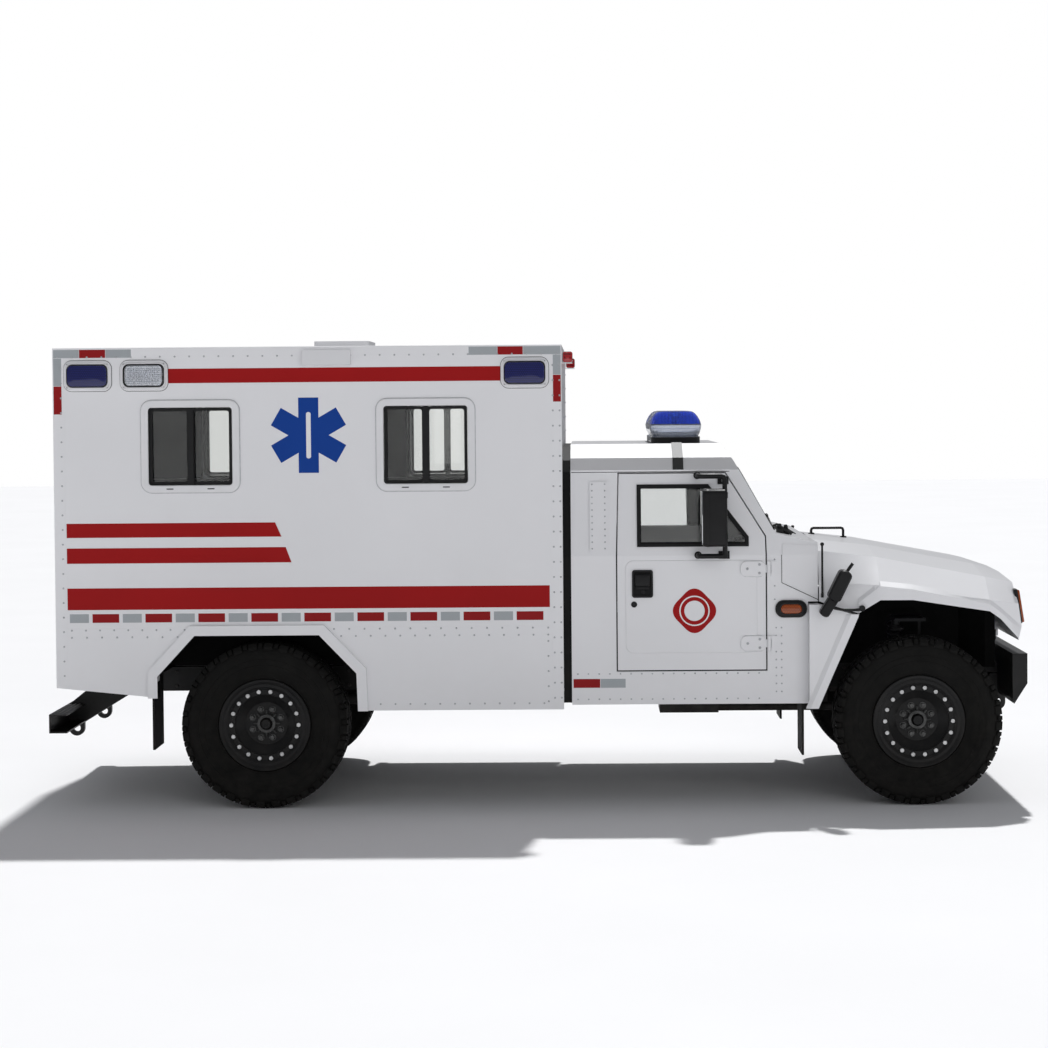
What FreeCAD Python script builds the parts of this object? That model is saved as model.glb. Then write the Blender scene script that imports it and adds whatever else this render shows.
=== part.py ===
import FreeCAD, Part
import os
import Sketcher
from FreeCAD import Placement, Rotation, Vector

# Off-road box ambulance truck. X points forward, Y to the vehicle's left and Z up.
# The origin lies on the ground, half way between the rear beam and the front bumper.

doc = FreeCAD.newDocument("BoxAmbulance")

# Every size is in millimetres. Stations along X are counted from the axle, wall or seam they follow.
SIZES = {
    # Whole vehicle
    "wheelbase": 3680,
    "front_overhang": 621,
    "rear_overhang": 1238,
    "track_width": 1820,
    "seat_gap": 0.3,
    "overrun": 10,
    # Wheels
    "tyre_radius": 470,
    "tyre_width": 317,
    "tread_edge_drop": 22,
    "lug_depth": 14,
    "bead_radius": 217,
    "rim_flange_radius": 232,
    "rim_width": 254,
    "rim_wall": 9,
    "rim_barrel_radius": 200,
    "rim_flange_width": 12,
    "disc_offset": 20,
    "disc_thickness": 14,
    "disc_dish": 46,
    "disc_flat_radius": 120,
    "hub_cap_radius": 50,
    "hub_cap_reach": 58,
    "hub_flange_radius": 78,
    "hub_running_gap": 0.5,
    # Steering knuckles and suspension
    "kingpin_inset": 70,
    "knuckle_half_width": 40,
    "knuckle_half_length": 45,
    "steering_arm_reach": 150,
    "steering_arm_thickness": 28,
    "lower_arm_height": 312,
    "upper_arm_height": 602,
    "arm_thickness": 36,
    "arm_tip_half_length": 34,
    "arm_root_half_length": 180,
    "arm_tip_reach": 30,
    "arm_knee_inset": 100,
    "damper_radius": 24,
    "spring_radius": 46,
    "strut_setback": 75,
    "spring_coil_height": 46,
    "strut_centre_inset": 340,
    "front_strut_top_height": 1000,
    "rear_strut_top_height": 752,
    "tower_thickness": 16,
    "tower_half_length": 90,
    "tower_depth": 90,
    # Chassis frame
    "rail_outer_half": 430,
    "rail_flange": 70,
    "rail_height": 140,
    "rail_base_height": 600,
    "rail_wall": 8,
    "rail_front_reach": 470,
    "rail_rear_reach": 1114.7,
    "member_length": 60,
    "member_height": 80,
    "drop_bracket_length": 50,
    "axle_beam_height": 60,
    # Drive train
    "diff_half_length": 130,
    "diff_half_width": 150,
    "diff_base_height": 400,
    "diff_height": 140,
    "half_shaft_radius": 22,
    "half_shaft_end_gap": 62,
    "engine_length": 700,
    "engine_half_width": 320,
    "engine_base_height": 560,
    "engine_height": 540,
    "engine_front_reach": 270,
    "engine_mount_height": 40,
    "gearbox_length": 650,
    "gearbox_half_width": 160,
    "gearbox_base_height": 480,
    "gearbox_height": 240,
    "transfer_length": 350,
    "transfer_drop": 60,
    "prop_shaft_radius": 35,
    "front_prop_radius": 24,
    "front_prop_offset": 120,
    "prop_height": 500,
    "front_prop_height": 450,
    "tank_length": 900,
    "tank_width": 480,
    "tank_base_height": 575,
    "tank_height": 155,
    "tank_rear_reach": 700,
    "tank_round": 40,
    "muffler_radius": 80,
    "muffler_length": 700,
    "muffler_height": 672,
    "muffler_half": 600,
    "muffler_rear_reach": 2050,
    "pipe_radius": 30,
    "pipe_length": 900,
    "hanger_length": 40,
    "radiator_thickness": 60,
    "radiator_half_width": 330,
    "radiator_height": 420,
    "radiator_setback": 510,
    # Load box
    "box_rear_reach": 1165,
    "box_half_width": 1075,
    "box_wall": 50,
    "box_top_height": 2595,
    "box_floor_height": 780,
    "box_floor_thickness": 60,
    "skirt_front_height": 554,
    "skirt_rear_height": 692,
    "skirt_arch_height": 633,
    "bearer_half_width": 690,
    "bearer_length": 60,
    "arch_rear_reach": 592,
    "arch_rear_knee_height": 755,
    "arch_rear_top_reach": 381,
    "arch_top_height": 983,
    "arch_front_top_reach": 318,
    "arch_front_knee_reach": 526,
    "arch_front_knee_height": 767,
    "arch_front_reach": 537,
    "flare_width": 55,
    "flare_reach": 30,
    "tub_wall": 25,
    "tub_inner_half": 720,
    "tub_top_height": 1020,
    "box_window_width": 470,
    "box_window_height": 435,
    "box_window_round": 35,
    "box_window_head_drop": 332,
    "box_window_frame": 42,
    "box_window_proud": 12,
    "box_window_sash": 16,
    "sash_depth": 18,
    "rear_window_reach": 770,
    "front_window_setback": 763,
    "pane_thickness": 6,
    "pane_inset": 30,
    "lamp_width": 268,
    "lamp_height": 172,
    "lamp_round": 45,
    "lamp_proud": 22,
    "lens_width": 226,
    "lens_height": 118,
    "lens_round": 34,
    "lens_proud": 16,
    "lamp_centre_drop": 151,
    "rear_lamp_reach": 198,
    "scene_lamp_reach": 515,
    "front_lamp_setback": 206,
    "vent_rear_reach": 1378,
    "vent_length": 325,
    "vent_height": 55,
    "vent_half_width": 240,
    "vent_round": 24,
    "side_hood_length": 271,
    "side_hood_height": 85,
    "side_hood_proud": 46,
    "side_hood_drop": 15,
    "door_opening_half": 880,
    "door_opening_base": 800,
    "door_opening_drop": 125,
    "rear_door_gap": 6,
    "rear_middle_gap": 11,
    "rear_hinge_offset": 14,
    "rear_hinge_inset": 10,
    "rear_hinge_radius": 12,
    "rear_hinge_length": 140,
    "rear_leaf_thickness": 6,
    "rear_leaf_width": 66,
    "rear_window_width": 470,
    "rear_window_height": 520,
    "rear_window_head_drop": 295,
    "rear_handle_length": 260,
    "rear_handle_width": 34,
    "rear_handle_proud": 40,
    "rear_handle_height": 1340,
    "tail_lamp_width": 190,
    "tail_lamp_height": 84,
    "tail_lamp_proud": 18,
    "tail_lamp_base_height": 704,
    "tail_lamp_half": 1000,
    "corner_lamp_length": 66,
    "corner_lamp_height": 60,
    "corner_lamp_width": 90,
    "corner_lamp_drop": 95,
    "corner_lamp_half": 1010,
    # Cab
    "cab_gap": 45,
    "cab_length": 1392,
    "cab_half_width": 1010,
    "cab_wall": 36,
    "cab_base_height": 572,
    "belt_height": 1410,
    "gutter_height": 1889,
    "gutter_half_width": 936,
    "shoulder_height": 1958,
    "shoulder_half_width": 884,
    "roof_height": 2035,
    "roof_half_width": 690,
    "roof_front_setback": 538,
    "screen_head_height": 1942,
    "screen_head_setback": 471,
    "screen_foot_height": 1530,
    "screen_foot_setback": 240,
    "cowl_front_height": 1478,
    "cowl_base_height": 1146,
    "firewall_setback": 62,
    "screen_half_width": 800,
    "screen_thickness": 8,
    "screen_inset": 14,
    "cab_floor_height": 760,
    "cab_floor_thickness": 40,
    "mount_pad_height": 19.7,
    "mount_pad_length": 80,
    "door_rear_reach": 258,
    "door_front_setback": 297,
    "door_base_height": 763,
    "door_top_height": 1883,
    "door_rake_height": 1515,
    "door_rake_setback": 513,
    "door_gap": 8,
    "door_depth": 200,
    "glass_rear_reach": 396,
    "glass_front_setback": 416,
    "glass_base_height": 1483,
    "glass_top_height": 1785,
    "glass_rake_height": 1505,
    "glass_rake_setback": 628,
    "glass_frame": 24,
    "glass_frame_proud": 8,
    "quarter_bar_setback": 532,
    "quarter_bar_width": 22,
    "door_glass_inset": 20,
    "hinge_offset": 15,
    "hinge_radius": 11,
    "hinge_leaf_reach": 146,
    "hinge_leaf_thickness": 8,
    "hinge_height": 85,
    "hinge_barrel": 45,
    "hinge_play": 0.5,
    "hinge_leaf_gap": 2,
    "fixed_leaf_length": 32,
    "upper_hinge_height": 1290,
    "lower_hinge_height": 870,
    "handle_reach": 342,
    "handle_width": 118,
    "handle_height": 156,
    "handle_round": 14,
    "handle_base_height": 1174,
    "handle_proud": 10,
    "mirror_tube_radius": 13,
    "mirror_tube_setback": 532,
    "mirror_tube_half": 1135,
    "mirror_low_height": 1412,
    "mirror_high_height": 1830,
    "mirror_foot_length": 62,
    "mirror_foot_height": 44,
    "mirror_head_thickness": 58,
    "mirror_head_width": 190,
    "mirror_head_height": 315,
    "mirror_head_base_height": 1470,
    "mirror_head_round": 26,
    "vent_plate_reach": 107,
    "vent_plate_width": 98,
    "vent_plate_height": 389,
    "vent_plate_base_height": 1437,
    "vent_plate_proud": 12,
    "seal_width": 50,
    "seal_inset": 14,
    # Cab inside
    "seat_base_height": 150,
    "seat_half_spread": 470,
    "seat_width": 500,
    "seat_length": 500,
    "seat_rear_reach": 260,
    "cushion_height": 120,
    "cushion_round": 40,
    "back_thickness": 120,
    "back_height": 620,
    "back_lean": 110,
    "dash_depth": 330,
    "dash_height": 310,
    "dash_base_height": 1130,
    "dash_setback": 428.3,
    "steering_radius": 215,
    "steering_rim_radius": 15,
    "steering_hub_radius": 55,
    "steering_column_radius": 28,
    "steering_centre_height": 1330,
    "steering_setback": 560,
    "steering_offset": 450,
    "steering_spoke": 30,
    # Bonnet and front panels
    "bonnet_gap": 6,
    "bonnet_wall": 28,
    "seam_to_axle": 555,
    "bonnet_hinge_reach": 508,
    "bonnet_hinge_height": 900,
    "bonnet_hinge_radius": 12,
    "bonnet_eye_wall": 15,
    "bonnet_hinge_half": 385,
    "hinge_plate": 10,
    "hinge_bore_play": 0.08,
    "crown_rear_height": 1480,
    "crown_mid_reach": 221,
    "crown_mid_height": 1443,
    "crown_front_reach": 388,
    "crown_front_height": 1330,
    "nose_reach": 590,
    "nose_crown_height": 1262,
    "shoulder_rear_half": 900,
    "shoulder_rear_height": 1426,
    "shoulder_mid_half": 905,
    "shoulder_mid_height": 1388,
    "shoulder_front_half": 930,
    "shoulder_front_height": 1274,
    "nose_shoulder_half": 880,
    "nose_shoulder_height": 1230,
    "side_rear_half": 1012,
    "side_rear_height": 1257,
    "crease_half": 1100,
    "crease_mid_height": 1240,
    "crease_front_height": 1156,
    "nose_side_half": 985,
    "nose_side_height": 1120,
    "nose_top_reach": 542,
    "nose_chin_reach": 584,
    "nose_chin_height": 997,
    "nose_base_reach": 565,
    "nose_base_height": 920,
    "fender_foot_setback": 14,
    "fender_foot_height": 552,
    "fender_knee_setback": 341,
    "fender_knee_height": 1082,
    "front_arch_rear_setback": 221,
    "front_arch_rear_height": 1158,
    "front_arch_mid_setback": 41,
    "front_arch_front_reach": 388,
    "front_arch_front_height": 1092,
    "front_arch_knee_reach": 456,
    "front_arch_knee_height": 1044,
    "front_arch_low_reach": 559,
    "front_arch_low_height": 935,
    "grille_half_width": 520,
    "grille_base_height": 1010,
    "grille_top_height": 1200,
    "grille_bar": 16,
    "grille_frame": 22,
    "grille_depth": 30,
    "head_lamp_half": 760,
    "head_lamp_width": 230,
    "head_lamp_height": 150,
    "head_lamp_base_height": 1030,
    "head_lamp_round": 30,
    "head_lamp_depth": 60,
    "turn_lamp_reach": 712,
    "turn_lamp_length": 178,
    "turn_lamp_height": 98,
    "turn_lamp_base_height": 1044,
    "turn_lamp_proud": 30,
    "turn_lamp_round": 46,
    "grab_half": 560,
    "grab_reach": 20,
    "grab_length": 195,
    "grab_height": 62,
    "grab_radius": 10,
    "grab_seat": 1.7,
    "fender_mirror_half": 1165,
    "fender_mirror_reach": 10,
    "fender_mirror_base_height": 1052,
    "fender_mirror_length": 60,
    "fender_mirror_height": 300,
    "fender_mirror_width": 110,
    "fender_mirror_lean": 170,
    # Bumpers, flaps and roof lamps
    "bumper_depth": 84,
    "bumper_half_width": 960,
    "bumper_base_height": 672,
    "bumper_top_height": 840,
    "bumper_chin_height": 556,
    "bumper_chin_depth": 26,
    "bumper_chin_setback": 74,
    "bumper_bracket_width": 60,
    "tow_plate": 30,
    "tow_eye_radius": 22,
    "tow_eye_wall": 24,
    "tow_eye_height": 505,
    "beam_depth": 101,
    "beam_height": 107,
    "beam_base_height": 420,
    "beam_half_width": 950,
    "beam_wall": 8,
    "beam_plate_length": 262,
    "rear_eye_height": 385,
    "flap_thickness": 12,
    "flap_width": 300,
    "flap_half": 845,
    "rear_flap_reach": 640,
    "rear_flap_base_height": 328,
    "front_flap_setback": 85,
    "front_flap_base_height": 275,
    "beacon_half_width": 560,
    "beacon_length": 285,
    "beacon_setback": 784,
    "beacon_base": 34,
    "beacon_height": 176,
    "beacon_end": 330,
    "beacon_round": 60,
    "strap_width": 60,
    "strap_thickness": 6,
    # Inside the load box
    "bench_length": 1700,
    "bench_depth": 430,
    "bench_height": 400,
    "bench_front_setback": 520,
    "bench_cushion": 90,
    "cabinet_depth": 380,
    "cabinet_height": 1000,
    "cabinet_half_width": 520,
}


class Size:
    """A length that carries its number and the sheet formula behind it."""

    def __init__(self, value, formula):
        self.value = float(value)
        self.formula = formula

    def __float__(self):
        return self.value

    def __neg__(self):
        return Size(-self.value, "(-" + self.formula + ")")

    def __add__(self, other):
        return joined(self, other, "+", self.value + float(other))

    def __radd__(self, other):
        return joined(other, self, "+", float(other) + self.value)

    def __sub__(self, other):
        return joined(self, other, "-", self.value - float(other))

    def __rsub__(self, other):
        return joined(other, self, "-", float(other) - self.value)

    def __mul__(self, other):
        return joined(self, other, "*", self.value * float(other))

    def __rmul__(self, other):
        return joined(other, self, "*", float(other) * self.value)

    def __truediv__(self, other):
        return joined(self, other, "/", self.value / float(other))


def formula_of(item):
    """The formula of a size, or a plain number as text."""
    if isinstance(item, Size):
        return item.formula
    return repr(float(item))


def joined(left, right, sign, value):
    """A size made from two others, with its formula in brackets."""
    return Size(value, "(" + formula_of(left) + sign + formula_of(right) + ")")


class SizeSheet:
    """The spreadsheet of driving sizes, whose names read as lengths."""

    def __init__(self, table):
        self.cells = doc.addObject("Spreadsheet::Sheet", "Sizes")
        for row, (name, value) in enumerate(table.items(), 1):
            self.cells.set("A%d" % row, name)
            self.cells.set("B%d" % row, str(value))
            self.cells.setAlias("B%d" % row, name)
            setattr(self, name, Size(value, "Sizes." + name))


s = SizeSheet(SIZES)
doc.recompute()

# Turns that lay a flat sketch in the side view, the end view or the plan view.
TURNS = {
    "XZ": Rotation(Vector(1, 0, 0), 90),
    "YZ": Rotation(Vector(1, 1, 1), 120),
    "XY": Rotation(),
}
# Turns that lay a cylinder along an axis.
ALONG = {
    "X": Rotation(Vector(0, 1, 0), 90),
    "Y": Rotation(Vector(1, 0, 0), -90),
    "Z": Rotation(),
}
AXES = {"X": Vector(1, 0, 0), "Y": Vector(0, 1, 0), "Z": Vector(0, 0, 1)}
HALF = 0.5
# Where a coil's outer face starts and ends, and where the damper shows again, as shares of its pitch.
COIL_SHARES = (0.3, 0.6, 0.9)
# The foot and head of the windscreen's opening, as shares of the screen's height.
SCREEN_SHARES = (0.1, 0.86)
# The dashboard's front lip, the depth of its top and the height of that top's rear edge, as shares.
DASH_SHARES = (0.2, 0.8, 0.9)
# How far the bonnet's top bulges over a straight line from crown to shoulder, as a share of their difference.
CROWN_SHARE = 0.3
# Front and rear face of the grille's bars, as shares of its depth.
BAR_SHARES = (0.2, 0.6)
CHIN_SHARE = 0.3
BEACON_SHARE = 0.4
nodes = []


def bind(item, path, length):
    """Ties a property to the sheet, or sets it where it is zero."""
    if isinstance(length, Size):
        item.setExpression(path, length.formula)


def place(item, x, y, z):
    """Ties the three coordinates of a placement to the sheet."""
    bind(item, "Placement.Base.x", x)
    bind(item, "Placement.Base.y", y)
    bind(item, "Placement.Base.z", z)


def block(name, low, high):
    """A plain block between two corners."""
    item = doc.addObject("Part::Box", name)
    bind(item, "Length", high[0] - low[0])
    bind(item, "Width", high[1] - low[1])
    bind(item, "Height", high[2] - low[2])
    place(item, *low)
    return item


def rod(name, axis, radius, start, length):
    """A round bar from its start along one axis."""
    item = doc.addObject("Part::Cylinder", name)
    item.Placement = Placement(Vector(), ALONG[axis])
    bind(item, "Radius", radius)
    bind(item, "Height", length)
    place(item, *start)
    return item


def outline(name, plane, corners, base=(0, 0, 0)):
    """A closed sketch whose corners the sheet drives."""
    sketch = doc.addObject("Sketcher::SketchObject", name)
    sketch.Placement = Placement(Vector(), TURNS[plane])
    count = len(corners)
    spots = [Vector(float(across), float(up), 0) for across, up in corners]
    sketch.addGeometry([Part.LineSegment(spots[i], spots[(i + 1) % count]) for i in range(count)])
    ties = [Sketcher.Constraint("Coincident", i, 2, (i + 1) % count, 1) for i in range(count)]
    for i, spot in enumerate(spots):
        ties.append(Sketcher.Constraint("DistanceX", -1, 1, i, 1, spot.x))
        ties.append(Sketcher.Constraint("DistanceY", -1, 1, i, 1, spot.y))
    sketch.addConstraint(ties)
    for i, (across, up) in enumerate(corners):
        bind(sketch, "Constraints[%d]" % (count + 2 * i), across)
        bind(sketch, "Constraints[%d]" % (count + 2 * i + 1), up)
    place(sketch, *base)
    return sketch


def rounded_outline(name, plane, low, high, radius):
    """A rectangle with round corners, drawn counter-clockwise from its lower side."""
    sketch = doc.addObject("Sketcher::SketchObject", name)
    sketch.Placement = Placement(Vector(), TURNS[plane])
    left, base = float(low[0]), float(low[1])
    right, top = float(high[0]), float(high[1])
    turn = float(radius)
    sides = [
        ((left + turn, base), (right - turn, base)),
        ((right, base + turn), (right, top - turn)),
        ((right - turn, top), (left + turn, top)),
        ((left, top - turn), (left, base + turn)),
    ]
    centres = [
        (high[0] - radius, low[1] + radius),
        (high[0] - radius, high[1] - radius),
        (low[0] + radius, high[1] - radius),
        (low[0] + radius, low[1] + radius),
    ]
    quarter = Part.Circle(Vector(), Vector(0, 0, 1), turn).LastParameter / 4
    shapes = [Part.LineSegment(Vector(*a, 0), Vector(*b, 0)) for a, b in sides]
    for i, (across, up) in enumerate(centres):
        ring = Part.Circle(Vector(float(across), float(up), 0), Vector(0, 0, 1), turn)
        shapes.append(Part.ArcOfCircle(ring, (i - 1) * quarter, i * quarter))
    sketch.addGeometry(shapes)
    ties = []
    for i in range(4):
        ties.append(Sketcher.Constraint("Tangent", i, 2, 4 + i, 1))
        ties.append(Sketcher.Constraint("Tangent", 4 + i, 2, (i + 1) % 4, 1))
    first = len(ties)
    for i, (across, up) in enumerate(centres):
        ties.append(Sketcher.Constraint("DistanceX", -1, 1, 4 + i, 3, float(across)))
        ties.append(Sketcher.Constraint("DistanceY", -1, 1, 4 + i, 3, float(up)))
        ties.append(Sketcher.Constraint("Radius", 4 + i, turn))
    sketch.addConstraint(ties)
    for i, (across, up) in enumerate(centres):
        bind(sketch, "Constraints[%d]" % (first + 3 * i), across)
        bind(sketch, "Constraints[%d]" % (first + 3 * i + 1), up)
        bind(sketch, "Constraints[%d]" % (first + 3 * i + 2), radius)
    return sketch


def drawn(name, flat, axis, start, length, taper=0):
    """A flat outline drawn out along one axis from its start; a taper narrows it."""
    item = doc.addObject("Part::Extrusion", name)
    item.Base = flat
    item.DirMode = "Custom"
    item.Dir = AXES[axis]
    item.Solid = True
    item.TaperAngle = taper
    bind(item, "LengthFwd", length)
    bind(item, "Placement.Base." + axis.lower(), start)
    return item


def prism(name, plane, corners, axis, start, length):
    """A cornered outline drawn out to a solid."""
    return drawn(name, outline(name + "_outline", plane, corners), axis, start, length)


def plate(name, plane, low, high, radius, axis, start, length):
    """A plate with round corners."""
    return drawn(name, rounded_outline(name + "_outline", plane, low, high, radius), axis, start, length)


def grown(name, flat, distance):
    """An outline moved outwards by a distance, with sharp corners kept."""
    item = doc.addObject("Part::Offset2D", name)
    item.Source = flat
    item.Join = 2
    bind(item, "Value", distance)
    return item


def cut(name, base, tool):
    """One solid less another."""
    item = doc.addObject("Part::Cut", name)
    item.Base = base
    item.Tool = tool
    return item


def shared(name, first, second):
    """What two solids have in common."""
    item = doc.addObject("Part::Common", name)
    item.Base = first
    item.Tool = second
    return item


def fused(name, pieces):
    """Several touching solids as one."""
    item = doc.addObject("Part::MultiFuse", name)
    item.Shapes = pieces
    return item


def grouped(name, pieces):
    """Like pieces that don't touch, kept as separate solids."""
    item = doc.addObject("Part::Compound", name)
    item.Links = pieces
    return item


def mirrored(name, source):
    """The same piece on the other side of the vehicle."""
    item = doc.addObject("Part::Mirroring", name)
    item.Source = source
    item.Normal = Vector(0, 1, 0)
    item.Base = Vector()
    return item


def pair(name, source):
    """A right-hand piece with its left-hand mirror image."""
    return grouped(name, [source, mirrored(name + "_mirror", source)])


def spun(name, corners, axle_x, side_y, height):
    """A profile of reach along Y against radius, turned about a wheel's axle."""
    sketch = outline(name + "_profile", "XY", [(radius, reach) for reach, radius in corners])
    item = doc.addObject("Part::Revolution", name)
    item.Source = sketch
    item.Axis = Vector(0, 1, 0)
    item.Base = Vector()
    item.Angle = 360
    item.Solid = True
    place(item, axle_x, side_y, height)
    return item


def node(name, item):
    """Names a finished sub-part after its file."""
    item.Label = name
    nodes.append(item)
    return item


# Stations along X that the rest of the vehicle follows.
rear_axle = (s.rear_overhang - s.front_overhang - s.wheelbase) * HALF
front_axle = rear_axle + s.wheelbase
bonnet_seam = front_axle - s.seam_to_axle
cab_rear = bonnet_seam - s.cab_length
box_front = cab_rear - s.cab_gap
box_rear = rear_axle - s.box_rear_reach
rail_front = front_axle + s.rail_front_reach
rail_rear = rear_axle - s.rail_rear_reach
rail_top = s.rail_base_height + s.rail_height
wheel_half = s.track_width * HALF
kingpin_half = wheel_half - s.kingpin_inset
box_inner_half = s.box_half_width - s.box_wall
box_floor_top = s.box_floor_height + s.box_floor_thickness
window_sill = s.box_top_height - s.box_window_head_drop - s.box_window_height
lamp_centre = s.box_top_height - s.lamp_centre_drop
side_hood_top = s.box_top_height - s.side_hood_drop
corner_lamp_base = s.box_top_height - s.corner_lamp_drop
door_opening_top = s.box_top_height - s.door_opening_drop
rear_window_sill = s.box_top_height - s.rear_window_head_drop - s.rear_window_height
hub_height = s.tyre_radius

# Each axle with the height of its spring struts' upper ends.
AXLES = (
    ("front", front_axle, s.front_strut_top_height),
    ("rear", rear_axle, s.rear_strut_top_height),
)


def rim(name, axle, side):
    """A pressed steel rim with a dished disc and a hub cap, outboard face towards its side."""
    half = s.rim_width * HALF
    inner = s.rim_barrel_radius
    wall = s.rim_wall
    bed = inner + wall
    flange = s.rim_flange_width
    disc = s.disc_offset
    dish = disc + s.disc_dish
    back = disc + s.disc_thickness
    corners = [
        (disc, s.hub_cap_radius * 0),
        (disc, s.disc_flat_radius),
        (dish - s.disc_thickness, inner),
        (-half + wall, inner),
        (-half, s.bead_radius),
        (-half, s.rim_flange_radius),
        (-half + flange, s.rim_flange_radius),
        (-half + flange + wall, s.bead_radius),
        (-half + flange + wall + wall, bed),
        (half - flange - wall - wall, bed),
        (half - flange - wall, s.bead_radius),
        (half - flange, s.rim_flange_radius),
        (half, s.rim_flange_radius),
        (half, s.bead_radius),
        (half - wall, inner),
        (dish + wall, inner),
        (back, s.disc_flat_radius),
        (back, s.hub_cap_radius),
        (disc + s.hub_cap_reach, s.hub_cap_radius * HALF),
        (disc + s.hub_cap_reach, s.hub_cap_radius * 0),
    ]
    outward = [(reach * side, radius) for reach, radius in corners]
    return node(name, spun(name, outward, axle, wheel_half * side, hub_height))


def tyre(name, axle, side):
    """A wide off-road tyre that sits on the rim's beads."""
    half = s.tyre_width * HALF
    bead = s.rim_width * HALF - s.rim_flange_width - s.rim_wall - s.seat_gap
    low = s.bead_radius + s.seat_gap
    shoulder = s.tyre_radius - s.tread_edge_drop
    flank = (s.tyre_radius + low) * HALF
    corners = [
        (-bead, low),
        (-bead, s.rim_flange_radius + s.rim_wall),
        (-half + s.tread_edge_drop, flank - s.tread_edge_drop - s.tread_edge_drop),
        (-half, flank + s.tread_edge_drop),
        (-half + s.lug_depth, shoulder),
        (-half + s.lug_depth + s.tread_edge_drop, s.tyre_radius),
        (half - s.lug_depth - s.tread_edge_drop, s.tyre_radius),
        (half - s.lug_depth, shoulder),
        (half, flank + s.tread_edge_drop),
        (half - s.tread_edge_drop, flank - s.tread_edge_drop - s.tread_edge_drop),
        (bead, s.rim_flange_radius + s.rim_wall),
        (bead, low),
    ]
    return node(name, spun(name, corners, axle, wheel_half * side, hub_height))


def make_wheels():
    for end, axle, top in AXLES:
        for word, side in (("left", 1), ("right", -1)):
            rim("rim_%s_%s" % (end, word), axle, side)
            tyre("tyre_%s_%s" % (end, word), axle, side)


def hub_flange(name, axle):
    """The right-hand flange that the wheel's disc bolts to."""
    inner = kingpin_half + s.knuckle_half_width - s.overrun
    face = wheel_half + s.disc_offset - s.hub_running_gap
    return rod(name, "Y", s.hub_flange_radius, (axle, -face, hub_height), face - inner)


def upright(name, axle):
    """The right-hand upright between the two wishbones."""
    base = s.lower_arm_height + s.arm_thickness + s.hub_running_gap
    top = s.upper_arm_height - s.hub_running_gap
    low = (axle - s.knuckle_half_length, -kingpin_half - s.knuckle_half_width, base)
    high = (axle + s.knuckle_half_length, -kingpin_half + s.knuckle_half_width, top)
    return block(name, low, high)


def make_knuckles():
    """Steered uprights at the front, each with its hub flange and steering arm."""
    rise = s.steering_arm_thickness * HALF
    arm_inner = kingpin_half - s.knuckle_half_width
    lever = block(
        "steering_lever",
        (front_axle - s.steering_arm_reach, -arm_inner - s.steering_arm_thickness, hub_height - rise),
        (front_axle, -arm_inner, hub_height + rise),
    )
    right = fused("knuckle_right_body", [upright("front_upright", front_axle), hub_flange("front_hub", front_axle), lever])
    node("knuckle_right", right)
    node("knuckle_left", mirrored("knuckle_left_body", right))


def wishbone(name, axle, base_height):
    """A right-hand lower wishbone from the frame to the kingpin."""
    tip = -kingpin_half - s.arm_tip_reach
    knee = -kingpin_half + s.arm_knee_inset
    root = -s.rail_outer_half - s.seat_gap
    corners = [
        (axle - s.arm_tip_half_length, tip),
        (axle + s.arm_tip_half_length, tip),
        (axle + s.arm_tip_half_length, knee),
        (axle + s.arm_root_half_length, root),
        (axle + s.arm_tip_half_length, root),
        (axle, knee + s.arm_tip_half_length),
        (axle - s.arm_tip_half_length, root),
        (axle - s.arm_root_half_length, root),
        (axle - s.arm_tip_half_length, knee),
    ]
    return prism(name, "XY", corners, "Z", base_height, s.arm_thickness)


def upper_link(name, axle):
    """A right-hand upper link, which runs ahead of the strut."""
    tip = -kingpin_half - s.arm_tip_reach
    knee = -kingpin_half + s.arm_knee_inset
    root = -s.rail_outer_half - s.seat_gap
    corners = [
        (axle - s.arm_tip_half_length, tip),
        (axle + s.arm_tip_half_length, tip),
        (axle + s.arm_tip_half_length, knee),
        (axle + s.arm_root_half_length, root),
        (axle + s.arm_root_half_length * HALF, root),
        (axle - s.arm_tip_half_length, knee),
    ]
    return prism(name, "XY", corners, "Z", s.upper_arm_height, s.arm_thickness)


def strut(name, axle, top):
    """A right-hand spring over its damper, standing on the lower wishbone."""
    foot = s.lower_arm_height + s.arm_thickness + s.seat_gap
    head = top - s.seat_gap
    centre = wheel_half - s.strut_centre_inset
    corners = [(0 * s.damper_radius, foot), (s.damper_radius, foot)]
    turns = int(float(head - foot) / float(s.spring_coil_height)) - 1
    pitch = (head - foot) / (turns + 1)
    for turn in range(turns):
        level = foot + pitch * (turn + HALF)
        corners.append((s.damper_radius, level))
        corners.append((s.spring_radius, level + pitch * COIL_SHARES[0]))
        corners.append((s.spring_radius, level + pitch * COIL_SHARES[1]))
        corners.append((s.damper_radius, level + pitch * COIL_SHARES[2]))
    corners.append((s.damper_radius, head))
    corners.append((0 * s.damper_radius, head))
    sketch = outline(name + "_profile", "XZ", corners)
    item = doc.addObject("Part::Revolution", name)
    item.Source = sketch
    item.Axis = Vector(0, 0, 1)
    item.Angle = 360
    item.Solid = True
    bind(item, "Placement.Base.x", axle - s.strut_setback)
    bind(item, "Placement.Base.y", -centre)
    return item


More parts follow.
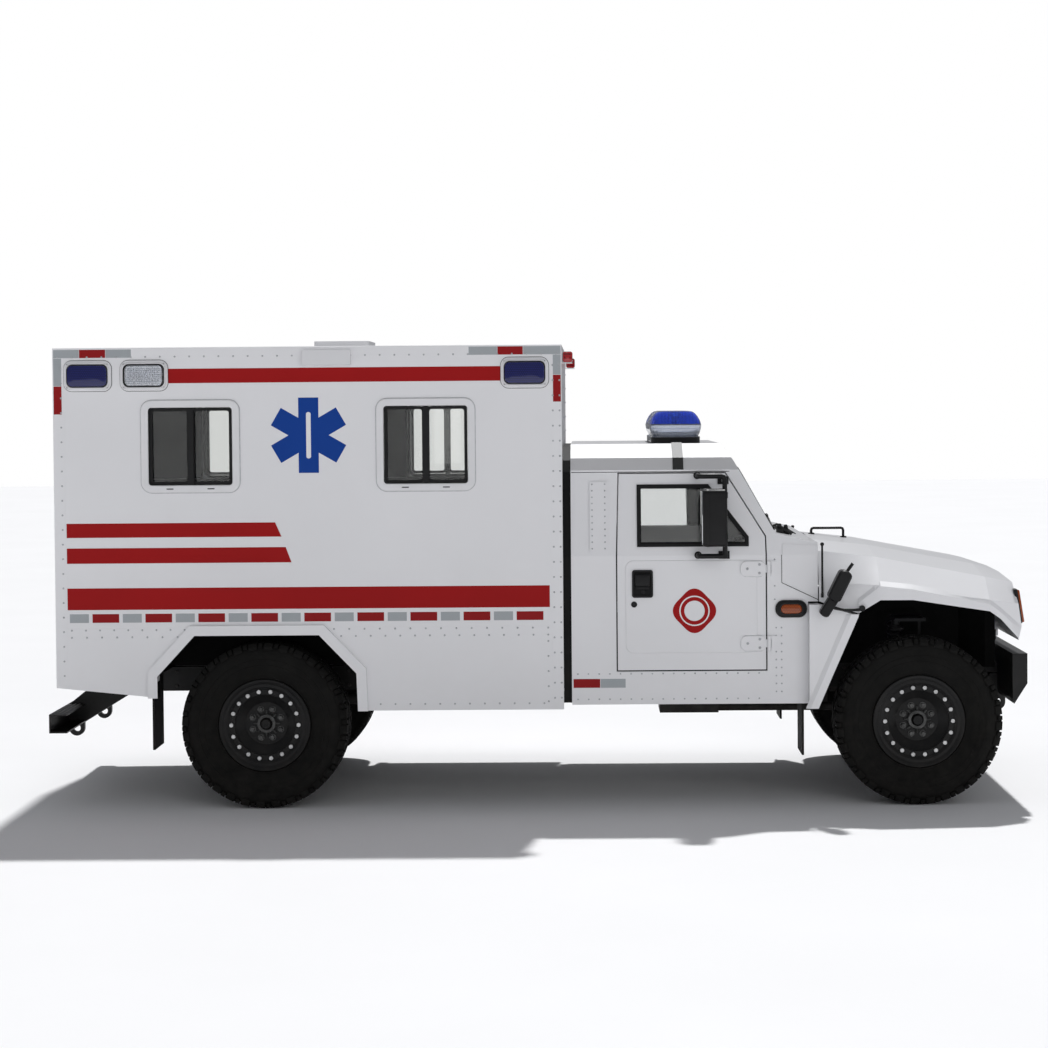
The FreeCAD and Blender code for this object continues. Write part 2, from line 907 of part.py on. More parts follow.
def make_suspension():
    """Wishbones, rear uprights and struts, which all hang on the frame."""
    arms = []
    struts = []
    for end, axle, top in AXLES:
        arms.append(upper_link(end + "_upper_link", axle))
        arms.append(wishbone(end + "_lower_arm", axle, s.lower_arm_height))
        struts.append(strut(end + "_strut", axle, top))
    right = grouped("right_arms", arms)
    node("wishbones", pair("wishbones_pair", right))
    node("spring_struts", pair("spring_struts_pair", grouped("right_struts", struts)))
    carrier = fused("rear_carrier", [upright("rear_upright", rear_axle), hub_flange("rear_hub", rear_axle)])
    node("rear_hub_carriers", pair("rear_hub_carriers_pair", carrier))


def axle_brackets(end, axle, top):
    """What carries one axle's wishbones, struts and differential, on the right-hand rail."""
    inner = s.rail_outer_half - s.rail_flange
    pieces = []
    for word, side in (("behind", -1), ("ahead", 1)):
        near = axle + s.arm_root_half_length * side
        far = near - s.drop_bracket_length * side
        pieces.append(block(
            end + "_drop_" + word,
            (near if side < 0 else far, -s.rail_outer_half, s.lower_arm_height),
            (far if side < 0 else near, -inner, s.rail_base_height + s.overrun),
        ))
    centre = wheel_half - s.strut_centre_inset
    pieces.append(block(
        end + "_tower_top",
        (axle - s.tower_half_length, -centre - s.tower_depth, top),
        (axle + s.tower_half_length, -inner, top + s.tower_thickness),
    ))
    for word, side in (("behind", -1), ("ahead", 1)):
        near = axle + s.tower_half_length * side
        far = near - s.tower_thickness * side
        pieces.append(block(
            end + "_tower_" + word,
            (near if side < 0 else far, -s.rail_outer_half, rail_top - s.overrun),
            (far if side < 0 else near, -inner, top + s.overrun),
        ))
    return pieces


def make_frame():
    """Two channel rails, their cross members and the brackets that the axles hang on."""
    outer = s.rail_outer_half
    inner = outer - s.rail_flange
    web = outer - s.rail_wall
    base = s.rail_base_height
    channel = [
        (-outer, base),
        (-inner, base),
        (-inner, base + s.rail_wall),
        (-web, base + s.rail_wall),
        (-web, rail_top - s.rail_wall),
        (-inner, rail_top - s.rail_wall),
        (-inner, rail_top),
        (-outer, rail_top),
    ]
    right = [prism("right_rail", "YZ", channel, "X", rail_rear, rail_front - rail_rear)]
    for end, axle, top in AXLES:
        right += axle_brackets(end, axle, top)
    # Engine mounts and cab mounts stand on the rails.
    engine_rear = front_axle + s.engine_front_reach - s.engine_length
    for word, station in (("rear", engine_rear), ("front", front_axle + s.engine_front_reach - s.mount_pad_length)):
        right.append(block(
            "engine_mount_" + word,
            (station, -inner - s.overrun, base),
            (station + s.mount_pad_length, -s.engine_half_width - s.seat_gap, base + s.engine_mount_height),
        ))
    for word, station in (("rear", cab_rear + s.mount_pad_length), ("front", bonnet_seam - s.door_front_setback)):
        right.append(block(
            "cab_mount_" + word,
            (station, -outer, rail_top - s.rail_wall),
            (station + s.mount_pad_length, -inner, rail_top + s.mount_pad_height),
        ))
    right.append(bonnet_bracket(inner))
    right_side = fused("right_frame_side", right)
    members = []
    stations = [
        rail_rear,
        rear_axle - s.arm_root_half_length - s.member_length,
        rear_axle + s.arm_root_half_length,
        rear_axle + s.arm_root_half_length * 5,
        cab_rear + s.arm_root_half_length,
        rail_front - s.member_length,
    ]
    rise = s.rail_wall
    for count, station in enumerate(stations):
        members.append(block(
            "cross_member_%d" % count,
            (station, -web, rail_top - rise - s.member_height),
            (station + s.member_length, web, rail_top - rise),
        ))
    for end, axle, top in AXLES:
        members.append(block(
            end + "_axle_beam",
            (axle - s.arm_root_half_length, -inner, s.diff_base_height - s.axle_beam_height),
            (axle + s.arm_root_half_length, inner, s.diff_base_height - s.seat_gap),
        ))
    node("chassis_frame", fused("chassis_frame_body", [right_side, mirrored("left_frame_side", right_side)] + members))


def bonnet_bracket(inner):
    """The right-hand plate at the rail's front end that carries the bonnet's hinge pin."""
    hinge_x = front_axle + s.bonnet_hinge_reach
    eye = s.bonnet_hinge_radius + s.bonnet_eye_wall
    corners = [
        (rail_front - s.member_length, s.rail_base_height + s.rail_wall),
        (rail_front, s.rail_base_height + s.rail_wall),
        (rail_front, rail_top),
        (hinge_x + eye, s.bonnet_hinge_height - eye),
        (hinge_x + eye, s.bonnet_hinge_height + eye),
        (hinge_x - eye, s.bonnet_hinge_height + eye),
        (rail_front - s.member_length, rail_top),
    ]
    plate_y = -s.bonnet_hinge_half - s.hinge_plate
    body = prism("bonnet_bracket_plate", "XZ", corners, "Y", plate_y, s.hinge_plate)
    bore = rod(
        "bonnet_bracket_bore", "Y", s.bonnet_hinge_radius + s.hinge_bore_play,
        (hinge_x, plate_y - s.overrun, s.bonnet_hinge_height), s.hinge_plate + s.overrun * 2,
    )
    return cut("bonnet_bracket", body, bore)


def make_drive_train():
    """Engine block, gearbox, shafts and differentials, with the tank, exhaust and radiator."""
    engine_front = front_axle + s.engine_front_reach
    engine_rear = engine_front - s.engine_length
    node("engine_block", block(
        "engine_block_body",
        (engine_rear, -s.engine_half_width, s.engine_base_height),
        (engine_front, s.engine_half_width, s.engine_base_height + s.engine_height),
    ))
    box_front_end = engine_rear - s.seat_gap
    case_front = box_front_end - s.gearbox_length
    case_rear = case_front - s.transfer_length
    gearbox_top = s.gearbox_base_height + s.gearbox_height
    pieces = [
        block(
            "gearbox",
            (case_front, -s.gearbox_half_width, s.gearbox_base_height),
            (box_front_end, s.gearbox_half_width, gearbox_top),
        ),
        block(
            "transfer_case",
            (case_rear, -s.gearbox_half_width, s.gearbox_base_height - s.transfer_drop),
            (case_front, s.gearbox_half_width, gearbox_top - s.transfer_drop),
        ),
    ]
    rear_nose = rear_axle + s.diff_half_length
    front_nose = front_axle - s.diff_half_length
    prop_start = (rear_nose, 0, s.prop_height)
    pieces.append(rod("rear_prop_shaft", "X", s.prop_shaft_radius, prop_start, case_rear - rear_nose))
    front_start = (case_front, -s.front_prop_offset, s.front_prop_height)
    pieces.append(rod("front_prop_shaft", "X", s.front_prop_radius, front_start, front_nose - case_front))
    shaft_half = kingpin_half - s.half_shaft_end_gap
    for end, axle, top in AXLES:
        pieces.append(block(
            end + "_differential",
            (axle - s.diff_half_length, -s.diff_half_width, s.diff_base_height),
            (axle + s.diff_half_length, s.diff_half_width, s.diff_base_height + s.diff_height),
        ))
        pieces.append(rod(
            end + "_half_shafts", "Y", s.half_shaft_radius,
            (axle, -shaft_half, hub_height), shaft_half * 2,
        ))
    node("drive_line", fused("drive_line_body", pieces))
    tank_inner = s.rail_outer_half + s.seat_gap
    tank_rear = rear_axle + s.tank_rear_reach
    node("fuel_tank", plate(
        "fuel_tank_body", "YZ", (tank_inner, s.tank_base_height),
        (tank_inner + s.tank_width, s.tank_base_height + s.tank_height), s.tank_round,
        "X", tank_rear, s.tank_length,
    ))
    muffler_rear = rear_axle + s.muffler_rear_reach
    muffler_start = (muffler_rear, -s.muffler_half, s.muffler_height)
    hanger_y = -s.rail_outer_half - s.seat_gap
    hanger = block(
        "exhaust_hanger",
        (muffler_rear + s.muffler_length * HALF, -s.muffler_half, s.muffler_height),
        (muffler_rear + s.muffler_length * HALF + s.hanger_length, hanger_y, s.muffler_height + s.hanger_length),
    )
    node("exhaust", fused("exhaust_body", [
        rod("muffler", "X", s.muffler_radius, muffler_start, s.muffler_length),
        rod(
            "tail_pipe", "X", s.pipe_radius,
            (muffler_rear - s.pipe_length, -s.muffler_half, s.muffler_height), s.pipe_length,
        ),
        hanger,
    ]))
    radiator_front = front_axle + s.radiator_setback
    node("radiator", block(
        "radiator_body",
        (radiator_front - s.radiator_thickness, -s.radiator_half_width, rail_top - s.rail_wall + s.seat_gap),
        (radiator_front, s.radiator_half_width, rail_top + s.radiator_height),
    ))


def arch_corners(spread):
    """The rear wheel arch in the side view, opened on all its sloped sides by a spread."""
    return [
        (rear_axle - s.arch_rear_reach - spread, s.skirt_front_height - s.overrun * 10),
        (rear_axle - s.arch_rear_reach - spread, s.arch_rear_knee_height + spread * HALF),
        (rear_axle - s.arch_rear_top_reach - spread * HALF, s.arch_top_height + spread),
        (rear_axle + s.arch_front_top_reach + spread * HALF, s.arch_top_height + spread),
        (rear_axle + s.arch_front_knee_reach + spread, s.arch_front_knee_height + spread * HALF),
        (rear_axle + s.arch_front_reach + spread, s.skirt_front_height - s.overrun * 10),
    ]


def window_stations():
    """Where the two side windows start along X."""
    half = s.box_window_width * HALF
    return [box_rear + s.rear_window_reach - half, box_front - s.front_window_setback - half]


def window_plate(name, station, spread, start, depth):
    """A round-cornered plate over one side window, wider than its opening by a spread."""
    low = (station - spread, window_sill - spread)
    high = (station + s.box_window_width + spread, window_sill + s.box_window_height + spread)
    return plate(name, "XZ", low, high, s.box_window_round + spread * HALF, "Y", start, depth)


def make_box():
    """The load box from its panels: two side walls, front wall, rear frame, roof and floor."""
    wall_corners = [
        (box_rear, s.skirt_rear_height),
        (rear_axle - s.arch_rear_reach, s.skirt_arch_height),
        (rear_axle - s.arch_rear_reach, s.arch_rear_knee_height),
        (rear_axle - s.arch_rear_top_reach, s.arch_top_height),
        (rear_axle + s.arch_front_top_reach, s.arch_top_height),
        (rear_axle + s.arch_front_knee_reach, s.arch_front_knee_height),
        (rear_axle + s.arch_front_reach, s.skirt_front_height),
        (box_front, s.skirt_front_height),
        (box_front, s.box_top_height),
        (box_rear, s.box_top_height),
    ]
    outer = -s.box_half_width
    wall = prism("side_panel", "XZ", wall_corners, "Y", outer, s.box_wall)
    holes = []
    glass = []
    frames = []
    sashes = []
    sleeve = s.box_window_sash
    for count, station in enumerate(window_stations()):
        label = "window_%d_" % count
        holes.append(window_plate(label + "hole", station, sleeve, outer - s.overrun, s.box_wall + s.overrun * 2))
        glass.append(window_plate(
            label + "pane", station, 0 * sleeve, outer + s.pane_inset, s.pane_thickness))
        ring = cut(
            label + "ring",
            window_plate(label + "plate", station, s.box_window_frame, outer - s.box_window_proud, s.box_window_proud),
            window_plate(label + "gap", station, 0 * sleeve, outer - s.box_window_proud - s.overrun,
                         s.box_window_proud + s.overrun * 2),
        )
        frames.append(ring)
        liner = cut(
            label + "liner",
            window_plate(label + "liner_body", station, sleeve - s.seat_gap, outer, s.box_wall),
            window_plate(label + "liner_gap", station, s.seat_gap, outer - s.overrun, s.box_wall + s.overrun * 2),
        )
        middle = station + s.box_window_width * HALF
        stile = block(
            label + "stile",
            (middle - sleeve, outer + s.seat_gap, window_sill - sleeve * HALF),
            (middle + sleeve, outer + s.sash_depth, window_sill + s.box_window_height + sleeve * HALF),
        )
        sashes.append(fused(label + "sash", [liner, stile]))
    right_wall = cut("right_wall", wall, grouped("right_window_holes", holes))
    node("box_side_walls", pair("box_side_walls_pair", right_wall))
    node("box_window_frames", pair("box_window_frames_pair", grouped("right_window_frames", frames)))
    node("box_window_sashes", pair("box_window_sashes_pair", grouped("right_window_sashes", sashes)))
    node("box_window_panes", pair("box_window_panes_pair", grouped("right_window_panes", glass)))
    roof_base = s.box_top_height - s.box_wall
    node("box_roof", block(
        "box_roof_body",
        (box_rear, -box_inner_half, roof_base),
        (box_front, box_inner_half, s.box_top_height),
    ))
    node("box_front_wall", block(
        "box_front_wall_body",
        (box_front - s.box_wall, -box_inner_half, s.box_floor_height),
        (box_front, box_inner_half, roof_base),
    ))
    opening = block(
        "rear_doorway",
        (box_rear - s.overrun, -s.door_opening_half, s.door_opening_base),
        (box_rear + s.box_wall + s.overrun, s.door_opening_half, door_opening_top),
    )
    rear_wall = block(
        "rear_frame_panel",
        (box_rear, -box_inner_half, s.skirt_rear_height),
        (box_rear + s.box_wall, box_inner_half, roof_base),
    )
    leaves = rear_hinges("frame", 0)
    frame_body = cut("rear_frame_ring", rear_wall, opening)
    node("box_rear_frame", fused("box_rear_frame_body", [frame_body, leaves, mirrored("frame_leaves_left", leaves)]))
    make_box_floor()


def make_box_floor():
    """The floor panel with its wheel tubs and the bearers that stand on the frame rails."""
    inner_rear = box_rear + s.box_wall
    inner_front = box_front - s.box_wall
    panel = block(
        "floor_panel",
        (inner_rear, -box_inner_half, s.box_floor_height),
        (inner_front, box_inner_half, box_floor_top),
    )
    well_rear = rear_axle - s.arch_rear_reach
    well_front = rear_axle + s.arch_front_reach
    tub_outer = block(
        "tub_outer",
        (well_rear - s.tub_wall, -box_inner_half, s.box_floor_height),
        (well_front + s.tub_wall, -s.tub_inner_half + s.tub_wall, s.tub_top_height + s.tub_wall),
    )
    tub_space = block(
        "tub_space",
        (well_rear, -box_inner_half - s.overrun, s.box_floor_height - s.overrun),
        (well_front, -s.tub_inner_half, s.tub_top_height),
    )
    bearers = []
    stations = [
        inner_rear,
        well_rear - s.tub_wall - s.bearer_length,
        well_front + s.tub_wall,
        well_front + (inner_front - well_front) * HALF,
        inner_front - s.bearer_length,
    ]
    for count, station in enumerate(stations):
        bearers.append(block(
            "bearer_%d" % count,
            (station, -s.bearer_half_width, rail_top + s.seat_gap),
            (station + s.bearer_length, s.bearer_half_width, s.box_floor_height),
        ))
    solid = fused("floor_solid", [panel, tub_outer, mirrored("tub_outer_left", tub_outer)] + bearers)
    spaces = grouped("tub_spaces", [tub_space, mirrored("tub_space_left", tub_space)])
    node("box_floor", cut("box_floor_body", solid, spaces))


def hinge_levels():
    """Heights of the three hinges of a rear door."""
    base = s.door_opening_base + s.rear_hinge_length
    top = door_opening_top - s.rear_hinge_length * 2
    return [base, (base + top) * HALF, top]


def rear_hinges(word, moving):
    """The right-hand hinge leaves of the rear frame, or of its door where moving is 1."""
    axis_y = -s.door_opening_half - s.rear_hinge_inset
    axis_x = box_rear - s.rear_hinge_offset
    third = s.rear_hinge_length / 3
    pieces = []
    for count, level in enumerate(hinge_levels()):
        if moving:
            spans = [(level + third + s.hinge_play, third - s.hinge_play * 2)]
        else:
            spans = [(level, third), (level + third * 2, third)]
        for part, (base, height) in enumerate(spans):
            label = "%s_hinge_%d_%d" % (word, count, part)
            start = (axis_x, axis_y, base)
            pieces.append(rod(label + "_barrel", "Z", s.rear_hinge_radius, start, height))
            if moving:
                low = (box_rear - s.rear_leaf_thickness, axis_y, base)
                high = (box_rear - s.hinge_play, axis_y + s.rear_leaf_width, base + height)
            else:
                low = (box_rear - s.rear_leaf_thickness, axis_y - s.rear_leaf_width, base)
                high = (box_rear, axis_y, base + height)
            pieces.append(block(label + "_leaf", low, high))
    return fused(word + "_hinge_leaves", pieces)


def make_rear_doors():
    """Two rear doors with a window each, hung on outside hinges."""
    gap = s.rear_door_gap
    outer_edge = -s.door_opening_half + gap
    base = s.door_opening_base + gap
    top = door_opening_top - gap
    panel = block(
        "rear_door_panel",
        (box_rear, outer_edge, base),
        (box_rear + s.box_wall, -s.rear_middle_gap * HALF, top),
    )
    middle = (outer_edge - s.rear_middle_gap * HALF) * HALF
    low = (middle - s.rear_window_width * HALF, rear_window_sill)
    high = (middle + s.rear_window_width * HALF, rear_window_sill + s.rear_window_height)
    hole = plate(
        "rear_window_hole", "YZ", low, high, s.box_window_round,
        "X", box_rear - s.overrun, s.box_wall + s.overrun * 2,
    )
    leaves = rear_hinges("door", 1)
    rise = s.rear_leaf_thickness
    tongues = []
    third = s.rear_hinge_length / 3
    for count, level in enumerate(hinge_levels()):
        tongues.append(block(
            "door_strap_%d" % count,
            (box_rear - rise, outer_edge, level + third + s.hinge_play),
            (box_rear, outer_edge + s.rear_leaf_width, level + third * 2 - s.hinge_play),
        ))
    grip_y = -s.rear_handle_width * 3
    grip = block(
        "rear_grip",
        (box_rear - s.rear_handle_proud, grip_y, s.rear_handle_height),
        (box_rear, grip_y + s.rear_handle_width, s.rear_handle_height + s.rear_handle_length),
    )
    grip_gap = block(
        "rear_grip_gap",
        (box_rear - s.rear_handle_proud * HALF, grip_y - s.overrun, s.rear_handle_height + s.rear_handle_width),
        (box_rear, grip_y + s.rear_handle_width + s.overrun,
         s.rear_handle_height + s.rear_handle_length - s.rear_handle_width),
    )
    handle = cut("rear_handle", grip, grip_gap)
    right = fused("rear_door_right_body", [cut("rear_door_leaf", panel, hole), leaves, handle] + tongues)
    node("rear_door_right", right)
    node("rear_door_left", mirrored("rear_door_left_body", right))
    slack = s.seat_gap
    pane = plate(
        "rear_door_pane_right_body", "YZ", (low[0] + slack, low[1] + slack), (high[0] - slack, high[1] - slack),
        s.box_window_round, "X", box_rear + s.pane_inset * HALF, s.pane_thickness,
    )
    node("rear_door_pane_right", pane)
    node("rear_door_pane_left", mirrored("rear_door_pane_left_body", pane))


def lamp_plate(name, centre, width, height, radius, start, depth):
    """A round-cornered lamp body on the right-hand side wall."""
    low = (centre - width * HALF, lamp_centre - height * HALF)
    high = (centre + width * HALF, lamp_centre + height * HALF)
    return plate(name, "XZ", low, high, radius, "Y", start, depth)


def make_box_fittings():
    """Side lamps, roof vent, corner lamps, tail lamps and wheel-arch flares."""
    centres = {
        "rear_blue": box_rear + s.rear_lamp_reach,
        "scene": box_rear + s.scene_lamp_reach,
        "front_blue": box_front - s.front_lamp_setback,
    }
    bezels = []
    lenses = {}
    outer = -s.box_half_width
    face = outer - s.lamp_proud
    for word, centre in centres.items():
        bezels.append(lamp_plate(word + "_bezel", centre, s.lamp_width, s.lamp_height, s.lamp_round, face, s.lamp_proud))
        lenses[word] = lamp_plate(
            word + "_lens", centre, s.lens_width, s.lens_height, s.lens_round,
            face - s.lens_proud - s.seat_gap, s.lens_proud,
        )
    node("lamp_bezels", pair("lamp_bezels_pair", grouped("right_bezels", bezels)))
    blue = grouped("right_blue_lenses", [lenses["rear_blue"], lenses["front_blue"]])
    beacon_base, beacon_clear, beacon_blue = make_beacon()
    node("light_bar_base", beacon_base)
    node("blue_lamp_lenses", grouped("blue_lamp_lenses_body", [pair("side_blue_pair", blue), beacon_blue]))
    node("clear_lamp_lenses", grouped("clear_lamp_lenses_body", [pair("scene_pair", lenses["scene"]), beacon_clear]))
    vent_rear = box_rear + s.vent_rear_reach
    vent = plate(
        "roof_vent_cap", "XY", (vent_rear, -s.vent_half_width), (vent_rear + s.vent_length, s.vent_half_width),
        s.vent_round, "Z", s.box_top_height + s.seat_gap, s.vent_height,
    )
    hood_rear = vent_rear + (s.vent_length - s.side_hood_length) * HALF
    hood_low = side_hood_top - s.side_hood_height
    hood = prism(
        "side_hood", "YZ",
        [(outer - s.seat_gap, hood_low), (outer - s.seat_gap, side_hood_top),
         (outer - s.side_hood_proud * HALF, side_hood_top), (outer - s.side_hood_proud, hood_low)],
        "X", hood_rear, s.side_hood_length,
    )
    node("roof_vents", grouped("roof_vents_body", [vent, pair("side_hoods", hood)]))
    make_marker_lamps()
    flare_ring = cut(
        "flare_ring",
        prism("flare_body", "XZ", arch_corners(s.flare_width), "Y", outer - s.flare_reach, s.flare_reach - s.seat_gap),
        prism("flare_gap", "XZ", arch_corners(0 * s.flare_width), "Y", outer - s.flare_reach - s.overrun,
              s.flare_reach + s.overrun * 2),
    )
    below = block(
        "below_skirt",
        (rear_axle - s.box_rear_reach, outer - s.flare_reach - s.overrun, s.skirt_front_height - s.overrun * 20),
        (rear_axle + s.box_rear_reach, outer + s.overrun, s.skirt_front_height),
    )
    behind = block(
        "below_rear_skirt",
        (rear_axle - s.box_rear_reach, outer - s.flare_reach - s.overrun, s.skirt_front_height - s.overrun * 20),
        (rear_axle, outer + s.overrun, s.skirt_arch_height),
    )
    flare = cut("rear_flare", flare_ring, fused("flare_trim", [below, behind]))
    leg = front_fender_leg()
    node("arch_panels", grouped("arch_panels_body", [pair("rear_flares", flare), pair("front_legs", leg)]))


def make_marker_lamps():
    """Corner lamps at the box's front top, tail lamps below its doors and turn lamps by the doors."""
    corner = block(
        "corner_lamp",
        (box_front + s.seat_gap, -s.corner_lamp_half - s.corner_lamp_width * HALF, corner_lamp_base),
        (box_front + s.corner_lamp_length, -s.corner_lamp_half + s.corner_lamp_width * HALF,
         corner_lamp_base + s.corner_lamp_height),
    )
    tail = block(
        "tail_lamp",
        (box_rear - s.tail_lamp_proud, -s.tail_lamp_half, s.tail_lamp_base_height),
        (box_rear - s.seat_gap, -s.tail_lamp_half + s.tail_lamp_width, s.tail_lamp_base_height + s.tail_lamp_height),
    )
    lamp_rear = front_axle - s.turn_lamp_reach - s.turn_lamp_length * HALF
    turn = plate(
        "turn_lamp", "XZ", (lamp_rear, s.turn_lamp_base_height),
        (lamp_rear + s.turn_lamp_length, s.turn_lamp_base_height + s.turn_lamp_height), s.turn_lamp_round,
        "Y", -s.cab_half_width - s.turn_lamp_proud, s.turn_lamp_proud - s.seat_gap,
    )
    node("marker_lamps", pair("marker_lamps_pair", grouped("right_markers", [corner, tail, turn])))


def cab_end_corners():
    """The cab seen from the front: upright sides, leaning windows and a crowned roof."""
    right = [
        (s.cab_half_width, s.cab_base_height),
        (s.cab_half_width, s.belt_height),
        (s.gutter_half_width, s.gutter_height),
        (s.shoulder_half_width, s.shoulder_height),
        (s.roof_half_width, s.roof_height),
    ]
    return right + [(-half, height) for half, height in reversed(right)]


def cab_side_corners():
    """The cab seen from its side."""
    foot = bonnet_seam - s.firewall_setback
    return [
        (cab_rear, s.cab_base_height),
        (foot, s.cab_base_height),
        (foot, s.cowl_base_height),
        (bonnet_seam - s.bonnet_gap, s.cowl_base_height),
        (bonnet_seam - s.bonnet_gap, s.cowl_front_height),
        (bonnet_seam - s.screen_foot_setback, s.screen_foot_height),
        (bonnet_seam - s.screen_head_setback, s.screen_head_height),
        (bonnet_seam - s.roof_front_setback, s.roof_height),
        (cab_rear, s.roof_height),
    ]


def cab_layer(name, end_view, low, high):
    """A skin that follows the cab's cross-section between two distances from its surface."""
    length = bonnet_seam - cab_rear
    outer = drawn(name + "_out", grown(name + "_out_line", end_view, high), "X", cab_rear, length)
    inner = drawn(name + "_in", grown(name + "_in_line", end_view, low), "X", cab_rear - s.overrun,
                  length + s.overrun * 2)
    return cut(name, outer, inner)


def door_corners():
    """The door's outline in the side view."""
    front = bonnet_seam - s.door_front_setback
    return [
        (cab_rear + s.door_rear_reach, s.door_base_height),
        (front, s.door_base_height),
        (front, s.door_rake_height),
        (bonnet_seam - s.door_rake_setback, s.door_top_height),
        (cab_rear + s.door_rear_reach, s.door_top_height),
    ]


def glass_corners():
    """The door window's opening in the side view."""
    front = bonnet_seam - s.glass_front_setback
    return [
        (cab_rear + s.glass_rear_reach, s.glass_base_height),
        (front, s.glass_base_height),
        (front, s.glass_rake_height),
        (bonnet_seam - s.glass_rake_setback, s.glass_top_height),
        (cab_rear + s.glass_rear_reach, s.glass_top_height),
    ]


DOOR_TAPER = -10


def make_cab():
    """The cab shell with its doors, roof, floor and windscreen, each split where the real panels meet."""
    side_view = outline("cab_side_view", "XZ", cab_side_corners())
    end_view = outline("cab_end_view", "YZ", cab_end_corners())
    width = s.cab_half_width * 2
    length = bonnet_seam - cab_rear
    outer = shared(
        "cab_outer",
        drawn("cab_side_solid", side_view, "Y", -s.cab_half_width, width),
        drawn("cab_end_solid", end_view, "X", cab_rear, length),
    )
    wall = s.cab_wall
    inner = shared(
        "cab_inner",
        drawn("cab_side_space", grown("cab_side_inner", side_view, -wall), "Y", -s.cab_half_width, width),
        drawn("cab_end_space", grown("cab_end_inner", end_view, -wall), "X", cab_rear, length),
    )
    underside = block(
        "cab_underside",
        (cab_rear + wall, -s.cab_half_width + wall, s.cab_base_height - s.overrun),
        (bonnet_seam - s.firewall_setback - wall, s.cab_half_width - wall, s.cab_base_height + wall + s.overrun),
    )
    frame_slot = block(
        "cab_frame_slot",
        (cab_rear - s.overrun, -s.bearer_half_width, s.cab_base_height - s.overrun),
        (bonnet_seam + s.overrun, s.bearer_half_width, s.cab_floor_height - s.seat_gap),
    )
    shell = cut("cab_shell", outer, fused("cab_space", [inner, underside, frame_slot]))
    door_view = outline("door_view", "XZ", door_corners())
    door_start = -s.cab_half_width - s.overrun
    depth = s.door_depth
    blank = drawn("door_blank", door_view, "Y", door_start, depth, DOOR_TAPER)
    hole = drawn("door_hole", grown("door_hole_view", door_view, s.door_gap), "Y", door_start, depth, DOOR_TAPER)
    roof_block = block(
        "roof_block",
        (cab_rear - s.overrun, -s.cab_half_width, s.gutter_height),
        (bonnet_seam, s.cab_half_width, s.roof_height + s.overrun),
    )
    foot_x = bonnet_seam - s.screen_foot_setback
    head_x = bonnet_seam - s.screen_head_setback
    slope = (foot_x - head_x) / float(s.screen_head_height - s.screen_foot_height)
    low_z = s.screen_foot_height + (s.screen_head_height - s.screen_foot_height) * SCREEN_SHARES[0]
    high_z = s.screen_foot_height + (s.screen_head_height - s.screen_foot_height) * SCREEN_SHARES[1]
    low_x = foot_x - slope * float(low_z - s.screen_foot_height)
    high_x = foot_x - slope * float(high_z - s.screen_foot_height)
    screen_hole = prism(
        "screen_hole", "XZ",
        [(low_x - wall * 3, low_z), (low_x + wall, low_z), (high_x + wall, high_z), (high_x - wall * 3, high_z)],
        "Y", -s.screen_half_width, s.screen_half_width * 2,
    )
    tools = [hole, mirrored("door_hole_left", hole), roof_block, screen_hole]
    plain_body = cut("cab_body_shell", shell, fused("cab_openings", tools))
    leaves = cab_hinges("pillar", 0)
    vent = vent_plate(end_view)
    extras = [leaves, mirrored("pillar_hinges_left", leaves), vent, mirrored("vent_plate_left", vent)]
    node("cab_body", fused("cab_body_panels", [plain_body] + extras))
    node("cab_roof", shared("cab_roof_panel", shell, roof_block))
    slack = s.seat_gap
    in_face = s.screen_inset + s.screen_thickness
    node("windscreen", prism(
        "windscreen_pane", "XZ",
        [(low_x - in_face, low_z + slack), (low_x - s.screen_inset, low_z + slack),
         (high_x - s.screen_inset, high_z - slack), (high_x - in_face, high_z - slack)],
        "Y", -s.screen_half_width + slack, (s.screen_half_width - slack) * 2,
    ))
    make_cab_floor(wall)
    make_cab_doors(shell, blank, end_view)
    make_gap_seal(end_view)


def vent_plate(end_view):
    """The raised vent plate on the right-hand rear pillar."""
    low_x = cab_rear + s.vent_plate_reach
    face = block(
        "vent_face",
        (low_x, -s.cab_half_width - s.vent_plate_proud, s.vent_plate_base_height),
        (low_x + s.vent_plate_width, -s.gutter_half_width + s.cab_wall * HALF,
         s.vent_plate_base_height + s.vent_plate_height),
    )
    return shared("vent_plate", cab_layer("vent_skin", end_view, -s.overrun, s.vent_plate_proud), face)


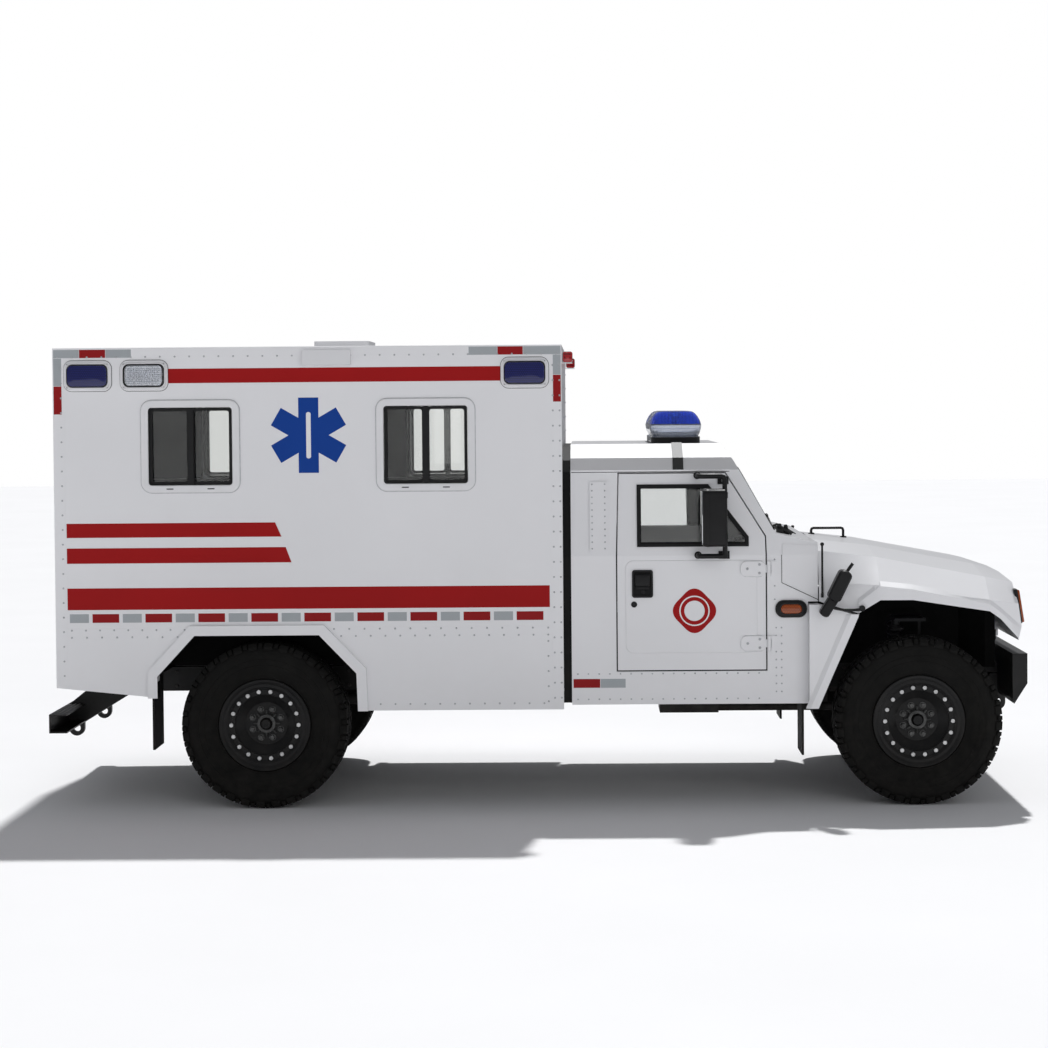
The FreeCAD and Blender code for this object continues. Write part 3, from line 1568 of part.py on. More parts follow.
def make_cab_floor(wall):
    """The cab floor on its mounts, with the two seat boxes."""
    foot = bonnet_seam - s.firewall_setback - wall
    floor_top = s.cab_floor_height + s.cab_floor_thickness
    panel = block(
        "cab_floor_panel",
        (cab_rear + wall, -s.cab_half_width + wall, s.cab_floor_height),
        (foot, s.cab_half_width - wall, floor_top),
    )
    seat_rear = cab_rear + s.seat_rear_reach
    base = block(
        "seat_box",
        (seat_rear, -s.seat_half_spread - s.seat_width * HALF, floor_top - s.overrun),
        (seat_rear + s.seat_length, -s.seat_half_spread + s.seat_width * HALF, floor_top + s.seat_base_height),
    )
    node("cab_floor", fused("cab_floor_body", [panel, base, mirrored("seat_box_left", base)]))
    cushion_base = floor_top + s.seat_base_height + s.seat_gap
    side_low = -s.seat_half_spread - s.seat_width * HALF
    cushion = plate(
        "seat_cushion", "YZ", (side_low, cushion_base),
        (side_low + s.seat_width, cushion_base + s.cushion_height), s.cushion_round,
        "X", seat_rear, s.seat_length,
    )
    back_base = cushion_base + s.cushion_height + s.seat_gap
    back = prism(
        "seat_back", "XZ",
        [(seat_rear, back_base), (seat_rear + s.back_thickness, back_base),
         (seat_rear + s.back_thickness - s.back_lean, back_base + s.back_height),
         (seat_rear - s.back_lean, back_base + s.back_height)],
        "Y", side_low, s.seat_width,
    )
    bench_y = box_inner_half - s.seat_gap
    bench_front = box_front - s.bench_front_setback
    bench_top = box_floor_top + s.bench_height
    bench_pad = plate(
        "bench_pad", "YZ", (bench_y - s.bench_depth, bench_top + s.seat_gap),
        (bench_y, bench_top + s.seat_gap + s.bench_cushion), s.cushion_round,
        "X", bench_front - s.bench_length, s.bench_length,
    )
    seats = pair("cab_seats", grouped("right_seat", [cushion, back]))
    node("seat_cushions", grouped("seat_cushions_body", [seats, bench_pad]))


def cab_hinges(word, moving):
    """The right-hand outside hinges: the pillar's leaves, or the door's where moving is 1."""
    skin = -s.cab_half_width
    axis_x = bonnet_seam - s.door_front_setback + s.hinge_offset
    axis_y = skin - s.hinge_offset
    side_gap = (s.hinge_height - s.hinge_barrel) * HALF
    pieces = []
    for count, level in enumerate((s.upper_hinge_height, s.lower_hinge_height)):
        label = "%s_cab_hinge_%d" % (word, count)
        if moving:
            spans = [(level + side_gap + s.hinge_play, s.hinge_barrel - s.hinge_play * 2)]
            leaf_low = (axis_x - s.hinge_offset - s.hinge_leaf_reach, skin - s.hinge_leaf_thickness, level)
            leaf_high = (axis_x - s.hinge_offset - s.hinge_leaf_gap, skin, level + s.hinge_height)
        else:
            spans = [(level, side_gap), (level + side_gap + s.hinge_barrel, side_gap)]
            leaf_low = (axis_x + s.hinge_offset, skin - s.hinge_leaf_thickness, level)
            leaf_high = (axis_x + s.hinge_offset + s.fixed_leaf_length, skin, level + s.hinge_height)
        pieces.append(block(label + "_leaf", leaf_low, leaf_high))
        for part, (base, height) in enumerate(spans):
            mark = "%s_%d" % (label, part)
            pieces.append(rod(mark + "_barrel", "Z", s.hinge_radius, (axis_x, axis_y, base), height))
            near = leaf_high[0] if moving else axis_x
            far = axis_x if moving else leaf_low[0]
            reach = s.hinge_leaf_gap
            pieces.append(block(
                mark + "_neck",
                (near - reach * moving, skin - s.hinge_leaf_thickness - reach, base),
                (far + reach * (1 - moving), skin - reach, base + height),
            ))
    return fused(word + "_cab_hinges", pieces)


def make_cab_doors(shell, blank, end_view):
    """The right-hand door with its window, hinges, frame, handle and mirror, and its mirror image."""
    door_start = -s.cab_half_width - s.overrun
    glass_view = outline("glass_view", "XZ", glass_corners())
    opening = drawn("glass_hole", glass_view, "Y", door_start, s.door_depth)
    panel = cut("door_panel", shared("door_skin", shell, blank), opening)
    door = fused("door_right_body", [panel, cab_hinges("door", 1)])
    node("door_right", door)
    node("door_left", mirrored("door_left_body", door))
    slack = grown("glass_slack", glass_view, -s.seat_gap)
    inset = -s.door_glass_inset
    pane_skin = cab_layer("glass_skin", end_view, inset, inset + s.pane_thickness)
    pane = shared("door_pane_right_body", drawn("pane_blank", slack, "Y", door_start, s.door_depth), pane_skin)
    node("door_pane_right", pane)
    node("door_pane_left", mirrored("door_pane_left_body", pane))
    frame_view = grown("frame_view", glass_view, s.glass_frame)
    ring = cut(
        "frame_ring",
        drawn("frame_blank", frame_view, "Y", door_start, s.door_depth),
        drawn("frame_gap", glass_view, "Y", door_start - s.overrun, s.door_depth + s.overrun * 2),
    )
    bar_x = bonnet_seam - s.quarter_bar_setback
    bar = block(
        "quarter_bar",
        (bar_x, door_start, s.glass_base_height - s.glass_frame * HALF),
        (bar_x + s.quarter_bar_width, door_start + s.door_depth, s.glass_top_height - s.glass_frame * 3),
    )
    frame_skin = cab_layer("frame_skin", end_view, s.seat_gap, s.glass_frame_proud)
    frame = shared("window_frame", fused("frame_lines", [ring, bar]), frame_skin)
    handle = plate(
        "door_handle", "XZ",
        (cab_rear + s.handle_reach, s.handle_base_height),
        (cab_rear + s.handle_reach + s.handle_width, s.handle_base_height + s.handle_height),
        s.handle_round, "Y", -s.cab_half_width - s.handle_proud, s.handle_proud - s.seat_gap,
    )
    fittings = grouped("right_door_fittings", [frame, handle, door_mirror()])
    node("door_fittings_right", fittings)
    node("door_fittings_left", mirrored("left_door_fittings", fittings))


def door_mirror():
    """A C-shaped tube on two feet that carries the mirror head."""
    tube_x = bonnet_seam - s.mirror_tube_setback
    radius = s.mirror_tube_radius
    pieces = []
    lean = (s.cab_half_width - s.gutter_half_width) / (s.gutter_height - s.belt_height)
    feet = (
        (s.mirror_low_height, s.cab_half_width + s.seat_gap),
        (s.mirror_high_height, s.cab_half_width + s.seat_gap
         - lean * (s.mirror_high_height - s.mirror_foot_height * HALF - s.belt_height)),
    )
    for count, (level, skin) in enumerate(feet):
        pieces.append(block(
            "mirror_foot_%d" % count,
            (tube_x - s.mirror_foot_length * HALF, -skin - s.overrun, level - s.mirror_foot_height * HALF),
            (tube_x + s.mirror_foot_length * HALF, -skin, level + s.mirror_foot_height * HALF),
        ))
        start = (tube_x, -s.mirror_tube_half, level)
        pieces.append(rod("mirror_arm_%d" % count, "Y", radius, start, s.mirror_tube_half - skin - s.overrun * HALF))
    upright_start = (tube_x, -s.mirror_tube_half, s.mirror_low_height - radius)
    rise = s.mirror_high_height - s.mirror_low_height + radius * 2
    pieces.append(rod("mirror_upright", "Z", radius, upright_start, rise))
    head_y = -s.mirror_tube_half + s.mirror_head_width * HALF
    pieces.append(plate(
        "mirror_head", "YZ", (head_y - s.mirror_head_width, s.mirror_head_base_height),
        (head_y, s.mirror_head_base_height + s.mirror_head_height), s.mirror_head_round,
        "X", tube_x - s.mirror_head_thickness - radius * HALF, s.mirror_head_thickness,
    ))
    return fused("door_mirror", pieces)


def make_gap_seal(end_view):
    """The rubber band that closes the gap between the box and the cab."""
    start = box_front + s.seat_gap
    length = s.cab_gap - s.seat_gap * 2
    inset = -s.seal_inset
    outer = drawn("seal_outer", grown("seal_outer_line", end_view, inset), "X", start, length)
    inner = drawn("seal_inner", grown("seal_inner_line", end_view, inset - s.seal_width), "X",
                  start - s.overrun, length + s.overrun * 2)
    passage = block(
        "seal_passage",
        (start - s.overrun, -s.cab_half_width - inset + s.seal_width, s.cab_base_height - s.overrun),
        (start + length + s.overrun, s.cab_half_width + inset - s.seal_width, s.cab_floor_height),
    )
    node("gap_seal", cut("gap_seal_body", cut("seal_band", outer, inner), passage))


def make_cab_inside():
    """Dashboard with its steering wheel."""
    dash_front = bonnet_seam - s.dash_setback + s.dash_depth
    dash_half = s.cab_half_width - s.cab_wall - s.door_gap - s.overrun
    dash = prism(
        "dash_body", "XZ",
        [(dash_front - s.dash_depth, s.dash_base_height + s.dash_height * DASH_SHARES[0]),
         (dash_front, s.dash_base_height),
         (dash_front, s.dash_base_height + s.dash_height),
         (dash_front - s.dash_depth * DASH_SHARES[1], s.dash_base_height + s.dash_height * DASH_SHARES[2])],
        "Y", -dash_half, dash_half * 2,
    )
    wheel_x = bonnet_seam - s.steering_setback
    column = rod(
        "steering_column", "X", s.steering_column_radius,
        (wheel_x, s.steering_offset, s.steering_centre_height), dash_front - wheel_x - s.dash_depth * HALF,
    )
    ring = doc.addObject("Part::Torus", "steering_ring")
    ring.Placement = Placement(Vector(), ALONG["X"])
    bind(ring, "Radius1", s.steering_radius)
    bind(ring, "Radius2", s.steering_rim_radius)
    place(ring, wheel_x, s.steering_offset, s.steering_centre_height)
    half = s.steering_spoke * HALF
    spoke = block(
        "steering_spokes",
        (wheel_x - half * HALF, s.steering_offset - s.steering_radius, s.steering_centre_height - half),
        (wheel_x + half * HALF, s.steering_offset + s.steering_radius, s.steering_centre_height + half),
    )
    hub = rod(
        "steering_hub", "X", s.steering_hub_radius,
        (wheel_x - half, s.steering_offset, s.steering_centre_height), s.steering_spoke,
    )
    node("dashboard", fused("dashboard_body", [dash, column, ring, spoke, hub]))


def bonnet_section(name, station, crown, shoulder, side, inset):
    """One cross-section of the bonnet, pulled in by an inset."""
    base = s.nose_base_height - s.overrun * 5 - inset
    right = [
        (side[0] - inset, base),
        (side[0] - inset, side[1] - inset * HALF),
        (shoulder[0] - inset, shoulder[1] - inset),
        (shoulder[0] * HALF, (crown + shoulder[1]) * HALF + (crown - shoulder[1]) * CROWN_SHARE - inset),
    ]
    top = [(0 * crown, crown - inset)]
    corners = right + top + [(-half, height) for half, height in reversed(right)]
    return outline(name, "YZ", corners, (station, 0, 0))


def bonnet_loft(name, inset, reach):
    """The bonnet's outer form, or the space in it when an inset is given."""
    stations = [
        (bonnet_seam - reach, s.crown_rear_height, (s.shoulder_rear_half, s.shoulder_rear_height),
         (s.side_rear_half, s.side_rear_height)),
        (front_axle - s.crown_mid_reach, s.crown_mid_height, (s.shoulder_mid_half, s.shoulder_mid_height),
         (s.crease_half, s.crease_mid_height)),
        (front_axle + s.crown_front_reach, s.crown_front_height, (s.shoulder_front_half, s.shoulder_front_height),
         (s.crease_half, s.crease_front_height)),
        (front_axle + s.nose_reach, s.nose_crown_height, (s.nose_shoulder_half, s.nose_shoulder_height),
         (s.nose_side_half, s.nose_side_height)),
    ]
    sections = []
    for count, (station, crown, shoulder, side) in enumerate(stations):
        sections.append(bonnet_section("%s_section_%d" % (name, count), station, crown, shoulder, side, inset))
    item = doc.addObject("Part::Loft", name)
    item.Sections = sections
    item.Solid = True
    item.Ruled = True
    return item


def bonnet_side_corners():
    """The bonnet seen from its side, with the front wheel arch as its lower edge."""
    top = s.crown_rear_height + s.overrun
    return [
        (bonnet_seam, s.cowl_base_height),
        (front_axle - s.fender_knee_setback, s.fender_knee_height),
        (front_axle - s.front_arch_rear_setback, s.front_arch_rear_height),
        (front_axle - s.front_arch_mid_setback, s.front_arch_rear_height),
        (front_axle + s.front_arch_front_reach, s.front_arch_front_height),
        (front_axle + s.front_arch_knee_reach, s.front_arch_knee_height),
        (front_axle + s.front_arch_low_reach, s.front_arch_low_height),
        (front_axle + s.nose_base_reach, s.nose_base_height),
        (front_axle + s.nose_chin_reach, s.nose_chin_height),
        (front_axle + s.nose_top_reach, s.nose_crown_height + s.overrun),
        (front_axle + s.nose_top_reach, top),
        (bonnet_seam, top),
    ]


def make_bonnet():
    """The one-piece bonnet, which tilts forward on a pin at its nose, with all that it carries."""
    wall = s.bonnet_wall
    side = drawn("bonnet_side_solid", outline("bonnet_side_view", "XZ", bonnet_side_corners()),
                 "Y", -s.crease_half, s.crease_half * 2)
    outer = shared("bonnet_outer", bonnet_loft("bonnet_form", 0 * wall, 0 * wall), side)
    nose_top = front_axle + s.nose_top_reach - wall
    nose_chin = front_axle + s.nose_chin_reach - wall
    inner_side = prism(
        "bonnet_space_side", "XZ",
        [(bonnet_seam - s.overrun, s.nose_base_height - s.overrun * 2),
         (front_axle + s.nose_base_reach - wall, s.nose_base_height - s.overrun * 2),
         (nose_chin, s.nose_chin_height),
         (nose_top, s.nose_crown_height),
         (nose_top, s.crown_rear_height),
         (bonnet_seam - s.overrun, s.crown_rear_height)],
        "Y", -s.crease_half, s.crease_half * 2,
    )
    space = shared("bonnet_space", bonnet_loft("bonnet_space_form", wall, s.overrun), inner_side)
    tools = [space, grille_block("grille_hole", 0 * wall), lamp_holes()]
    shell = cut("bonnet_shell", outer, fused("bonnet_holes", tools))
    hinge_x = front_axle + s.bonnet_hinge_reach
    pin_inner = s.bonnet_hinge_half - s.hinge_plate * 2
    pin = rod(
        "bonnet_pin", "Y", s.bonnet_hinge_radius,
        (hinge_x, -s.bonnet_hinge_half - s.hinge_plate * 2, s.bonnet_hinge_height), s.hinge_plate * 4,
    )
    arm = block(
        "bonnet_arm",
        (hinge_x - s.bonnet_hinge_radius, -pin_inner - s.hinge_plate * HALF,
         s.bonnet_hinge_height - s.bonnet_hinge_radius),
        (front_axle + s.nose_base_reach - wall * HALF, -pin_inner + s.hinge_plate * HALF,
         s.nose_base_height + s.overrun * 5),
    )
    hinge = fused("bonnet_hinge", [pin, arm])
    node("bonnet", fused("bonnet_body", [shell, hinge, mirrored("bonnet_hinge_left", hinge)]))
    make_grille()
    make_head_lamps()
    node("bonnet_fittings", pair("bonnet_fittings_pair", grouped("right_bonnet_fittings", [grab_handle(), fender_mirror()])))


def nose_corners(low_z, high_z, inset, depth):
    """A slice of the sloping nose between two heights, sunk by an inset and as thick as its depth."""
    foot_x = front_axle + s.nose_chin_reach
    head_x = front_axle + s.nose_top_reach
    rise = s.nose_crown_height - s.nose_chin_height
    lean = (foot_x - head_x) / float(rise)
    low_x = foot_x - lean * float(low_z - s.nose_chin_height) - inset
    high_x = foot_x - lean * float(high_z - s.nose_chin_height) - inset
    return [(low_x - depth, low_z), (low_x, low_z), (high_x, high_z), (high_x - depth, high_z)]


def grille_block(name, slack):
    """The grille's place in the nose, narrower by a slack on every side."""
    corners = nose_corners(s.grille_base_height + slack, s.grille_top_height - slack, -s.overrun * 2, s.bonnet_wall * 4)
    return prism(name, "XZ", corners, "Y", -s.grille_half_width + slack, (s.grille_half_width - slack) * 2)


def make_grille():
    """A frame with level bars, seated in the nose's opening."""
    slack = s.seat_gap
    low = s.grille_base_height + slack
    high = s.grille_top_height - slack
    half = s.grille_half_width - slack
    body = prism("grille_blank", "XZ", nose_corners(low, high, 0 * slack, s.grille_depth), "Y", -half, half * 2)
    window = prism(
        "grille_window", "XZ",
        nose_corners(low + s.grille_frame, high - s.grille_frame, -s.overrun, s.grille_depth + s.overrun * 2),
        "Y", -half + s.grille_frame, (half - s.grille_frame) * 2,
    )
    pieces = [cut("grille_frame_body", body, window)]
    bars = 4
    pitch = (high - low - s.grille_frame * 2) / (bars + 1)
    for count in range(bars):
        level = low + s.grille_frame + pitch * (count + 1) - s.grille_bar * HALF
        corners = nose_corners(level, level + s.grille_bar, s.grille_depth * BAR_SHARES[0], s.grille_depth * BAR_SHARES[1])
        pieces.append(prism("grille_bar_%d" % count, "XZ", corners, "Y", -half + s.grille_frame * HALF,
                            (half - s.grille_frame * HALF) * 2))
    node("grille", fused("grille_body", pieces))


def head_lamp_plate(name, slack, start, depth):
    """A right-hand head lamp's round-cornered body along X."""
    low = (-s.head_lamp_half - s.head_lamp_width * HALF + slack, s.head_lamp_base_height + slack)
    high = (-s.head_lamp_half + s.head_lamp_width * HALF - slack, s.head_lamp_base_height + s.head_lamp_height - slack)
    return plate(name, "YZ", low, high, s.head_lamp_round, "X", start, depth)


def lamp_holes():
    """The two head lamp openings in the nose."""
    start = front_axle + s.nose_top_reach - s.head_lamp_depth - s.overrun * 4
    hole = head_lamp_plate("head_lamp_hole", 0 * s.seat_gap, start, s.head_lamp_depth * 3)
    return pair("head_lamp_holes", hole)


def make_head_lamps():
    """Head lamps behind a flush lens in the nose."""
    start = front_axle + s.nose_top_reach - s.head_lamp_depth
    lamp = head_lamp_plate("head_lamp_body", s.seat_gap, start, s.head_lamp_depth * 2)
    corners = nose_corners(s.head_lamp_base_height - s.overrun, s.head_lamp_base_height + s.head_lamp_height + s.overrun,
                           0 * s.overrun, s.head_lamp_depth)
    slice_half = s.head_lamp_half + s.head_lamp_width
    nose = prism("head_lamp_slice", "XZ", corners, "Y", -slice_half, slice_half)
    node("head_lamps", pair("head_lamps_pair", shared("head_lamp", lamp, nose)))


def grab_handle():
    """A low hoop on the bonnet's rear corner."""
    rear = bonnet_seam + s.grab_reach
    front = rear + s.grab_length
    base = s.shoulder_rear_height
    top = s.crown_rear_height + s.grab_height
    pieces = []
    for count, station in enumerate((rear, front)):
        skin = bonnet_skin(station)
        pieces.append(rod("grab_leg_%d" % count, "Z", s.grab_radius, (station, -s.grab_half, skin), top - skin))
    pieces.append(rod("grab_bar", "X", s.grab_radius, (rear - s.grab_radius, -s.grab_half, top),
                      s.grab_length + s.grab_radius * 2))
    return fused("grab_handle", pieces)


def bonnet_skin(station):
    """The height just over the bonnet's surface at a station near its rear, on the handle's line."""
    span = float(s.seam_to_axle - s.crown_mid_reach)
    share = float(station - bonnet_seam) / span
    rear = rear_skin_height(s.crown_rear_height, s.shoulder_rear_height, s.shoulder_rear_half)
    mid = rear_skin_height(s.crown_mid_height, s.shoulder_mid_height, s.shoulder_mid_half)
    return rear + (mid - rear) * share + s.grab_seat


def rear_skin_height(crown, shoulder, half):
    """The surface height on the handle's line in one cross-section."""
    knee = (crown + shoulder) * HALF + (crown - shoulder) * CROWN_SHARE
    share = float(s.grab_half - half * HALF) / float(half * HALF)
    return knee + (shoulder - knee) * share


def fender_mirror():
    """A leaning mirror on an arm from the wheel arch's edge."""
    low_x = bonnet_seam + s.fender_mirror_reach
    lean = s.fender_mirror_lean
    base = s.fender_mirror_base_height
    head = prism(
        "fender_mirror_head", "XZ",
        [(low_x, base), (low_x + s.fender_mirror_length, base),
         (low_x + lean + s.fender_mirror_length * HALF, base + s.fender_mirror_height),
         (low_x + lean, base + s.fender_mirror_height)],
        "Y", -s.fender_mirror_half - s.fender_mirror_width * HALF, s.fender_mirror_width,
    )
    arm_x = front_axle - s.fender_knee_setback
    arm = block(
        "fender_mirror_arm",
        (low_x + s.fender_mirror_length, -s.crease_half - s.overrun * 2, s.fender_knee_height + s.overrun * 2),
        (arm_x + s.fender_mirror_length, -s.crease_half - s.seat_gap, s.fender_knee_height + s.overrun * 4),
    )
    return fused("fender_mirror", [head, arm])


def front_fender_leg():
    """The fixed right-hand panel between the door and the front wheel."""
    gap = s.bonnet_gap
    foot = bonnet_seam - s.firewall_setback + s.seat_gap
    corners = [
        (foot, s.cab_base_height),
        (bonnet_seam - s.fender_foot_setback, s.fender_foot_height),
        (front_axle - s.fender_knee_setback, s.fender_knee_height - gap * 2),
        (bonnet_seam - gap, s.cowl_base_height - gap * 2),
        (foot, s.cowl_base_height - gap * 2),
    ]
    width = s.crease_half - s.cab_half_width + s.tower_depth * HALF
    return prism("fender_leg", "XZ", corners, "Y", -s.crease_half, width)


def make_bumpers():
    """The front bumper on its brackets and the rear beam on its plates, each with two tow eyes."""
    face = front_axle + s.front_overhang
    back = face - s.bumper_depth
    corners = [
        (back, s.bumper_top_height),
        (face, s.bumper_top_height),
        (face, s.bumper_base_height),
        (face - s.bumper_chin_setback, s.bumper_chin_height),
        (face - s.bumper_chin_setback - s.bumper_chin_depth * CHIN_SHARE, s.bumper_chin_height + s.bumper_chin_depth),
        (back, s.bumper_base_height),
    ]
    bar = prism("bumper_bar", "XZ", corners, "Y", -s.bumper_half_width, s.bumper_half_width * 2)
    bracket = block(
        "bumper_bracket",
        (rail_front + s.seat_gap, -s.rail_outer_half, s.rail_base_height + s.member_height),
        (back + s.overrun, -s.rail_outer_half + s.bumper_bracket_width, rail_top),
    )
    eye_x = face - s.bumper_chin_setback - s.overrun
    eye = tow_eye("front_eye", eye_x, s.tow_eye_height, s.bumper_base_height)
    right = fused("bumper_right_parts", [bracket, eye])
    node("front_bumper", fused("front_bumper_body", [bar, right, mirrored("bumper_left_parts", right)]))
    beam_rear = rear_axle - s.rear_overhang
    beam_top = s.beam_base_height + s.beam_height
    wall = s.beam_wall
    section = [
        (beam_rear, s.beam_base_height),
        (beam_rear + s.beam_depth, s.beam_base_height),
        (beam_rear + s.beam_depth, s.beam_base_height + wall),
        (beam_rear + wall, s.beam_base_height + wall),
        (beam_rear + wall, beam_top - wall),
        (beam_rear + s.beam_depth, beam_top - wall),
        (beam_rear + s.beam_depth, beam_top),
        (beam_rear, beam_top),
    ]
    beam = prism("rear_beam_bar", "XZ", section, "Y", -s.beam_half_width, s.beam_half_width * 2)
    start = beam_rear + s.beam_depth
    side_plate = prism(
        "rear_beam_plate", "XZ",
        [(beam_rear + wall * HALF, s.beam_base_height + wall * HALF),
         (start, s.beam_base_height + wall * HALF),
         (start + s.beam_plate_length, s.rail_base_height - s.overrun * 2),
         (start + s.beam_plate_length, s.rail_base_height - s.seat_gap),
         (start, s.rail_base_height - s.seat_gap),
         (beam_rear + wall * HALF, beam_top - wall * HALF)],
        "Y", -s.rail_outer_half, s.tow_plate,
    )
    rear_eye = tow_eye("rear_eye", beam_rear + s.beam_depth * HALF, s.rear_eye_height, s.beam_base_height + wall)
    right_rear = fused("beam_right_parts", [side_plate, rear_eye])
    node("rear_beam", fused("rear_beam_body", [beam, right_rear, mirrored("beam_left_parts", right_rear)]))


def tow_eye(name, centre_x, height, top):
    """A right-hand tow eye: a plate rounded about its bore, hanging from what carries it."""
    outer = s.tow_eye_radius + s.tow_eye_wall
    start = -s.rail_outer_half
    disc = rod(name + "_disc", "Y", outer, (centre_x, start, height), s.tow_plate)
    neck = block(name + "_neck", (centre_x - outer, start, height), (centre_x + outer, start + s.tow_plate, top))
    bore = rod(
        name + "_bore", "Y", s.tow_eye_radius,
        (centre_x, start - s.overrun, height), s.tow_plate + s.overrun * 2,
    )
    return cut(name, fused(name + "_body", [disc, neck]), bore)


def make_flaps():
    """Rubber flaps behind each wheel."""
    rear_x = rear_axle - s.rear_flap_reach
    rear = block(
        "rear_flap",
        (rear_x, -s.flap_half - s.flap_width * HALF, s.rear_flap_base_height),
        (rear_x + s.flap_thickness, -s.flap_half + s.flap_width * HALF, s.box_floor_height - s.seat_gap),
    )
    front_x = bonnet_seam - s.front_flap_setback - s.flap_thickness
    front = block(
        "front_flap",
        (front_x, -s.cab_half_width + s.cab_wall + s.seat_gap, s.front_flap_base_height),
        (front_x + s.flap_thickness, -s.cab_half_width + s.cab_wall + s.flap_width,
         s.cab_base_height - s.seat_gap),
    )
    node("mud_flaps", pair("mud_flaps_pair", grouped("right_flaps", [rear, front])))


def make_beacon():
    """The light bar over the cab: a dark base with roof straps, clear lower lenses and blue end domes."""
    centre = bonnet_seam - s.beacon_setback
    rear = centre - s.beacon_length * HALF
    base_z = s.roof_height + s.seat_gap
    half = s.beacon_half_width
    base = plate(
        "beacon_base", "XY", (rear, -half), (rear + s.beacon_length, half), s.beacon_round,
        "Z", base_z, s.beacon_base,
    )
    strap_x = centre - s.strap_width * HALF
    rise = s.strap_thickness
    strap_corners = [
        (-half + s.overrun * 2, base_z),
        (-half + s.overrun * 2, base_z + s.strap_thickness),
        (-s.roof_half_width, base_z + rise),
        (-s.shoulder_half_width - s.seat_gap - rise, s.shoulder_height + s.seat_gap),
        (-s.gutter_half_width - s.seat_gap - rise, s.gutter_height + s.seat_gap),
        (-s.gutter_half_width - s.seat_gap, s.gutter_height + s.seat_gap),
        (-s.shoulder_half_width - s.seat_gap, s.shoulder_height + s.seat_gap),
        (-s.roof_half_width, base_z),
    ]
    strap = prism("beacon_strap", "YZ", strap_corners, "X", strap_x, s.strap_width)
    body = fused("light_bar_base_body", [base, strap, mirrored("beacon_strap_left", strap)])
    lens_z = base_z + s.beacon_base + s.seat_gap
    split = s.beacon_height * BEACON_SHARE
    inset = s.overrun
    clear = plate(
        "beacon_clear", "XY", (rear + inset, -half + inset), (rear + s.beacon_length - inset, half - inset),
        s.beacon_round, "Z", lens_z, split,
    )
    blue_z = lens_z + split + s.seat_gap
    end = plate(
        "beacon_blue_end", "XY", (rear + inset, -half + inset),
        (rear + s.beacon_length - inset, -half + s.beacon_end), s.beacon_round,
        "Z", blue_z, s.beacon_height - split - s.beacon_base,
    )
    return body, clear, pair("beacon_blue_ends", end)


def make_load_space():
    """The attendant's bench on the left and the cabinet at the front bulkhead."""
    bench_front = box_front - s.bench_front_setback
    low = box_floor_top + s.seat_gap
    wall_y = box_inner_half - s.seat_gap
    tub_clear = s.tub_inner_half - s.tub_wall - s.seat_gap
    bench = block(
        "bench_box",
        (bench_front - s.bench_length, wall_y - s.bench_depth, s.tub_top_height + s.tub_wall + s.seat_gap),
        (bench_front, wall_y, low + s.bench_height - s.seat_gap),
    )
    foot = block(
        "bench_foot",
        (bench_front - s.bench_depth * HALF, wall_y - s.bench_depth, low),
        (bench_front, wall_y, low + s.bench_height - s.seat_gap),
    )
    bulkhead = box_front - s.box_wall - s.seat_gap
    cabinet = block(
        "bulkhead_cabinet",
        (bulkhead - s.cabinet_depth, -s.cabinet_half_width, low),
        (bulkhead, s.cabinet_half_width, low + s.cabinet_height),
    )
    node("interior_cabinets", grouped("interior_cabinets_body", [fused("bench", [bench, foot]), cabinet]))


def check_document():
    """Stops if any object failed or any sub-part is empty or broken."""
    doc.recompute()
    for item in doc.Objects:
        if "Invalid" in item.State or "Error" in item.State:
            raise RuntimeError("%s did not build: %s" % (item.Name, item.State))
    for item in nodes:
        if item.Shape.isNull() or not item.Shape.isValid() or not item.Shape.Solids:
            raise RuntimeError("%s has no valid solid" % item.Label)


def write_parts():
    """Writes each sub-part to its own file."""
    os.makedirs("parts", exist_ok=True)
    for item in nodes:
        item.Shape.exportStep("parts/%s.step" % item.Label)
        print("%s: %d solids, %.3f litres" % (item.Label, len(item.Shape.Solids), item.Shape.Volume / 1e6))


make_frame()
make_suspension()
make_knuckles()
make_wheels()
make_drive_train()
make_box()
make_rear_doors()
make_box_fittings()
make_cab()
make_cab_inside()
make_bonnet()
make_bumpers()
make_flaps()
make_load_space()
check_document()
write_parts()
print("%d sub-parts" % len(nodes))
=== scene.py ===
"""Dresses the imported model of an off-road box ambulance truck and sets its floor, light and camera."""
import math

import bmesh
import bpy
from bpy.props import FloatProperty, FloatVectorProperty, IntProperty, PointerProperty
from bpy.types import Operator, Panel, PropertyGroup
from mathutils import Matrix, Vector
from mathutils.bvhtree import BVHTree


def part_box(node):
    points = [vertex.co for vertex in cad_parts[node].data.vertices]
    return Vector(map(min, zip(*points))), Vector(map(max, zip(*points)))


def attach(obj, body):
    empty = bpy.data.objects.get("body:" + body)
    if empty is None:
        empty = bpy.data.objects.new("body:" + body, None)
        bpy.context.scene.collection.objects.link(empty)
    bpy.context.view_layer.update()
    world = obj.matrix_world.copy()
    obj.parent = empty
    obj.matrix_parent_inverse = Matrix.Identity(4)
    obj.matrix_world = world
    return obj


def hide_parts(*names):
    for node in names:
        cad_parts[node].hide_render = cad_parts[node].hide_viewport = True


bl_info = {
    "name": "Box Ambulance",
    "version": (1, 0, 0),
    "blender": (4, 5, 0),
    "location": "3D View > Sidebar > Ambulance",
    "description": "Dresses the model of an off-road box ambulance truck",
    "category": "Object",
}

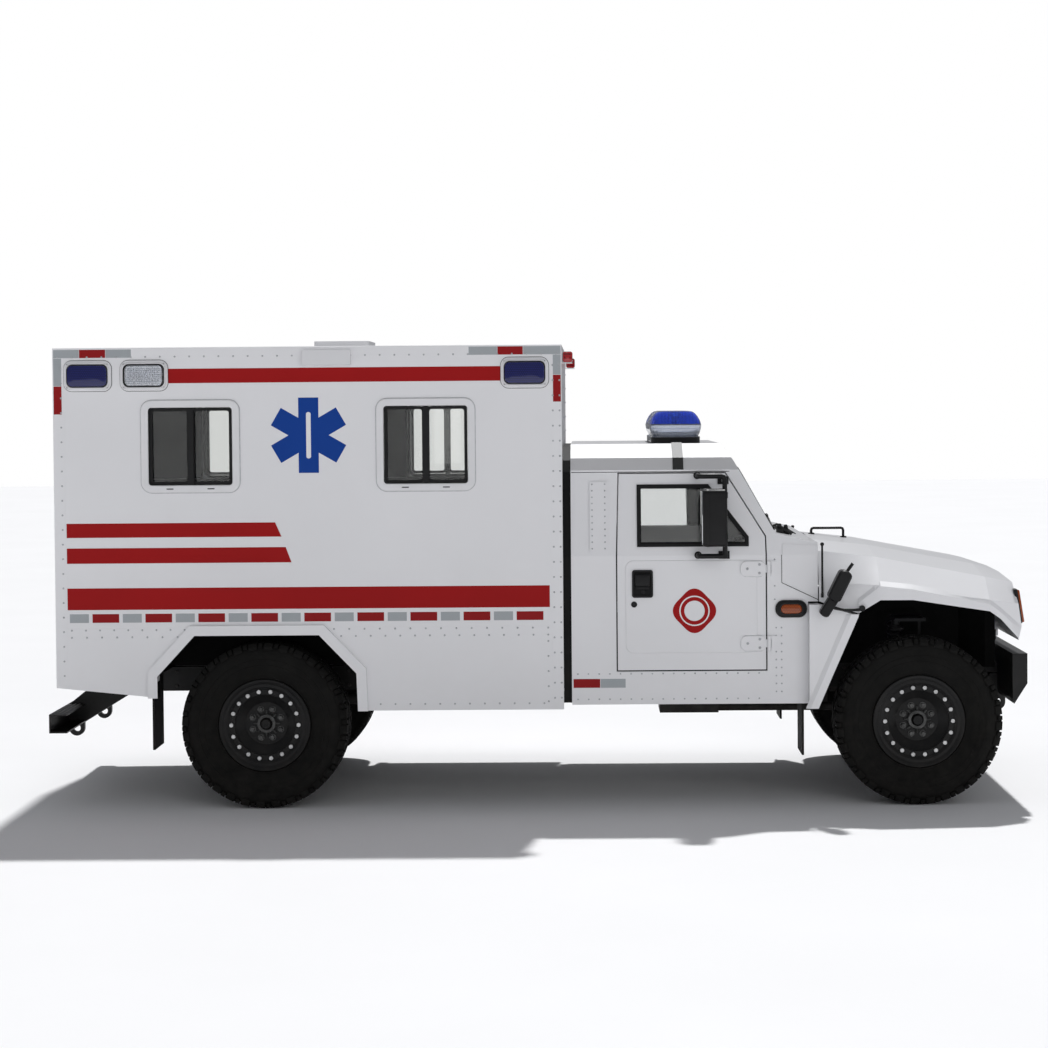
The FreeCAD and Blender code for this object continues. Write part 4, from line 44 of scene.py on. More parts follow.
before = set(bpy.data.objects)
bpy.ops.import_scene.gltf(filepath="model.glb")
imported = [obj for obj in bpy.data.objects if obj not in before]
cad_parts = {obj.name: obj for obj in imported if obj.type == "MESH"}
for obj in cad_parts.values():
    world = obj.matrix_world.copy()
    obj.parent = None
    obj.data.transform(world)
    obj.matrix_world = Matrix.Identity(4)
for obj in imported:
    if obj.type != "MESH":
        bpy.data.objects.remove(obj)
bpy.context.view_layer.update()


def middle_of(node):
    """The centre of a CAD node's box."""
    low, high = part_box(node)
    return (low + high) / 2


# Places that the pieces follow, taken from the model.
REAR_AXLE = middle_of("tyre_rear_right").x
FRONT_AXLE = middle_of("tyre_front_right").x
WHEEL_HALF = abs(middle_of("tyre_rear_right").y)
HUB = middle_of("tyre_rear_right").z
BOX_LOW, BOX_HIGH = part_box("box_side_walls")
WALL_Y = BOX_HIGH.y
# The cab's section: its flat side, then its lean from the belt line to the gutter.
CAB_HALF, BELT, GUTTER_HALF, GUTTER = 1.010, 1.410, 0.936, 1.889
# The face of the raised panels on the doors.
DOOR_FACE = CAB_HALF + 0.004
SIDES = (("right", -1), ("left", 1))
WHEELS = tuple(
    (end, word, axle, side)
    for end, axle in (("front", FRONT_AXLE), ("rear", REAR_AXLE))
    for word, side in SIDES
)


def station(distance):
    """X of a point that lies so far ahead of the rear axle."""
    return REAR_AXLE + distance


def cab_skin(height):
    """Half width of the cab's outer skin at a height."""
    lean = (CAB_HALF - GUTTER_HALF) / (GUTTER - BELT)
    return CAB_HALF - max(0.0, height - BELT) * lean


# ---------------------------------------------------------------- user settings


class AmbulancePaint(PropertyGroup):
    """Colours of paint, films and lenses."""

    body: FloatVectorProperty(
        name="Body paint", description="White paint of box, cab and bonnet",
        default=(0.80, 0.80, 0.82), subtype="COLOR", min=0, max=1,
    )
    stripe: FloatVectorProperty(
        name="Stripe", description="Red film of the stripes",
        default=(0.34, 0.004, 0.005), subtype="COLOR", min=0, max=1,
    )
    star: FloatVectorProperty(
        name="Star", description="Blue film of the six-armed star",
        default=(0.003, 0.048, 0.29), subtype="COLOR", min=0, max=1,
    )
    lens: FloatVectorProperty(
        name="Warning lens", description="Blue of the warning lamps",
        default=(0.008, 0.012, 0.13), subtype="COLOR", min=0, max=1,
    )
    dust: FloatProperty(
        name="Road dust", description="How much dust lies on the lower panels and tyres",
        default=0.14, min=0, max=1, subtype="FACTOR",
    )


class AmbulanceDetails(PropertyGroup):
    """Sizes of the small pieces."""

    film: FloatProperty(
        name="Film thickness", description="Thickness of stripes and tapes",
        default=0.0008, unit="LENGTH",
    )
    rivet_radius: FloatProperty(
        name="Rivet radius", description="Radius of a rivet's head", default=0.0058, unit="LENGTH",
    )
    rivet_pitch: FloatProperty(
        name="Rivet pitch", description="Distance between rivets on the load box",
        default=0.083, unit="LENGTH",
    )
    tread_pitches: IntProperty(
        name="Tread pitches", description="How often the tread pattern repeats round a tyre",
        default=32, min=12, max=60,
    )
    groove: FloatProperty(
        name="Tread depth", description="Depth of the tread's grooves", default=0.015, unit="LENGTH",
    )


class AmbulanceStage(PropertyGroup):
    """Floor and light."""

    floor: FloatProperty(
        name="Floor shade", description="Grey value of the floor", default=0.86, min=0, max=1,
    )
    key: FloatProperty(
        name="Key light", description="Strength of the sun above and behind the vehicle",
        default=2.92, min=0,
    )
    fill: FloatProperty(
        name="Sky light", description="Strength of the even light from all round", default=0.25, min=0,
    )
    front: FloatProperty(
        name="Front light", description="Strength of the wide low light from the camera's side", default=0.88, min=0,
    )


# ---------------------------------------------------------------- mesh helpers


def along(axis, flat, height):
    """A point from two flat coordinates and a height along an axis."""
    across, up = flat
    if axis == "Y":
        return Vector((across, height, up))
    if axis == "X":
        return Vector((height, across, up))
    return Vector((across, up, height))


def add_prism(bm, corners, low, high, axis="Y"):
    """Adds a closed prism over flat corners; low and high may be functions of a corner."""
    def at(level, corner):
        return level(corner) if callable(level) else level

    base = [bm.verts.new(along(axis, c, at(low, c))) for c in corners]
    top = [bm.verts.new(along(axis, c, at(high, c))) for c in corners]
    count = len(corners)
    bm.faces.new(base)
    bm.faces.new(list(reversed(top)))
    for i in range(count):
        j = (i + 1) % count
        bm.faces.new([base[j], base[i], top[i], top[j]])
    return base + top


def add_block(bm, low, high):
    """Adds a block between two corners."""
    corners = [(low[0], low[2]), (high[0], low[2]), (high[0], high[2]), (low[0], high[2])]
    return add_prism(bm, corners, low[1], high[1])


def add_ring(bm, outer, inner, low, high, axis="Y"):
    """Adds a closed frame between two outlines of equal length."""
    def at(level, corner):
        return level(corner) if callable(level) else level

    loops = [
        [bm.verts.new(along(axis, c, at(level, c))) for c in line]
        for line, level in ((outer, low), (outer, high), (inner, high), (inner, low))
    ]
    count = len(outer)
    for a in range(4):
        first, second = loops[a], loops[(a + 1) % 4]
        for i in range(count):
            j = (i + 1) % count
            bm.faces.new([first[i], first[j], second[j], second[i]])


def add_lathe(bm, profile, centre, steps, axis="Y", closed=True):
    """Turns (reach, radius) points about an axis through a centre."""
    rings = []
    for reach, radius in profile:
        ring = []
        for k in range(steps):
            angle = 2 * math.pi * k / steps
            turn = (radius * math.cos(angle), radius * math.sin(angle))
            ring.append(bm.verts.new(Vector(centre) + along(axis, turn, reach)))
        rings.append(ring)
    spans = len(rings) if closed else len(rings) - 1
    for a in range(spans):
        first, second = rings[a], rings[(a + 1) % len(rings)]
        for k in range(steps):
            j = (k + 1) % steps
            bm.faces.new([first[k], first[j], second[j], second[k]])
    if not closed:
        bm.faces.new(rings[0])
        bm.faces.new(list(reversed(rings[-1])))


def add_tube(bm, path, radius, steps=10):
    """Adds a round bar along a path of points, with flat ends."""
    points = [Vector(p) for p in path]
    rings = []
    side = None
    for i, point in enumerate(points):
        ahead = points[min(i + 1, len(points) - 1)] - point
        behind = point - points[max(i - 1, 0)]
        way = (ahead.normalized() + behind.normalized()).normalized()
        if side is None:
            side = way.orthogonal().normalized()
        side = (side - way * side.dot(way)).normalized()
        other = way.cross(side)
        rings.append([
            bm.verts.new(point + (side * math.cos(a) + other * math.sin(a)) * radius)
            for a in (2 * math.pi * k / steps for k in range(steps))
        ])
    for first, second in zip(rings, rings[1:]):
        for k in range(steps):
            j = (k + 1) % steps
            bm.faces.new([first[k], first[j], second[j], second[k]])
    bm.faces.new(list(reversed(rings[0])))
    bm.faces.new(rings[-1])


def rounded(low, high, radius, steps=6):
    """Corners of a rectangle with round corners."""
    points = []
    turns = ((high[0], high[1], 0), (low[0], high[1], 1), (low[0], low[1], 2), (high[0], low[1], 3))
    for x, z, quarter in turns:
        cx = x - radius if x == high[0] else x + radius
        cz = z - radius if z == high[1] else z + radius
        for k in range(steps + 1):
            angle = math.pi / 2 * (quarter + k / steps)
            points.append((cx + radius * math.cos(angle), cz + radius * math.sin(angle)))
    return points


def circle(centre, radius, steps=24):
    """Points round a circle."""
    return [
        (centre[0] + radius * math.cos(2 * math.pi * k / steps), centre[1] + radius * math.sin(2 * math.pi * k / steps))
        for k in range(steps)
    ]


def mirror_over(bm):
    """Adds the left-hand copy of everything in a mesh."""
    made = bmesh.ops.duplicate(bm, geom=bm.verts[:] + bm.edges[:] + bm.faces[:])["geom"]
    verts = [item for item in made if isinstance(item, bmesh.types.BMVert)]
    bmesh.ops.scale(bm, vec=(1, -1, 1), verts=verts)


def soften(bm, width, segments=2):
    """Rounds a mesh's sharp edges."""
    bm.normal_update()
    sharp = [e for e in bm.edges if len(e.link_faces) == 2 and e.calc_face_angle(0) > 0.5]
    bmesh.ops.bevel(bm, geom=sharp, offset=width, segments=segments, profile=0.6, affect="EDGES", clamp_overlap=True)


def make_piece(name, bm, material, body, smooth=True, angle=35, mirror=False):
    """Turns a mesh under construction into a finished piece on a body."""
    if mirror:
        mirror_over(bm)
    bmesh.ops.recalc_face_normals(bm, faces=bm.faces)
    mesh = bpy.data.meshes.new(name)
    bm.to_mesh(mesh)
    bm.free()
    return finish_mesh(name, mesh, material, body, smooth, angle)


def finish_mesh(name, mesh, material, body, smooth=True, angle=35):
    """Links a mesh as a piece, with its material and body."""
    if smooth:
        mesh.shade_smooth()
        mesh.set_sharp_from_angle(angle=math.radians(angle))
    piece = bpy.data.objects.new(name, mesh)
    bpy.context.scene.collection.objects.link(piece)
    mesh.materials.clear()
    mesh.materials.append(finish(material))
    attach(piece, body)
    return piece


# ---------------------------------------------------------------- geometry nodes


class Growth:
    """A geometry node tree with named sizes that ends in real, painted mesh."""

    def __init__(self, name, sizes):
        self.tree = bpy.data.node_groups.new(name, "GeometryNodeTree")
        sockets = self.tree.interface
        sockets.new_socket("Geometry", in_out="INPUT", socket_type="NodeSocketGeometry")
        self.keys = {}
        for label, (kind, default) in sizes.items():
            item = sockets.new_socket(label, in_out="INPUT", socket_type="NodeSocket" + kind)
            item.default_value = default
            self.keys[label] = item.identifier
        item = sockets.new_socket("Finish", in_out="INPUT", socket_type="NodeSocketMaterial")
        self.keys["Finish"] = item.identifier
        sockets.new_socket("Geometry", in_out="OUTPUT", socket_type="NodeSocketGeometry")
        self.inputs = self.tree.nodes.new("NodeGroupInput")
        self.outputs = self.tree.nodes.new("NodeGroupOutput")

    def node(self, kind, links=None, **settings):
        """Adds a node; links maps its input names or numbers to sockets or values."""
        item = self.tree.nodes.new(kind)
        for key, value in settings.items():
            setattr(item, key, value)
        for key, value in (links or {}).items():
            if isinstance(value, bpy.types.NodeSocket):
                self.tree.links.new(value, item.inputs[key])
            else:
                item.inputs[key].default_value = value
        return item

    def close(self, geometry, smooth=True):
        """Makes instances real, shades them and paints them."""
        real = self.node("GeometryNodeRealizeInstances", {"Geometry": geometry})
        shade = self.node("GeometryNodeSetShadeSmooth", {"Geometry": real.outputs[0], "Shade Smooth": smooth})
        paint = self.node(
            "GeometryNodeSetMaterial", {"Geometry": shade.outputs[0], "Material": self.inputs.outputs["Finish"]}
        )
        self.tree.links.new(paint.outputs[0], self.outputs.inputs["Geometry"])

    def grow(self, name, seed, sizes, material, body, slot, angle=35):
        """Runs the tree on a seed mesh and returns the plain piece that it makes."""
        holder = bpy.data.objects.new(name + "_seed", seed)
        bpy.context.scene.collection.objects.link(holder)
        modifier = holder.modifiers.new("Growth", "NODES")
        modifier.node_group = self.tree
        for label, value in sizes.items():
            modifier[self.keys[label]] = value
        modifier[self.keys["Finish"]] = finish(material)
        bpy.context.view_layer.update()
        graph = bpy.context.evaluated_depsgraph_get()
        mesh = bpy.data.meshes.new_from_object(holder.evaluated_get(graph))
        bpy.data.objects.remove(holder)
        mesh.name = name
        for label in ("facing", "size", "turn"):
            if label in mesh.attributes:
                mesh.attributes.remove(mesh.attributes[label])
        return finish_mesh(name, mesh, material, body, angle=angle)


GROWTHS = {}


def seed_points(points):
    """A mesh of loose points; each has a place, and may have a facing, a size and a turn."""
    mesh = bpy.data.meshes.new("seed")
    mesh.from_pydata([p[0] for p in points], [], [])
    for slot, label in enumerate(("facing", "size", "turn"), 1):
        if points and len(points[0]) > slot:
            layer = mesh.attributes.new(label, "FLOAT_VECTOR", "POINT")
            for i, point in enumerate(points):
                layer.data[i].vector = point[slot]
    return mesh


def head_growth():
    """Round or many-sided heads that stand on a surface, such as rivets, bolts and lamps' cells."""
    g = Growth("Heads on points", {
        "Radius": ("Float", 0.006), "Rise": ("Float", 0.003), "Top share": ("Float", 0.6), "Corners": ("Int", 10),
    })
    put = g.inputs.outputs
    top = g.node("ShaderNodeMath", {0: put["Radius"], 1: put["Top share"]}, operation="MULTIPLY")
    head = g.node("GeometryNodeMeshCone", {
        "Vertices": put["Corners"], "Radius Top": top.outputs[0], "Radius Bottom": put["Radius"], "Depth": put["Rise"],
    })
    facing = g.node("GeometryNodeInputNamedAttribute", {"Name": "facing"}, data_type="FLOAT_VECTOR")
    turn = g.node("FunctionNodeAlignRotationToVector", {"Vector": facing.outputs[0]}, axis="Z")
    heads = g.node("GeometryNodeInstanceOnPoints", {
        "Points": put["Geometry"], "Instance": head.outputs["Mesh"], "Rotation": turn.outputs[0],
    })
    g.close(heads.outputs[0])
    return g


def bar_growth():
    """Bars of their own size and turn on points, such as slats, ribs, cells and steps."""
    g = Growth("Bars on points", {"Edge": ("Float", 0.0)})
    put = g.inputs.outputs
    bar = g.node("GeometryNodeMeshCube", {"Size": (1.0, 1.0, 1.0)})
    size = g.node("GeometryNodeInputNamedAttribute", {"Name": "size"}, data_type="FLOAT_VECTOR")
    trim = g.node("ShaderNodeVectorMath", {0: size.outputs[0], 1: put["Edge"]}, operation="SUBTRACT")
    turn = g.node("GeometryNodeInputNamedAttribute", {"Name": "turn"}, data_type="FLOAT_VECTOR")
    angle = g.node("FunctionNodeEulerToRotation", {0: turn.outputs[0]})
    bars = g.node("GeometryNodeInstanceOnPoints", {
        "Points": put["Geometry"], "Instance": bar.outputs["Mesh"],
        "Rotation": angle.outputs[0], "Scale": trim.outputs[0],
    })
    g.close(bars.outputs[0], smooth=False)
    return g


def wheel_growth():
    """Repeats a shape round a wheel's axle."""
    g = Growth("Round an axle", {"Count": ("Int", 18), "Centre": ("Vector", (0, 0, 0)), "Start": ("Float", 0.0)})
    put = g.inputs.outputs
    points = g.node("GeometryNodePoints", {"Count": put["Count"], "Position": put["Centre"]})
    index = g.node("GeometryNodeInputIndex")
    part = g.node("ShaderNodeMath", {0: index.outputs[0], 1: put["Count"]}, operation="DIVIDE")
    angle = g.node("ShaderNodeMath", {0: part.outputs[0], 1: 2 * math.pi, 2: put["Start"]}, operation="MULTIPLY_ADD")
    turn = g.node("ShaderNodeCombineXYZ", {"Y": angle.outputs[0]})
    rotation = g.node("FunctionNodeEulerToRotation", {0: turn.outputs[0]})
    copies = g.node("GeometryNodeInstanceOnPoints", {
        "Points": points.outputs[0], "Instance": put["Geometry"], "Rotation": rotation.outputs[0],
    })
    g.close(copies.outputs[0])
    return g


def coil_growth():
    """Coil springs that stand on points."""
    g = Growth("Coil springs", {
        "Turns": ("Float", 7.0), "Coil radius": ("Float", 0.05), "Wire radius": ("Float", 0.006),
        "Height": ("Float", 0.3),
    })
    put = g.inputs.outputs
    coil = g.node("GeometryNodeCurveSpiral", {
        "Resolution": 20, "Rotations": put["Turns"], "Start Radius": put["Coil radius"],
        "End Radius": put["Coil radius"], "Height": put["Height"],
    })
    wire = g.node("GeometryNodeCurvePrimitiveCircle", {"Resolution": 8, "Radius": put["Wire radius"]})
    body = g.node("GeometryNodeCurveToMesh", {
        "Curve": coil.outputs[0], "Profile Curve": wire.outputs[0], "Fill Caps": True,
    })
    coils = g.node("GeometryNodeInstanceOnPoints", {"Points": put["Geometry"], "Instance": body.outputs[0]})
    g.close(coils.outputs[0])
    return g


def growth(kind):
    """Each tree is made once and used again."""
    makers = {"heads": head_growth, "bars": bar_growth, "wheel": wheel_growth, "coils": coil_growth}
    if kind not in GROWTHS:
        GROWTHS[kind] = makers[kind]()
    return GROWTHS[kind]


def heads(name, points, radius, rise, material, body, slot, share=0.6, corners=10, angle=35):
    """Places heads on points that are (place, facing) pairs."""
    sizes = {"Radius": radius, "Rise": rise, "Top share": share, "Corners": corners}
    return growth("heads").grow(name, seed_points(points), sizes, material, body, slot, angle)


def bars(name, rows, material, body, slot):
    """Places bars given as (centre, size, turn) rows."""
    points = [(centre, (0, 0, 1), size, turn) for centre, size, turn in rows]
    return growth("bars").grow(name, seed_points(points), {"Edge": 0.0}, material, body, slot)


def line_points(start, end, pitch):
    """Evenly spaced points from start to end, about a pitch apart."""
    start, end = Vector(start), Vector(end)
    count = max(1, round((end - start).length / pitch))
    return [start.lerp(end, k / count) for k in range(count + 1)]


# ---------------------------------------------------------------- shader groups


def shader_group(name, sizes, results):
    """An empty shader node group with named inputs and outputs."""
    tree = bpy.data.node_groups.new(name, "ShaderNodeTree")
    for label, (kind, default) in sizes.items():
        item = tree.interface.new_socket(label, in_out="INPUT", socket_type="NodeSocket" + kind)
        item.default_value = default
    for label, kind in results.items():
        tree.interface.new_socket(label, in_out="OUTPUT", socket_type="NodeSocket" + kind)
    return tree, tree.nodes.new("NodeGroupInput"), tree.nodes.new("NodeGroupOutput")


def wire(tree, kind, links=None, **settings):
    """Adds a shader node; links maps its inputs to sockets or values."""
    item = tree.nodes.new(kind)
    for key, value in settings.items():
        setattr(item, key, value)
    for key, value in (links or {}).items():
        if isinstance(value, bpy.types.NodeSocket):
            tree.links.new(value, item.inputs[key])
        else:
            item.inputs[key].default_value = value
    return item


def object_point(tree):
    """Object coordinates."""
    return wire(tree, "ShaderNodeTexCoord").outputs["Object"]


def dust_group():
    """Dust that thickens towards the ground, broken up by noise."""
    tree, put, out = shader_group(
        "Road dust",
        {"Clean": ("Color", (0.8, 0.8, 0.8, 1)), "Dust": ("Color", (0.36, 0.31, 0.25, 1)), "Amount": ("Float", 0.4),
         "Top": ("Float", 1.2), "Bottom": ("Float", 0.4), "Scale": ("Float", 6.0)},
        {"Colour": "Color", "Mask": "Float"},
    )
    point = object_point(tree)
    height = wire(tree, "ShaderNodeSeparateXYZ", {0: point}).outputs["Z"]
    fall = wire(tree, "ShaderNodeMapRange", {
        "Value": height, "From Min": put.outputs["Top"], "From Max": put.outputs["Bottom"],
    })
    noise = wire(tree, "ShaderNodeTexNoise", {
        "Vector": point, "Scale": put.outputs["Scale"], "Detail": 6.0, "Roughness": 0.65,
    })
    spots = wire(tree, "ShaderNodeMapRange", {"Value": noise.outputs[0], "From Min": 0.35, "From Max": 0.75})
    both = wire(tree, "ShaderNodeMath", {0: fall.outputs[0], 1: spots.outputs[0]}, operation="MULTIPLY")
    mask = wire(
        tree, "ShaderNodeMath", {0: both.outputs[0], 1: put.outputs["Amount"]}, operation="MULTIPLY", use_clamp=True
    )
    mix = wire(tree, "ShaderNodeMix", {
        "Factor": mask.outputs[0], 6: put.outputs["Clean"], 7: put.outputs["Dust"],
    }, data_type="RGBA")
    tree.links.new(mix.outputs[2], out.inputs["Colour"])
    tree.links.new(mask.outputs[0], out.inputs["Mask"])
    return tree


def shade_group():
    """Large soft patches that make one colour a little lighter and darker."""
    tree, put, out = shader_group(
        "Uneven tone",
        {"Colour": ("Color", (0.5, 0.5, 0.5, 1)), "Scale": ("Float", 3.0), "Change": ("Float", 0.1)},
        {"Colour": "Color", "Value": "Float"},
    )
    noise = wire(tree, "ShaderNodeTexNoise", {
        "Vector": object_point(tree), "Scale": put.outputs["Scale"], "Detail": 5.0,
    })
    low = wire(tree, "ShaderNodeMath", {0: 1.0, 1: put.outputs["Change"]}, operation="SUBTRACT")
    high = wire(tree, "ShaderNodeMath", {0: 1.0, 1: put.outputs["Change"]}, operation="ADD")
    level = wire(tree, "ShaderNodeMapRange", {
        "Value": noise.outputs[0], "From Min": 0.3, "From Max": 0.7,
        "To Min": low.outputs[0], "To Max": high.outputs[0],
    })
    tone = wire(tree, "ShaderNodeVectorMath", {0: put.outputs["Colour"], "Scale": level.outputs[0]}, operation="SCALE")
    tree.links.new(tone.outputs[0], out.inputs["Colour"])
    tree.links.new(noise.outputs[0], out.inputs["Value"])
    return tree


def grain_group():
    """Fine grain for moulded plastic, cast iron, rubber and paint."""
    tree, put, out = shader_group(
        "Fine grain",
        {"Scale": ("Float", 900.0), "Sharpness": ("Float", 0.5), "Stretch": ("Vector", (1, 1, 1))},
        {"Height": "Float"},
    )
    spread = wire(
        tree, "ShaderNodeVectorMath", {0: object_point(tree), 1: put.outputs["Stretch"]}, operation="MULTIPLY"
    )
    noise = wire(tree, "ShaderNodeTexNoise", {
        "Vector": spread.outputs[0], "Scale": put.outputs["Scale"], "Detail": 3.0,
        "Roughness": put.outputs["Sharpness"],
    })
    tree.links.new(noise.outputs[0], out.inputs["Height"])
    return tree


def cell_group():
    """Rows of small cells on a side wall, as in reflective film and lamp lenses."""
    tree, put, out = shader_group(
        "Cells",
        {"Width": ("Float", 0.008), "Height": ("Float", 0.008), "Line": ("Float", 0.08), "Swap": ("Float", 0.0)},
        {"Mask": "Float", "Shade": "Float"},
    )
    parts = wire(tree, "ShaderNodeSeparateXYZ", {0: object_point(tree)})
    across = wire(tree, "ShaderNodeMix", {"Factor": put.outputs["Swap"], 2: parts.outputs["X"], 3: parts.outputs["Y"]})
    flat = wire(tree, "ShaderNodeCombineXYZ", {"X": across.outputs[0], "Y": parts.outputs["Z"]})
    brick = wire(tree, "ShaderNodeTexBrick", {
        "Vector": flat.outputs[0], "Scale": 1.0, "Mortar Size": 0.0006, "Mortar Smooth": 0.2,
        "Brick Width": put.outputs["Width"], "Row Height": put.outputs["Height"],
        "Color1": (1, 1, 1, 1), "Color2": (0.8, 0.8, 0.8, 1), "Mortar": (0, 0, 0, 1),
    })
    thin = wire(tree, "ShaderNodeMath", {0: put.outputs["Height"], 1: put.outputs["Line"]}, operation="MULTIPLY")
    tree.links.new(thin.outputs[0], brick.inputs["Mortar Size"])
    tree.links.new(brick.outputs["Fac"], out.inputs["Mask"])
    tree.links.new(brick.outputs["Color"], out.inputs["Shade"])
    return tree


def weave_group():
    """Over-and-under threads of upholstery cloth."""
    tree, put, out = shader_group("Weave", {"Scale": ("Float", 420.0)}, {"Height": "Float"})
    point = object_point(tree)
    waves = []
    for axis in ("X", "Y"):
        wave = wire(tree, "ShaderNodeTexWave", {
            "Vector": point, "Scale": put.outputs["Scale"], "Distortion": 0.6, "Detail": 1.0,
        }, wave_type="BANDS", bands_direction=axis)
        waves.append(wave.outputs["Fac"])
    cross = wire(tree, "ShaderNodeMath", {0: waves[0], 1: waves[1]}, operation="MAXIMUM")
    tree.links.new(cross.outputs[0], out.inputs["Height"])
    return tree


SHARED = {}
SHARED_MAKERS = {
    "dust": dust_group, "shade": shade_group, "grain": grain_group, "cells": cell_group, "weave": weave_group,
}


class Finish:
    """One material: a Principled shader and the effects that feed it."""

    def __init__(self, name, colour, roughness, metallic=0.0, **sockets):
        self.material = bpy.data.materials.new(name)
        self.material.use_nodes = True
        self.tree = self.material.node_tree
        self.shader = self.tree.nodes["Principled BSDF"]
        self.shader.inputs["Base Color"].default_value = (*colour, 1)
        self.shader.inputs["Roughness"].default_value = roughness
        self.shader.inputs["Metallic"].default_value = metallic
        for label, value in sockets.items():
            self.shader.inputs[label.replace("_", " ").title().replace("Ior", "IOR")].default_value = value
        self.colour = None
        self.base = (*colour, 1)

    def add(self, kind, **values):
        """Places a shared effect with its own values."""
        if kind not in SHARED:
            SHARED[kind] = SHARED_MAKERS[kind]()
        item = self.tree.nodes.new("ShaderNodeGroup")
        item.node_tree = SHARED[kind]
        for label, value in values.items():
            item.inputs[label].default_value = value
        return item

    def tone(self, scale=3.0, change=0.1):
        """Breaks the colour up."""
        item = self.add("shade", Scale=scale, Change=change)
        if self.colour:
            self.tree.links.new(self.colour, item.inputs["Colour"])
        else:
            item.inputs["Colour"].default_value = self.base
        self.colour = item.outputs["Colour"]
        self.tree.links.new(self.colour, self.shader.inputs["Base Color"])
        return self

    def dust(self, amount, top=1.2, bottom=0.4, scale=6.0, colour=(0.36, 0.31, 0.25, 1), rough=0.7):
        """Lays road dust over the colour and dulls it."""
        item = self.add("dust", Amount=amount, Top=top, Bottom=bottom, Scale=scale, Dust=colour)
        if self.colour:
            self.tree.links.new(self.colour, item.inputs["Clean"])
        else:
            item.inputs["Clean"].default_value = self.base
        self.colour = item.outputs["Colour"]
        self.tree.links.new(self.colour, self.shader.inputs["Base Color"])
        dull = wire(self.tree, "ShaderNodeMapRange", {
            "Value": item.outputs["Mask"], "To Min": self.shader.inputs["Roughness"].default_value, "To Max": rough,
        })
        self.tree.links.new(dull.outputs[0], self.shader.inputs["Roughness"])
        return self

    def bump(self, kind, strength, distance=0.001, **values):
        """Raises the surface by a shared effect's height."""
        item = self.add(kind, **values)
        height = item.outputs["Height"] if "Height" in item.outputs else item.outputs["Mask"]
        rise = wire(self.tree, "ShaderNodeBump", {"Strength": strength, "Distance": distance, "Height": height})
        self.tree.links.new(rise.outputs[0], self.shader.inputs["Normal"])
        return self

    def cells(self, dark, width, height, line=0.1, swap=0.0):
        """Draws cell borders in a darker colour."""
        item = self.add("cells", Width=width, Height=height, Line=line, Swap=swap)
        mix = wire(self.tree, "ShaderNodeMix", {
            "Factor": item.outputs["Mask"], 6: self.base, 7: (*dark, 1),
        }, data_type="RGBA")
        self.colour = mix.outputs[2]
        self.tree.links.new(self.colour, self.shader.inputs["Base Color"])
        rise = wire(self.tree, "ShaderNodeBump", {
            "Strength": 0.3, "Distance": 0.0005, "Height": item.outputs["Mask"],
        })
        self.tree.links.new(rise.outputs[0], self.shader.inputs["Normal"])
        return self


